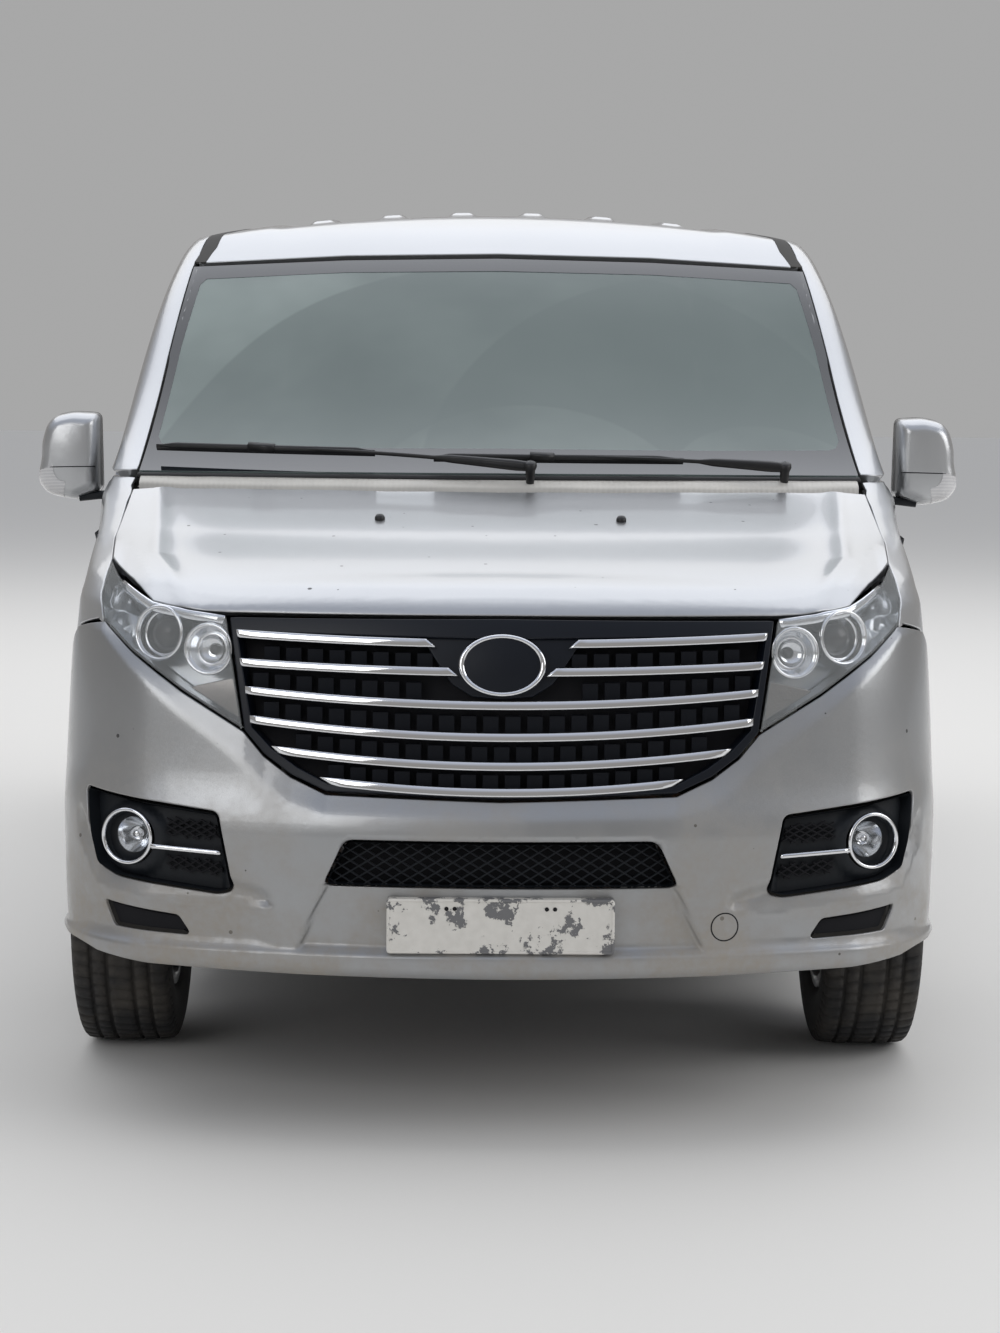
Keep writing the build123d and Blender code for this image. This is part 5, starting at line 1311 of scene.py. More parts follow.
made_mesh("plate_holder", "body", *slab(plate_outline,
                                        [(0.0, 0.030), (0.0, 0.006), (0.002, 0.0045), (0.0045, 0.0045),
                                         (0.006, 0.0062)]), peeling, smooth=False)
holes = [spun((x + dx, 0.0055, 0.469), (0, -1, 0), [(0.0, 0.0042), (0.0006, 0.0040), (0.0006, 0.0002)], 16)
         for x in (-0.098, 0.098) for dx in (-0.008, 0.008)]
made_mesh("plate_screw_holes", "body", *joined(holes), under_seal)

# Towing eye cover: a round cap of the bumper's own plastic and paint, clipped in flush. Only the fine dark
# gap round it shows.
cap_ring = [(0.443 + 0.0275 * np.cos(t), 0.426 + 0.0275 * np.sin(t)) for t in np.linspace(0, 2 * pi, 49)]
line, face = on_body(girth_of("front", cap_ring), 0.0003)
made_mesh("towing_cover_gap", "body", *swept(line + face * (bumper_relief(line) + INSET)[:, None], face,
                                             0.0006, 0.0014, 6, caps=False), under_seal)

# Rear fittings: a painted pull bar over the plate's recess, a blank plate panel, a wiper parked on the
# window, a high stop lamp, reflectors in the bumper and the seam of the fuel flap on the left side.
def across_rear(z, reach, sink):
    """Points along the tail at one height, from one side to the other."""
    half = rear_loop([(0, z), (reach, z)], step=0.02)
    return on_body(np.vstack([half[:0:-1] * (-1, 1), half]), sink, wrapped_rear)


line, face = across_rear(0.935, 0.285, -0.004)
made_mesh("tailgate_pull", "tailgate", *swept(line, (0, 0, 1.0), 0.020, 0.008, 16, square=3.0), silver)
line, face = across_rear(0.908, 0.060, 0.010)
made_mesh("tailgate_release", "tailgate", *swept(line, (0, 0, 1.0), 0.010, 0.008, 12, square=3.0), grained)
plate_card = material("blank_plate", roughness=0.45, base_color=(0.55, 0.55, 0.54, 1))
tree = plate_card.node_tree
stain = noise(tree, here(tree), Scale=12.0, Detail=6.0)
feed(tree, base_color=mixed(tree, stain, (0.62, 0.61, 0.58, 1), (0.42, 0.40, 0.36, 1)))
rear_plate = both(rear_loop([(0, 0.762), (0.222, 0.762), (0.222, 0.872), (0, 0.872)]))
skin("rear_plate", "tailgate", [rear_plate], wrapped_rear, (0.02, 0.02), plate_card, thick=0.002, edge=0.001,
     sink=0.012, gap=0.0)
line, face = on_body(rear_loop([(0.0, 1.185), (0.05, 1.208), (0.16, 1.232)]), -0.014, wrapped_rear)
wiper_arm = swept(line, face, 0.005, 0.009, 12, square=3.0)
line, face = on_body(rear_loop([(0.0, 1.238), (0.36, 1.247)]), -0.006, wrapped_rear)
wiper_blade = swept(line, face, 0.010, 0.006, 12, square=3.0)
(pivot,), (away,) = on_body(rear_loop([(0.0, 1.185), (0.001, 1.185)])[:1], 0.0, wrapped_rear)
wiper_pivot = spun(pivot, away, [(-0.004, 0.024), (0.010, 0.022), (0.018, 0.016), (0.021, 0.0005)], 28)
made_mesh("rear_wiper", "tailgate", *joined([wiper_arm, wiper_blade, wiper_pivot]), rubber)
stop_loop = both(rear_loop([(0, 1.785), (0.150, 1.785), (0.150, 1.803), (0, 1.803)]))
skin("high_stop_lamp", "tailgate", [stop_loop], wrapped_rear, (0.02, 0.01), red_lens, thick=0.006, edge=0.002,
     sink=-0.004, gap=0.0)
reflector_loop = rear_loop([(0.560, 0.438), (0.700, 0.438), (0.700, 0.468), (0.560, 0.468),
                            (0.560, 0.438)])[:-1]
skin("rear_reflector", "body", [reflector_loop], wrapped_rear, (0.02, 0.01), red_lens, thick=0.003,
     edge=0.002, sink=0.004, gap=0.0, mirror=True)
flap = rounded([(3.560, 0.880), (3.720, 0.880), (3.720, 1.030), (3.560, 1.030)], 0.030)
line, face = on_body(traced(("side", np.vstack([flap, flap[:1]])), step=0.02), 0.0004)
made_mesh("fuel_flap_seam", "body", *swept(line, face, 0.0008, 0.0018, 6, caps=False), under_seal)

# Cowl: a light grey plastic strip below the screen, with an air grid along it and a dark seal in front. The
# wipers' spindles come up through it.
cowl_plastic = material("cowl_plastic", roughness=0.45, base_color=(0.30, 0.31, 0.32, 1))
tree = cowl_plastic.node_tree
place = here(tree)
slats = stripes(tree, place, "X", Scale=26.0)
dusty = noise(tree, place, Scale=9.0, Detail=5.0)
feed(tree, base_color=mixed(tree, dusty, (0.46, 0.45, 0.43, 1), (0.66, 0.64, 0.60, 1)),
     normal=bump(tree, slats, 0.25, 0.002))
# Columns: X, station of the strip's front edge, station of its back edge.
COWL = [(0.0, 0.952, 0.990), (0.25, 0.962, 1.005), (0.50, 1.004, 1.048), (0.70, 1.058, 1.100),
        (0.826, 1.112, 1.146)]
xs = np.linspace(-0.826, 0.826, 90)
front_s, back_s = (np.interp(np.abs(xs), [c[0] for c in COWL], [c[k] for c in COWL]) for k in (1, 2))
rows = []
for t, lift in ((0.0, -0.030), (0.0, -0.004), (0.06, 0.0), (0.35, 0.001), (0.65, 0.001), (1.0, 0.0),
                (1.0, -0.030)):
    s = front_s + (back_s - front_s) * t
    q = from_above(np.c_[xs, s])
    rows.append(np.c_[q[:, :2], np.minimum(q[:, 2], 1.268) + lift - 0.004])
strip, = made_mesh("cowl_strip", "body", np.vstack(rows), ring_faces(len(rows), len(xs), closed=False),
                   cowl_plastic)
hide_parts("cowl")
seal_half = traced(("front", [(0, 1.2735), (0.400, 1.2725), (0.834, 1.2685)]), step=0.02)
seal_line, seal_face = on_body(np.vstack([seal_half[:0:-1] * (-1, 1), seal_half]), 0.006)
made_mesh("screen_seal", "body", *swept(seal_line, seal_face, 0.006, 0.009, 10), rubber)

# Wipers: an arm of pressed steel, painted black, on each spindle, carrying a rubber blade in a thin frame.
# They are parked low on the screen, and the washer jets sit in the bonnet.
wiper_black = material("wiper_black", roughness=0.38, base_color=(0.012, 0.012, 0.013, 1))
tree = wiper_black.node_tree
worn = noise(tree, here(tree), Scale=40.0, Detail=4.0)
feed(tree, roughness=math(tree, "ADD", math(tree, "MULTIPLY", worn, 0.3), 0.25))
# Columns: name, spindle, then the blade's ends, and where the arm holds it, all as X, station and Z.
WIPERS = [("wiper_left", (0.651, 1.072, 1.288), (0.418, 1.060, 1.308), (-0.150, 1.029, 1.311),
           (0.101, 1.023, 1.310)),
          ("wiper_right", (0.068, 0.965, 1.290), (-0.284, 1.058, 1.321), (-0.794, 1.193, 1.327),
           (-0.539, 1.110, 1.324))]
for name, spindle, outer_end, inner_end, held in WIPERS:
    spindle, outer_end, inner_end, held = (np.array(v) for v in (spindle, outer_end, inner_end, held))
    t = np.linspace(0, 1, 40)[:, None]
    control = 2 * held - (outer_end + inner_end) / 2
    blade = (1 - t)**2 * outer_end + 2 * (1 - t) * t * control + t**2 * inner_end
    up = (0, -0.6, 1.0)
    taper = np.clip(np.minimum(t[:, 0], 1 - t[:, 0]) * 12, 0.35, 1)
    rubber_edge = swept(blade + (0, 0.002, -0.003), up, 0.006, 0.0016, 8)
    frame_bar = swept(blade + (0, -0.002, 0.004), up, 0.0085 * taper, 0.0065 * taper, 12)
    run = spindle + (held - spindle) * t
    run[:, 2] += 0.006 * np.sin(t[:, 0] * pi)
    run[:, 1] -= 0.004 * np.sin(t[:, 0] * pi)
    thick = np.interp(t[:, 0], [0, 0.06, 0.30, 0.36, 1], [1.3, 1.5, 1.1, 0.55, 0.5])
    arm = swept(run + (0, -0.004, 0.006), up, 0.0085 * thick, 0.0055 * thick, 12, square=3.0)
    boss = spun(spindle + (0, 0.0, 0.001), (0, -0.35, 1.0),
                [(-0.050, 0.008), (-0.004, 0.011), (0.006, 0.015), (0.014, 0.014), (0.017, 0.009),
                 (0.018, 0.0005)], 24)
    clip = swept(np.array([held + (held - spindle) * k for k in (-0.04, 0.0, 0.06)]) + (0, -0.003, 0.005),
                 (0, -0.6, 1.0), 0.0105, 0.0085, 10, square=4.0)
    whole, = made_mesh(f"{name}_assembly", "body", *joined([rubber_edge, frame_bar, arm, boss, clip]),
                       wiper_black)
    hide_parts(name)
jets = [spun(spot - (0, 0, 0.006), (0, -0.35, 1.0),
             [(-0.010, 0.011), (0.005, 0.011), (0.010, 0.008), (0.011, 0.0005)], 20)
        for spot in from_above(np.array([(-0.261, 0.710), (0.261, 0.710)]))]
made_mesh("washer_jets", "bonnet", *joined(jets), wiper_black)

# Door mirrors: a plastic shell in the silver paint round a flat glass, bolted to the door by a black arm. A
# clear repeater lens is let into the lower outer corner.
mirror_loop_flat = rounded([(0.952, 1.400), (0.948, 1.215), (1.012, 1.191), (1.078, 1.208), (1.0985, 1.236),
                            (1.0985, 1.262), (1.0925, 1.290), (1.091, 1.330), (1.079, 1.372), (1.058, 1.394),
                            (1.015, 1.4035)], 0.016)
mirror_loop_flat = dense_loop(mirror_loop_flat, 0.010)
MIRROR_COUNT = len(mirror_loop_flat)
MIRROR_MIDDLE, MIRROR_HALF = np.array([1.022, 1.300]), np.array([0.075, 0.105])


def mirror_ring(grow, station):
    """The outline of the mirror's shell in the front view, made smaller and put at one station."""
    loop = MIRROR_MIDDLE + (mirror_loop_flat - MIRROR_MIDDLE) * (1 - grow / MIRROR_HALF)
    return np.c_[loop[:, 0], np.full(MIRROR_COUNT, station), loop[:, 1]]


shell_rings = [mirror_ring(g, s) for g, s in ((0.030, 1.3605), (0.020, 1.364), (0.011, 1.372), (0.005, 1.386),
                                              (0.0015, 1.405), (0.0005, 1.430), (0.0005, 1.462),
                                              (0.003, 1.4695), (0.008, 1.4695), (0.009, 1.462),
                                              (0.012, 1.452))]
DOOR_SIDES = ("front_door_left", "front_door_right")
mirror_shells = made_mesh("mirror_shell", DOOR_SIDES, np.vstack(shell_rings),
                          ring_faces(len(shell_rings), MIRROR_COUNT, caps=(True, False)), silver, mirror=True)
for shell_piece, side in zip(mirror_shells, ("left", "right")):
    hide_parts(f"mirror_{side}")
mirror_glass = material("mirror_glass", metallic=1.0, roughness=0.02, base_color=(0.72, 0.75, 0.78, 1))
made_mesh("mirror_face", DOOR_SIDES,
          np.vstack([mirror_ring(0.0115, 1.4535), mirror_ring(0.013, 1.4545), mirror_ring(0.016, 1.4550)]),
          ring_faces(3, MIRROR_COUNT, caps=(False, True)), mirror_glass, mirror=True)
arm_path = np.array([(0.895, 1.412, 1.207), (0.930, 1.414, 1.205), (0.955, 1.415, 1.204),
                     (1.000, 1.415, 1.200)])
made_mesh("mirror_arm", DOOR_SIDES, *swept(arm_path, (0, 0, 1.0), [0.011, 0.010, 0.010, 0.011],
                                           [0.030, 0.025, 0.024, 0.030], 20, square=4.0),
          grained, mirror=True)
repeater_lens = material("repeater_lens", roughness=0.10, coat_weight=0.6, base_color=(0.60, 0.60, 0.62, 1))
tree = repeater_lens.node_tree
ribs = stripes(tree, here(tree), "Z", Scale=90.0)
feed(tree, base_color=mixed(tree, ribs, (0.42, 0.42, 0.44, 1), (0.78, 0.77, 0.76, 1)))
corner = np.flatnonzero((mirror_loop_flat[:, 0] > 1.036) & (mirror_loop_flat[:, 1] < 1.264))
REPEATER_RINGS = ((0.040, 1.3596), (0.030, 1.3596), (0.0192, 1.3632), (0.0102, 1.3712), (0.0040, 1.3855),
                  (0.0002, 1.4045), (-0.0012, 1.420))
repeater = [mirror_ring(g, s)[corner] for g, s in REPEATER_RINGS]
made_mesh("mirror_repeater", DOOR_SIDES, np.vstack(repeater),
          ring_faces(len(repeater), len(corner), closed=False), repeater_lens, mirror=True)
fold = [swept([(0.958, 1.3600, 1.274), (1.02, 1.3600, 1.273), (1.066, 1.3605, 1.272)], (0, 0, 1.0), 0.0012,
              0.0012, 6)]
made_mesh("mirror_fold", DOOR_SIDES, *joined(fold), under_seal, mirror=True)
made_mesh("mirror_seam", DOOR_SIDES,
          np.vstack([mirror_ring(0.0, 1.446), mirror_ring(-0.0005, 1.4475), mirror_ring(0.0, 1.449)]),
          ring_faces(3, MIRROR_COUNT), under_seal, mirror=True)

# Door handles: plastic pull bars in the silver paint, on two feet over a cup in the door's skin. The front
# doors have a round key lock beside them, and a dark rail carries the sliding doors.
for name, (riders, middle) in {"front_door_handle": (DOOR_SIDES, 2.340),
                               "sliding_door_handle": ("body", 2.580)}.items():
    t = np.linspace(-1, 1, 26)
    lift = 0.951 - 0.022 * np.abs(t)**6
    run = np.c_[lift, middle + 0.078 * t, np.full(26, 1.070)]
    bar = swept(run, (0, 0, 1.0), 0.0125 - 0.003 * np.abs(t)**4, 0.0045, 16, square=3.0)
    ends = [swept([(0.915, middle + e * 0.070, 1.070), (0.930, middle + e * 0.071, 1.070),
                   (0.944, middle + e * 0.072, 1.070)],
                  (0, 0, 1.0), 0.0125, 0.009, 16, square=3.0) for e in (-1, 1)]
    made_mesh(name, riders, *joined([bar] + ends), silver, mirror=True)
lock = spun((0.9335, 2.440, 1.070), (1, 0, 0.02),
            [(-0.004, 0.0105), (0.0012, 0.0105), (0.0018, 0.0095), (0.0006, 0.008), (0.0006, 0.0002)], 24)
made_mesh("front_door_lock", DOOR_SIDES, *lock, bright, mirror=True)
rail_path, _ = on_body(traced(("side", [(3.520, 1.098), (4.636, 1.098)]), step=0.03), 0.012)
made_mesh("sliding_rail", "body", *swept(rail_path, (0, 0, 1.0), 0.0065, 0.003, 8), under_seal, mirror=True)

# Tyres: radial road tyres with four grooves round the tread, blocks cut by sipes, and a bulging side wall.
# They are dusty in brown patches on the tread and the outer edges of the side walls.
WHEEL_X = 0.8175
ENDS = (("front", FRONT_AXLE), ("rear", REAR_AXLE))


def wheel_piece(name, points, faces, finish, smooth=True, bodies="wheel", replaces=None):
    """One piece of all four wheels, given round the wheel's own middle with X outwards."""
    for side, mark in ((1, "left"), (-1, "right")):
        mesh = bpy.data.meshes.new(f"{name}_{mark}")
        mesh.from_pydata((np.asarray(points) * (side, 1, 1)).tolist(), [], [tuple(f)[::side] for f in faces])
        mesh.polygons.foreach_set("use_smooth", [smooth] * len(mesh.polygons))
        mesh.materials.append(finish)
        for end, axle in ENDS:
            piece = bpy.data.objects.new(f"{name}_{end}_{mark}", mesh.copy())
            piece.location = (side * WHEEL_X, axle - LENGTH / 2, WHEEL_RADIUS)
            scene.collection.objects.link(piece)
            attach(piece, f"{bodies}_{end}_{mark}")
            if replaces:
                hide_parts(f"{replaces}_{end}_{mark}")


tread_rubber = material("tyre_rubber", roughness=0.82, base_color=(0.016, 0.016, 0.017, 1))
tree = tread_rubber.node_tree
place = here(tree)
axes = node(tree, "SeparateXYZ", Vector=place)
radius = math(tree, "SQRT", node(tree, "Math", {"operation": "ADD"},
                                 i0=math(tree, "MULTIPLY", axes.outputs["Y"], axes.outputs["Y"]),
                                 i1=math(tree, "MULTIPLY", axes.outputs["Z"], axes.outputs["Z"])).outputs[0])
cloud = noise(tree, place, Scale=8.0, Detail=7.0, Roughness=0.65)
dust = math(tree, "MULTIPLY", ramp(tree, radius, 0.27, 0.343), ramp(tree, cloud, 0.35, 0.70))
mould_rings = math(tree, "SINE", node(tree, "Math", {"operation": "MULTIPLY"}, i0=radius,
                                      i1=1500.0).outputs[0])
feed(tree, base_color=mixed(tree, dust, (0.011, 0.011, 0.012, 1), (0.050, 0.044, 0.037, 1)),
     roughness=math(tree, "ADD", math(tree, "MULTIPLY", cloud, 0.3), 0.60),
     normal=bump(tree, mould_rings, 0.12, 0.0006))
# Half of the section from the bead to the tread's middle. Columns: X, radius.
TYRE_HALF = [(0.0850, 0.2075), (0.0885, 0.2150), (0.0890, 0.2260), (0.0945, 0.2290), (0.1005, 0.2440),
             (0.1040, 0.2600), (0.1046, 0.2615), (0.1052, 0.2630), (0.1066, 0.2780), (0.1072, 0.2930),
             (0.1064, 0.3060), (0.1050, 0.3160), (0.1030, 0.3190), (0.1022, 0.3260), (0.0985, 0.3335),
             (0.0930, 0.3385), (0.0840, 0.3405), (0.0740, 0.3415), (0.0665, 0.3418), (0.0655, 0.3345),
             (0.0585, 0.3345), (0.0575, 0.3424), (0.0450, 0.3427), (0.0330, 0.3429), (0.0320, 0.3352),
             (0.0240, 0.3352), (0.0230, 0.3429), (0.0110, 0.3430)]
section = np.array(TYRE_HALF + [(-x, r) for x, r in TYRE_HALF[::-1]])
PITCHES, WITHIN_PITCH = 68, np.array([0.0, 0.68, 0.75, 0.93])
angles = (np.arange(PITCHES)[:, None] + WITHIN_PITCH).ravel() * 2 * pi / PITCHES
cut = np.tile([0.0, 0.0, 1.0, 1.0], PITCHES)
x, r = section[:, 0], section[:, 1]
wide = np.abs(x)
# How deep the cross cuts are: through the shoulder blocks, lighter in the ribs, none on sides or in grooves.
depth = np.where((wide > 0.066) & (wide < 0.1035) & (r > 0.318), 0.0062,
                 np.where((wide < 0.064) & (r > 0.340), 0.0035, 0.0))
shift = np.where(wide > 0.064, 0.0, np.where(wide > 0.028, 0.5, 0.25)) * 2 * pi / PITCHES + x * 0.35
grid_r = r[None, :] - cut[:, None] * depth[None, :]
grid_a = angles[:, None] + shift[None, :]
tyre_points = np.stack([np.broadcast_to(x, grid_r.shape), grid_r * np.sin(grid_a), grid_r * np.cos(grid_a)],
                       axis=2)
n, m = grid_r.shape
tyre_faces = [(i * m + j, i * m + j + 1, (i + 1) % n * m + j + 1, (i + 1) % n * m + j) for i in range(n)
              for j in range(m - 1)]
tyre_faces += [(i * m + m - 1, i * m, (i + 1) % n * m, (i + 1) % n * m + m - 1) for i in range(n)]
wheel_piece("tyre_cover", tyre_points.reshape(-1, 3), tyre_faces, tread_rubber, replaces="tyre")

# Rims: cast alloy with ten plain spokes, silver lacquer, brown with brake dust inside, and a blank hub
# cap. Each is one casting from the hub to the bead seats.
rim_silver = material("rim_lacquer", metallic=0.85, roughness=0.30, coat_weight=0.4)
tree = rim_silver.node_tree
place = here(tree)
spots = noise(tree, place, Scale=22.0, Detail=8.0, Roughness=0.7)
grime = math(tree, "MULTIPLY", ramp(tree, spots, 0.42, 0.66), 0.75)
feed(tree, base_color=mixed(tree, grime, (0.42, 0.43, 0.44, 1), (0.10, 0.082, 0.066, 1)),
     metallic=math(tree, "SUBTRACT", 0.85, grime),
     roughness=math(tree, "ADD", math(tree, "MULTIPLY", grime, 0.5), 0.28))
SPOKES = 10
# Rows of the face from the hub outwards. Columns: radius, X at a spoke's middle and at its edge, half width.
FACE = [(0.036, 0.0575, 0.0575, None), (0.052, 0.0600, 0.0590, None), (0.074, 0.0625, 0.0600, None),
        (0.086, 0.0640, 0.0590, None), (0.090, 0.0645, 0.0585, 0.0175), (0.105, 0.0660, 0.0590, 0.0160),
        (0.125, 0.0680, 0.0600, 0.0150), (0.145, 0.0700, 0.0610, 0.0150), (0.160, 0.0720, 0.0625, 0.0165),
        (0.168, 0.0735, 0.0650, 0.0200), (0.173, 0.0750, 0.0700, None), (0.184, 0.0800, 0.0790, None),
        (0.196, 0.0870, 0.0870, None), (0.204, 0.0905, 0.0905, None), (0.2115, 0.0935, 0.0935, None),
        (0.2185, 0.0938, 0.0938, None), (0.2195, 0.0915, 0.0915, None), (0.2190, 0.0892, 0.0892, None)]
half_pitch = pi / SPOKES
SPOKE_STEPS, GAP_STEPS = np.array([-1, -0.85, -0.5, 0.0, 0.5, 0.85]), np.array([0.0, 0.25, 0.5, 0.75])
WEB_WIDTH = 0.0185
# Steps round one spoke and its gap, the rows between which the gaps are open, and the rows of thick metal.
STEPS = len(SPOKE_STEPS) + len(GAP_STEPS)
GAP_FROM, GAP_TO, THICK_ROWS = 4, 9, 12
face_rows = []
for r, x_middle, x_edge, width in FACE:
    edge = min((width or WEB_WIDTH) / r, half_pitch * 0.86)
    a = np.concatenate([SPOKE_STEPS * edge, edge + (2 * half_pitch - 2 * edge) * GAP_STEPS])
    x = np.concatenate([x_edge + (x_middle - x_edge) * (1 - SPOKE_STEPS**4), np.full(len(GAP_STEPS), x_edge)])
    a = (np.arange(SPOKES)[:, None] * 2 * half_pitch + a).ravel()
    face_rows.append(np.c_[np.tile(x, SPOKES), r * np.sin(a), r * np.cos(a)])
around = SPOKES * STEPS
rim_faces = []
for i in range(len(FACE) - 1):
    for j in range(around):
        if not (GAP_FROM <= i < GAP_TO and j % STEPS >= len(SPOKE_STEPS)):
            rim_faces.append((i * around + j, i * around + (j + 1) % around,
                              (i + 1) * around + (j + 1) % around, (i + 1) * around + j))
face_points = np.vstack(face_rows)
inward = face_points.copy()
row_of = np.repeat(np.arange(len(FACE)), around)
inward[:, 0] -= np.where(row_of < THICK_ROWS, 0.0125, 0.004)
back_faces = [tuple(v + len(face_points) for v in f[::-1]) for f in rim_faces
              if max(f) < THICK_ROWS * around]
edges_used = dict.fromkeys((a, b) for f in rim_faces for a, b in zip(f, f[1:] + f[:1]))
side_walls = [(b, a, a + len(face_points), b + len(face_points)) for a, b in edges_used
              if (b, a) not in edges_used and max(a, b) < (THICK_ROWS - 1) * around]
barrel = [(0.0890, 0.2190), (0.0880, 0.2060), (0.0700, 0.2030), (0.0600, 0.1960), (0.0200, 0.1950),
          (-0.0700, 0.2000), (-0.0880, 0.2055), (-0.0890, 0.2190), (-0.0938, 0.2190), (-0.0938, 0.1960),
          (-0.0700, 0.1920), (0.0200, 0.1890), (0.0480, 0.1880), (0.0700, 0.1900)]
t = np.linspace(0, 2 * pi, 96, endpoint=False)
barrel_points = np.vstack([np.c_[np.full(96, x), r * np.sin(t), r * np.cos(t)] for x, r in barrel])
whole = joined([(np.vstack([face_points, inward]), rim_faces + back_faces + side_walls),
                (barrel_points, ring_faces(len(barrel), 96))])
wheel_piece("rim_casting", *whole, rim_silver, replaces="rim")


def turned(profile, around=48, centre=(0, 0)):
    """A turned shape round the wheel's axis or one beside it. Columns: X, radius."""
    a = np.linspace(0, 2 * pi, around, endpoint=False)
    return (np.vstack([np.c_[np.full(around, x), centre[0] + r * np.sin(a), centre[1] + r * np.cos(a)]
                       for x, r in profile]),
            ring_faces(len(profile), around))


wheel_piece("hub_cap", *turned([(0.050, 0.0355), (0.0600, 0.0350), (0.0635, 0.0325), (0.0625, 0.0300),
                                (0.0645, 0.0270), (0.0665, 0.0150), (0.0672, 0.0004)]), navy)
BOLTS, BOLT_CIRCLE = 5, 0.053
BOLT = [(0.0600, 0.0125), (0.0602, 0.0085), (0.0605, 0.0085), (0.0680, 0.0080), (0.0690, 0.0066),
        (0.0692, 0.0003)]
bolt_ring = [(BOLT_CIRCLE * sin(k * 2 * pi / BOLTS), BOLT_CIRCLE * cos(k * 2 * pi / BOLTS))
             for k in range(BOLTS)]
wheel_piece("wheel_bolts", *joined([turned(BOLT, 12, c) for c in bolt_ring]), bright)
wheel_piece("tyre_valve",
            *joined([turned([(0.078, 0.0040), (0.092, 0.0040), (0.093, 0.0030), (0.100, 0.0030),
                             (0.101, 0.0004)], 12, (0.010, 0.178))]), rubber)

# Running gear under the floor: cast knuckles, black painted arms and rear axle with rust in patches, a rusty
# steel exhaust, moulded wheel liners, and the engine as one block with its cover.
rust, rust_in, rust_out = group("rust", [("Amount", "NodeSocketFloat", 1.0)],
                                [("Mask", "NodeSocketFloat"), ("Color", "NodeSocketColor")])
place = here(rust)
blotch = noise(rust, place, Scale=11.0, Detail=9.0, Roughness=0.72)
crumb = noise(rust, place, Scale=90.0, Detail=4.0)
rust.links.new(math(rust, "MULTIPLY", ramp(rust, blotch, 0.44, 0.62), rust_in.outputs["Amount"]),
               rust_out.inputs["Mask"])
rust.links.new(mixed(rust, crumb, (0.10, 0.035, 0.014, 1), (0.24, 0.105, 0.045, 1)), rust_out.inputs["Color"])


def rusty(name, base, amount, metallic=0.0, roughness=0.6):
    """Painted or bare steel with rust and grime in patches."""
    steel = material(name, metallic=metallic, roughness=roughness)
    tree = steel.node_tree
    worn = node(tree, "Group", {"node_tree": rust}, Amount=amount)
    mask = worn.outputs["Mask"]
    feed(tree, base_color=mixed(tree, mask, base, worn.outputs["Color"]),
         roughness=math(tree, "ADD", math(tree, "MULTIPLY", mask, 0.4), roughness),
         normal=bump(tree, mask, 0.4, 0.0008))
    return steel


def moulded(name, low, high, scale=30.0, roughness=0.7):
    """Moulded plastic, felt or painted steel whose tone varies between two colours."""
    plastic = material(name, roughness=roughness)
    tree = plastic.node_tree
    place = here(tree)
    tone = noise(tree, place, Scale=scale, Detail=6.0, Roughness=0.6)
    nap = noise(tree, place, Scale=scale * 14)
    feed(tree, base_color=mixed(tree, tone, low, high), normal=bump(tree, nap, 0.3, 0.001))
    return plastic


chassis_black = rusty("chassis_black", (0.016, 0.016, 0.017, 1), 0.75)
cast_iron = rusty("cast_iron", (0.10, 0.098, 0.095, 1), 0.55, metallic=0.6, roughness=0.5)
exhaust_steel = rusty("exhaust_steel", (0.20, 0.19, 0.18, 1), 0.95, metallic=0.8, roughness=0.42)
liner_plastic = moulded("liner_plastic", (0.012, 0.012, 0.013, 1), (0.045, 0.040, 0.034, 1), 12.0)
carpet = moulded("floor_carpet", (0.030, 0.030, 0.032, 1), (0.060, 0.058, 0.055, 1), 60.0, 0.95)
trim_grey = moulded("pillar_trim", (0.30, 0.29, 0.27, 1), (0.36, 0.35, 0.33, 1), 24.0)
FINISHES = {
    "knuckle_left": cast_iron, "knuckle_right": cast_iron,
    "front_suspension": chassis_black, "rear_axle": chassis_black,
    "propshaft": cast_iron, "exhaust": exhaust_steel, "engine": cast_iron,
    "front_wheel_liner_left": liner_plastic, "front_wheel_liner_right": liner_plastic,
    "front_panel": chassis_black, "bulkhead": carpet, "floor_pan": carpet,
    "centre_pillar_left": trim_grey, "centre_pillar_right": trim_grey,
}
for name, finish in FINISHES.items():
    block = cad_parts[name]
    if not block.material_slots:
        block.data.materials.append(finish)
    for place_slot in block.material_slots:
        place_slot.material = finish

# Wheel arch flanges: the steel panels' own edges, turned in over the wheels as far as the liners. They are
# coated with black underseal.
ARCHES = (("front", FRONT_AXLE, (0.540, 0.392), (1.322, 0.380)),
          ("rear", REAR_AXLE, (4.397, 0.420), (3.619, 0.300)))
for end, axle, start, finish in ARCHES:
    edge = traced(("side", arch(axle, ARCH_RADIUS + 0.002, start, finish, 70)))
    rim = on_body(edge, 0.0055)[0]
    turned_in = [rim - (depth, 0, 0) for depth in (0.0, 0.030, 0.140)]
    made_mesh(f"{end}_arch_flange", "body", np.vstack(turned_in), ring_faces(3, len(edge), closed=False),
              under_seal, mirror=True)

# Engine bay: a ribbed plastic cover on the engine, the battery and the air filter box on steel trays that
# stand on the rails, a ribbed intake hose, and a pale coolant bottle held by a strap.
def upright(outline, levels):
    """A standing block from its outline seen from above: levels give each ring's inset and its height."""
    rings = [np.c_[shrunk(outline, inset), np.full(len(outline), z)] for inset, z in levels]
    return np.vstack(rings), ring_faces(len(rings), len(outline), caps=(True, True))


def footprint(x0, x1, s0, s1, corner):
    """A rectangle seen from above, with round corners."""
    return rounded([(x0, s0), (x1, s0), (x1, s1), (x0, s1)], corner)


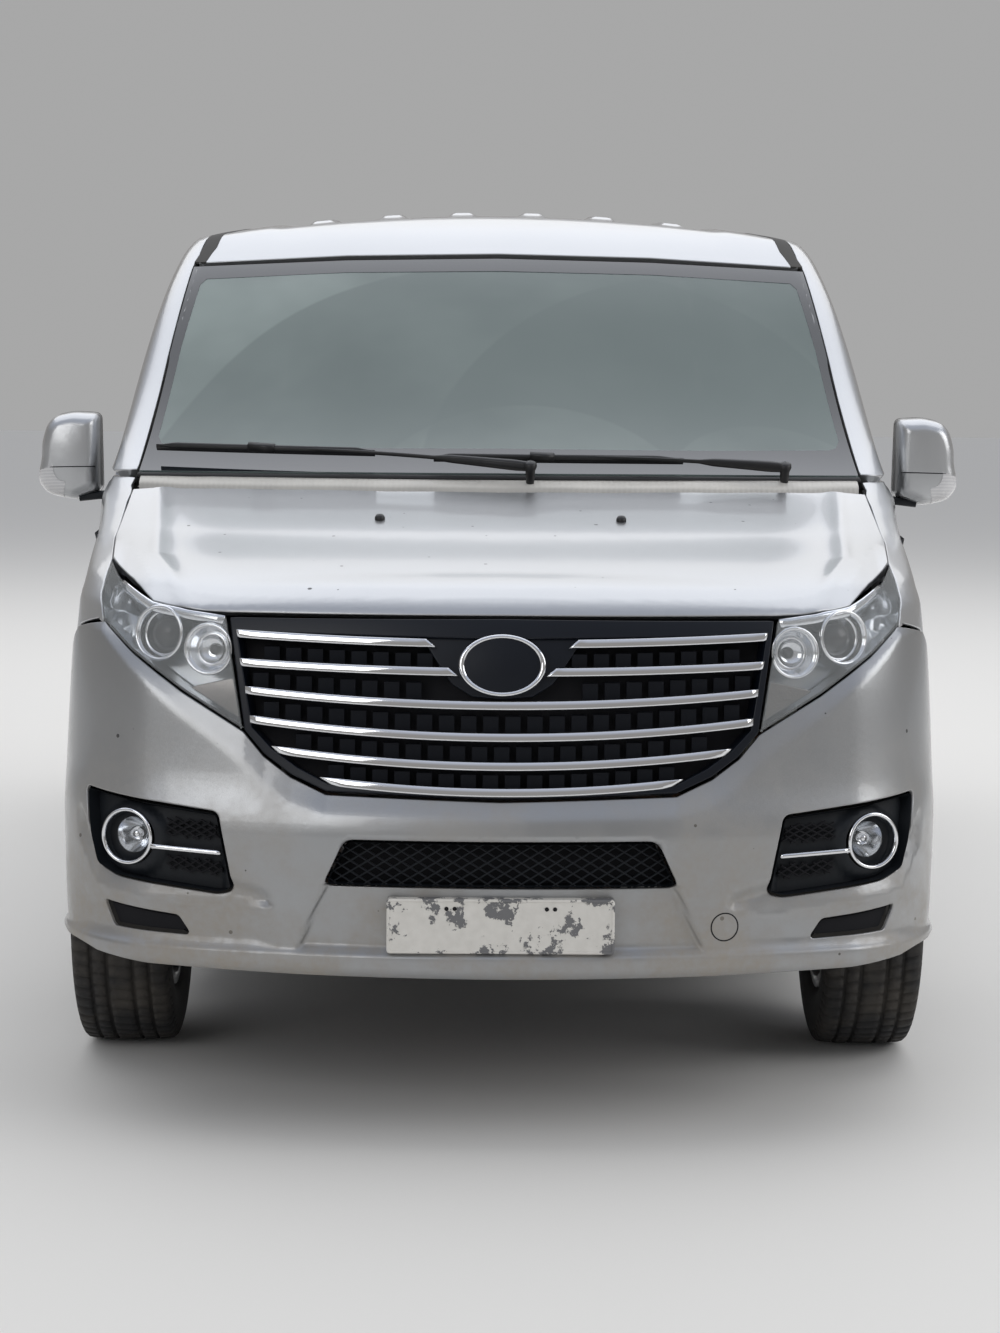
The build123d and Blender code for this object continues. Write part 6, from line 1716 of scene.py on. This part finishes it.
bay_plastic = moulded("engine_bay_plastic", (0.030, 0.030, 0.032, 1), (0.075, 0.070, 0.062, 1), 9.0, 0.55)
bottle_plastic = moulded("bottle_plastic", (0.50, 0.49, 0.42, 1), (0.66, 0.65, 0.58, 1), 10.0, 0.45)
cover = [upright(footprint(-0.256, 0.256, 0.372, 0.880, 0.035),
                 [(0.0, 0.930), (0.0, 0.966), (0.004, 0.976), (0.014, 0.981)])]
cover += [swept([(x, 0.405, 0.980), (x, 0.630, 0.983), (x, 0.850, 0.980)], (0, 0, 1.0), 0.006, 0.011, 12,
                square=4.0)
          for x in (-0.150, -0.110, -0.070, 0.070, 0.110, 0.150)]
cover.append(spun((0.0, 0.450, 0.981), (0, 0, 1),
                  [(0.0, 0.034), (0.010, 0.033), (0.013, 0.029), (0.013, 0.0004)], 32))
made_mesh("engine_cover", "body", *joined(cover), bay_plastic)
trays = []
for x in (-0.365, 0.365):
    trays.append(upright(footprint(x - 0.095, x + 0.095, 0.330, 0.560, 0.012),
                         [(0.0, 0.642), (0.0, 0.662), (0.003, 0.662), (0.004, 0.646), (0.05, 0.646)]))
    trays.append(swept([(np.sign(x) * 0.400, 0.445, z) for z in (0.400, 0.520, 0.644)], (1.0, 0, 0), 0.012,
                       0.060, 12, square=5.0))
made_mesh("battery_trays", "body", *joined(trays), chassis_black)
battery = [upright(footprint(0.282, 0.448, 0.345, 0.545, 0.008),
                   [(0.0, 0.647), (0.0, 0.822), (0.0025, 0.822), (0.0025, 0.826), (0.0, 0.826), (0.0, 0.848),
                    (0.004, 0.852)])]
battery += [spun((x, 0.375, 0.850), (0, 0, 1),
                 [(0.0, 0.016), (0.016, 0.014), (0.019, 0.010), (0.019, 0.0004)], 24) for x in (0.315, 0.415)]
battery.append(swept([(0.365, 0.338, 0.760), (0.365, 0.340, 0.856), (0.365, 0.445, 0.858),
                      (0.365, 0.550, 0.856), (0.365, 0.552, 0.760)],
                     [(0, -1, 0), (0, -1, 1), (0, 0, 1), (0, 1, 1), (0, 1, 0)], 0.002, 0.012, 8, square=4.0))
made_mesh("battery", "body", *joined(battery), bay_plastic)
filter_box = [upright(footprint(-0.455, -0.275, 0.340, 0.550, 0.022),
                      [(0.006, 0.647), (0.0, 0.780), (-0.004, 0.782), (-0.004, 0.792), (0.0, 0.794),
                       (0.002, 0.862), (0.014, 0.880)])]
filter_box += [swept([(-0.430, s, 0.882), (-0.365, s, 0.884), (-0.300, s, 0.882)], (0, 0, 1.0), 0.004, 0.006,
                     10, square=4.0)
               for s in (0.385, 0.415, 0.445, 0.475, 0.505)]
made_mesh("air_filter_box", "body", *joined(filter_box), bay_plastic)
u = np.linspace(0, 1, 61)[:, None]
hose_path = ((1 - u)**3 * (-0.365, 0.548, 0.835) + 3 * u * (1 - u)**2 * (-0.365, 0.660, 0.840)
             + 3 * u**2 * (1 - u) * (-0.350, 0.720, 0.900) + u**3 * (-0.252, 0.720, 0.952))
ripple = 0.033 + 0.0030 * np.sin(np.arange(61) * pi / 2)
made_mesh("intake_hose", "body", *swept(hose_path, (0, 0.2, 1.0), ripple, ripple, 24), rubber)
bottle = [upright(footprint(0.500, 0.610, 0.330, 0.470, 0.030),
                  [(0.014, 0.690), (0.0, 0.702), (0.0, 0.850), (0.006, 0.868), (0.024, 0.880)])]
made_mesh("coolant_bottle", "body", *joined(bottle), bottle_plastic)
made_mesh("coolant_cap", "body", *spun((0.555, 0.400, 0.879), (0, 0, 1),
                                       [(0.0, 0.024), (0.022, 0.023), (0.025, 0.020), (0.025, 0.0004)], 28),
          bay_plastic)
strap = [(0.455, 0.500, 0.760), (0.490, 0.482, 0.775), (0.555, 0.476, 0.780), (0.618, 0.470, 0.780),
         (0.618, 0.400, 0.780), (0.618, 0.328, 0.780), (0.555, 0.323, 0.780), (0.494, 0.328, 0.778),
         (0.455, 0.345, 0.760)]
made_mesh("bottle_strap", "body", *swept(strap, (0, 0, 1.0), 0.012, 0.002, 8, square=4.0), chassis_black)

# Dashboard: one moulded plastic pad from pillar to pillar, with a hood over the instruments, round-cornered
# air vents, a glossy middle stack and a glove box lid.
dash_plastic = moulded("dash_plastic", (0.026, 0.026, 0.028, 1), (0.046, 0.045, 0.044, 1), 18.0, 0.62)
DASH = np.array([(1.104, 0.804), (1.104, 1.160), (1.125, 1.176), (1.250, 1.201), (1.440, 1.188),
                 (1.530, 1.145), (1.562, 1.112), (1.577, 1.060), (1.574, 0.995), (1.545, 0.945),
                 (1.476, 0.865), (1.400, 0.828), (1.300, 0.804)])
dash_outline = dense(rounded(DASH, 0.02), 0.022)
xs = np.linspace(-0.785, 0.785, 90)
hood = ease(np.abs(xs - 0.370), 0.200, 0.150)
stack = ease(np.abs(xs), 0.170, 0.140)
rings = []
for x, h, c in zip(xs, hood, stack):
    s, z = dash_outline[:, 0].copy(), dash_outline[:, 1].copy()
    brow = ease(z, 1.10, 1.17) * ease(s, 1.30, 1.46)
    s += 0.035 * h * brow
    z += 0.030 * h * brow
    s += 0.012 * c * ease(z, 0.98, 1.02) * ease(z, 1.16, 1.12) * ease(s, 1.50, 1.55)
    pull = 1 - 0.03 * ease(abs(x), 0.74, 0.785)
    rings.append(np.c_[np.full(len(s), x), 1.10 + (s - 1.10) * pull, z])
dash_points = np.vstack(rings)
dash_pad, = made_mesh("dashboard_pad", "body", dash_points,
                      ring_faces(len(xs), len(dash_outline), caps=(True, True)), dash_plastic)
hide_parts("dashboard")


def front_frame(x0, x1, z0, z1, station, depth, corner, lean=0.0):
    """A rounded frame with a sunk middle, on the face of the dashboard."""
    loop = rounded([(x0, z0), (x1, z0), (x1, z1), (x0, z1)], corner)
    levels = [(0.0, -0.02), (0.0, 0.002), (0.003, 0.005), (0.010, 0.005), (0.012, -depth)]
    rings = []
    for inset, out in levels:
        l = shrunk(loop, inset)
        rings.append(np.c_[l[:, 0], station + out + (z1 - l[:, 1]) * lean, l[:, 1]])
    return np.vstack(rings), ring_faces(len(rings), len(loop), caps=(False, True))


gloss_black = material("gloss_black", roughness=0.10, base_color=(0.010, 0.010, 0.012, 1), coat_weight=0.8)
tree = gloss_black.node_tree
prints = noise(tree, here(tree), Scale=30.0, Detail=5.0)
feed(tree, roughness=math(tree, "ADD", math(tree, "MULTIPLY", ramp(tree, prints, 0.5, 0.7), 0.25), 0.08))
vents, slats = [], []
for x in (-0.70, -0.225, 0.225, 0.70):
    vents.append(front_frame(x - 0.062, x + 0.062, 1.030, 1.100, 1.571, 0.022, 0.016))
    for k in range(4):
        z = 1.043 + 0.0145 * k
        slats.append(swept([(x - 0.050, 1.564, z), (x, 1.564, z), (x + 0.050, 1.564, z)], (0, 0.8, 0.6),
                           0.006, 0.0014, 8, square=4.0))
made_mesh("dashboard_vents", "body", *joined(vents + slats), gloss_black)
made_mesh("dashboard_screen", "body", *joined([front_frame(-0.130, 0.130, 0.995, 1.110, 1.590, 0.003, 0.012),
                                               front_frame(-0.115, 0.115, 0.905, 0.975, 1.556, 0.006, 0.010,
                                                           -0.10)]),
          gloss_black)
knobs = [spun((x, 1.560, 0.940), (0, 1, 0.1), [(0.0, 0.020), (0.016, 0.018), (0.019, 0.015), (0.019, 0.0004)],
              28) for x in (-0.075, 0.0, 0.075)]
made_mesh("dashboard_knobs", "body", *joined(knobs), dash_plastic)
dials = [spun((x, 1.535, 1.150), (0, 1.0, 0.35),
              [(-0.004, 0.050), (0.012, 0.050), (0.013, 0.046), (0.001, 0.044), (0.0, 0.0004)], 40)
         for x in (0.310, 0.430)]
made_mesh("instrument_dials", "body", *joined(dials), gloss_black)
made_mesh("glove_box_lid", "body", *front_frame(-0.640, -0.300, 0.905, 1.000, 1.556, 0.004, 0.02, -0.22),
          dash_plastic)

# Steering wheel: a leather grained rim on two side spokes and one below, with a padded hub, on a
# tilted column with two stalks.
TILT = radians(25.0)
COLUMN_TOP = np.array([0.370, 1.790, 1.100])
ACROSS, UPWARDS, ALONG = np.array([1.0, 0, 0]), np.array([0, -sin(TILT),
                                                          cos(TILT)]), np.array([0, cos(TILT), sin(TILT)])


def on_column(points):
    """Points in the wheel's own plane, across, up and towards the driver, put at the column's end."""
    points = np.asarray(points, float)
    return COLUMN_TOP + points[:, :1] * ACROSS + points[:, 1:2] * UPWARDS + points[:, 2:] * ALONG


leather = moulded("wheel_leather", (0.014, 0.014, 0.015, 1), (0.026, 0.025, 0.025, 1), 45.0, 0.50)
t = np.linspace(0, 2 * pi, 96, endpoint=False)
tube = np.linspace(0, 2 * pi, 18, endpoint=False)
rim_rings = [np.c_[(0.178 + 0.0125 * np.cos(b) * (1 + 0.10 * np.cos(6 * t))) * np.sin(t),
                   (0.178 + 0.0125 * np.cos(b)) * np.cos(t), np.full(96, 0.0140 * np.sin(b))] for b in tube]
rim_mesh = on_column(np.vstack(rim_rings)), [(i * 96 + j, i * 96 + (j + 1) % 96,
                                              (i + 1) % 18 * 96 + (j + 1) % 96, (i + 1) % 18 * 96 + j)
                                             for i in range(18) for j in range(96)]
spokes = []
for end in ((-0.172, 0.004), (0.172, 0.004), (0.0, -0.172)):
    run = np.array([(0, -0.005, -0.016), (end[0] * 0.35, end[1] * 0.35 - 0.003, -0.012),
                    (end[0] * 0.7, end[1] * 0.7, -0.007), (end[0], end[1], -0.002)])
    up = UPWARDS if end[0] else ACROSS
    spokes.append(swept(on_column(run), up, [0.040, 0.030, 0.019, 0.017], [0.012, 0.009, 0.007, 0.007], 16,
                        square=3.0))
hub_outline = rounded([(-0.075, -0.055), (0.075, -0.055), (0.085, 0.045), (-0.085, 0.045)], 0.03)
hub_rings = [on_column(np.c_[shrunk(hub_outline, inset), np.full(len(hub_outline), lift)]) for inset, lift in
             ((0.012, -0.039), (0.0, -0.026), (0.0, -0.010), (0.004, -0.002), (0.014, 0.002),
              (0.030, 0.0035))]
hub = np.vstack(hub_rings), ring_faces(len(hub_rings), len(hub_outline), caps=(True, True))
wheel_rim, = made_mesh("steering_wheel_rim", "steering_wheel", *joined([rim_mesh] + spokes + [hub]), leather)
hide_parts("steering_wheel")
column = spun(COLUMN_TOP - ALONG * 0.042, -ALONG,
              [(0.0, 0.032), (0.005, 0.037), (0.12, 0.040), (0.25, 0.044)], 32)
stalks = [swept([COLUMN_TOP - ALONG * 0.070 + ACROSS * k * 0.030,
                 COLUMN_TOP - ALONG * 0.066 + ACROSS * k * 0.090, COLUMN_TOP - ALONG * 0.060
                 + ACROSS * k * 0.150],
                UPWARDS, [0.005, 0.006, 0.009], [0.004, 0.004, 0.005], 12) for k in (-1, 1)]
made_mesh("column_shroud", "body", *joined([column] + stalks), dash_plastic)

# Seats: foam cushions under grey woven cloth with sewn channels, on black plastic bases. The two front seats
# stand by themselves; the benches behind have three places each. The covers are blown up like cloth.
seat_cloth = material("seat_cloth", roughness=0.92, sheen_weight=0.35, base_color=(0.10, 0.10, 0.105, 1))
tree = seat_cloth.node_tree
place = here(tree)
warp = stripes(tree, place, "X", Scale=160.0, Distortion=0.6)
weft = stripes(tree, place, "DIAGONAL", Scale=150.0, Distortion=0.6)
thread = math(tree, "MULTIPLY", warp, weft)
worn = noise(tree, place, Scale=5.0, Detail=5.0)
cloth_grey = mixed(tree, worn, (0.060, 0.060, 0.064, 1), (0.085, 0.083, 0.082, 1))
feed(tree, base_color=mixed(tree, thread, cloth_grey, (0.125, 0.123, 0.120, 1)),
     normal=bump(tree, thread, 0.5, 0.0012))
seat_base = moulded("seat_base", (0.018, 0.018, 0.019, 1), (0.034, 0.033, 0.032, 1), 30.0, 0.6)
VOXEL, SWELL = 0.0115, 0.016


def cushion(size, power, pinch):
    """A closed cushion form round its own middle: half sizes, squareness, and how far its sides pull in."""
    shape = bmesh.new()
    bmesh.ops.create_cube(shape, size=2.0)
    bmesh.ops.subdivide_edges(shape, edges=shape.edges[:], cuts=22, use_grid_fill=True)
    p = np.array([v.co for v in shape.verts])
    p /= (np.sum(np.abs(p)**power, axis=1)**(1 / power))[:, None]
    waist = 1 - pinch * (1 - np.clip(np.abs(p[:, [1, 0]]), 0, 1)**2) * (np.abs(p[:, :2]) > 0.5)
    p[:, :2] *= waist
    p *= size
    faces = [[v.index for v in f.verts] for f in shape.faces]
    shape.free()
    return p, faces


def inflated(name, points, faces):
    """The same form after its cover has been blown up a little as cloth, as new points and faces."""
    mesh = bpy.data.meshes.new(name)
    mesh.from_pydata(points.tolist(), [], faces)
    blank = bpy.data.objects.new(name, mesh)
    scene.collection.objects.link(blank)
    voxels = blank.modifiers.new("voxels", "REMESH")
    voxels.mode, voxels.voxel_size = "VOXEL", VOXEL
    depsgraph = bpy.context.evaluated_depsgraph_get()
    cover_mesh = bpy.data.meshes.new_from_object(blank.evaluated_get(depsgraph))
    cover = bpy.data.objects.new(name + "_cover", cover_mesh)
    scene.collection.objects.link(cover)
    start = np.array([v.co for v in cover_mesh.vertices])
    cloth = cover.modifiers.new("cloth", "CLOTH")
    cloth.settings.use_pressure = True
    cloth.settings.uniform_pressure_force = 4.0
    cloth.settings.effector_weights.gravity = 0.0
    for moment in range(1, 21):
        scene.frame_set(moment)
    depsgraph = bpy.context.evaluated_depsgraph_get()
    swollen = np.array([v.co for v in cover.evaluated_get(depsgraph).data.vertices])
    move = swollen - start
    far = np.linalg.norm(move, axis=1)[:, None] + 1e-9
    start = start + move * np.minimum(1, SWELL / far)
    scene.frame_set(1)
    loops = [tuple(f.vertices) for f in cover_mesh.polygons]
    for made in (cover, blank):
        data = made.data
        bpy.data.objects.remove(made)
        bpy.data.meshes.remove(data)
    return start, loops


# The three forms of every seat, lying flat: half sizes across, along and up.
SEAT_FORMS = {"cushion": ((0.245, 0.235, 0.048), 5.0, 0.03), "back": ((0.235, 0.290, 0.040), 5.0, 0.04),
              "headrest": ((0.125, 0.075, 0.036), 3.4, 0.03)}
forms = {kind: inflated(f"seat_{kind}_form", *cushion(np.array(size), power, pinch))
         for kind, (size, power, pinch) in SEAT_FORMS.items()}
# Sewn channels on the upper side of each form. Columns: axis that the channel crosses, its place as a share
# of the half size.
CHANNELS = {"cushion": [(0, -0.56), (0, 0.56), (1, -0.45), (1, 0.0), (1, 0.45)],
            "back": [(0, -0.58), (0, 0.58), (1, -0.40), (1, 0.0), (1, 0.40)], "headrest": []}
for kind, (points, faces) in forms.items():
    half = np.array(SEAT_FORMS[kind][0])
    share = points / half
    side_panels = np.abs(share[:, 0]) < 0.56
    for axis, at in CHANNELS[kind]:
        line = np.exp(-(((share[:, axis] - at) * half[axis]) / 0.010)**2) * ease(share[:, 2], 0.2, 0.6)
        points[:, 2] -= 0.010 * line * (side_panels if axis == 1 else 1.0)
    if kind != "headrest":
        points[:, 2] += (0.016 * ease(np.abs(share[:, 0]), 0.58, 0.82) * ease(share[:, 2], 0.0, 0.7)
                         * ease(np.abs(share[:, 0]), 1.06, 0.92))


def soft_piece(name, kind, width, middle, lean):
    """One cushion: its form made as wide as its place, leant back and moved there."""
    points, faces = forms[kind]
    half_width = SEAT_FORMS[kind][0][0]
    p = points * ((width / 2 - 0.018) / half_width if kind != "headrest" else 1.0, 1, 1)
    along, up = np.array([0, cos(lean), sin(lean)]), np.array([0, -sin(lean), cos(lean)])
    p = np.array(middle) + p[:, :1] * (1, 0, 0) + p[:, 1:2] * along + p[:, 2:] * up
    piece, = made_mesh(name, "body", p, faces, seat_cloth)
    return piece


# Columns: seat's name, CAD node, station of the cushion's middle, its height, a place's width, middles in X.
SEATS = [("driver_seat", "front_seat_left", 2.175, 0.826, 0.505, (0.455,)),
         ("passenger_seat", "front_seat_right", 2.175, 0.826, 0.505, (-0.455,)),
         ("middle_bench_seat", "middle_bench", 3.140, 0.812, 0.455, (-0.462, 0.0, 0.462)),
         ("rear_bench_seat", "rear_bench", 4.030, 0.812, 0.385, (-0.390, 0.0, 0.390))]
for name, cad, s, z, width, middles in SEATS:
    places = ("left", "middle", "right") if len(middles) > 1 else ("",)
    for x, where in zip(middles[::-1], places):
        label = f"{name}_{where}" if where else name
        first = soft_piece(f"{label}_cushion", "cushion", width, (x, s, z), radians(3.0))
        soft_piece(f"{label}_back", "back", width * 0.96, (x, s + 0.345, z + 0.355), radians(77.0))
        soft_piece(f"{label}_headrest", "headrest", 0.25, (x, s + 0.445, z + 0.765), radians(80.0))
        posts = [swept([(x + k * 0.055, s + 0.418, z + 0.62), (x + k * 0.055, s + 0.428, z + 0.67),
                        (x + k * 0.055, s + 0.438, z + 0.72)], (0, 1.0, 0), 0.006, 0.006, 12)
                 for k in (-1, 1)]
        made_mesh(f"{label}_posts", "body", *joined(posts), bright)
        if x == middles[0]:
            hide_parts(cad)
    span = (max(middles) - min(middles) + width) / 2 - 0.02
    base_loop = rounded([(-span, -0.205), (span, -0.205), (span, 0.225), (-span, 0.225)], 0.04)
    rings = [np.c_[shrunk(base_loop, inset)[:, 0] + np.mean(middles), s + shrunk(base_loop, inset)[:, 1],
                   np.full(len(base_loop), h)]
             for inset, h in ((0.030, 0.521), (0.030, 0.545), (0.045, 0.560), (0.040, 0.700), (0.006, 0.735),
                              (0.004, 0.775), (0.03, 0.782))]
    made_mesh(f"{name}_base", "body", np.vstack(rings),
              ring_faces(len(rings), len(base_loop), caps=(True, True)), seat_base)
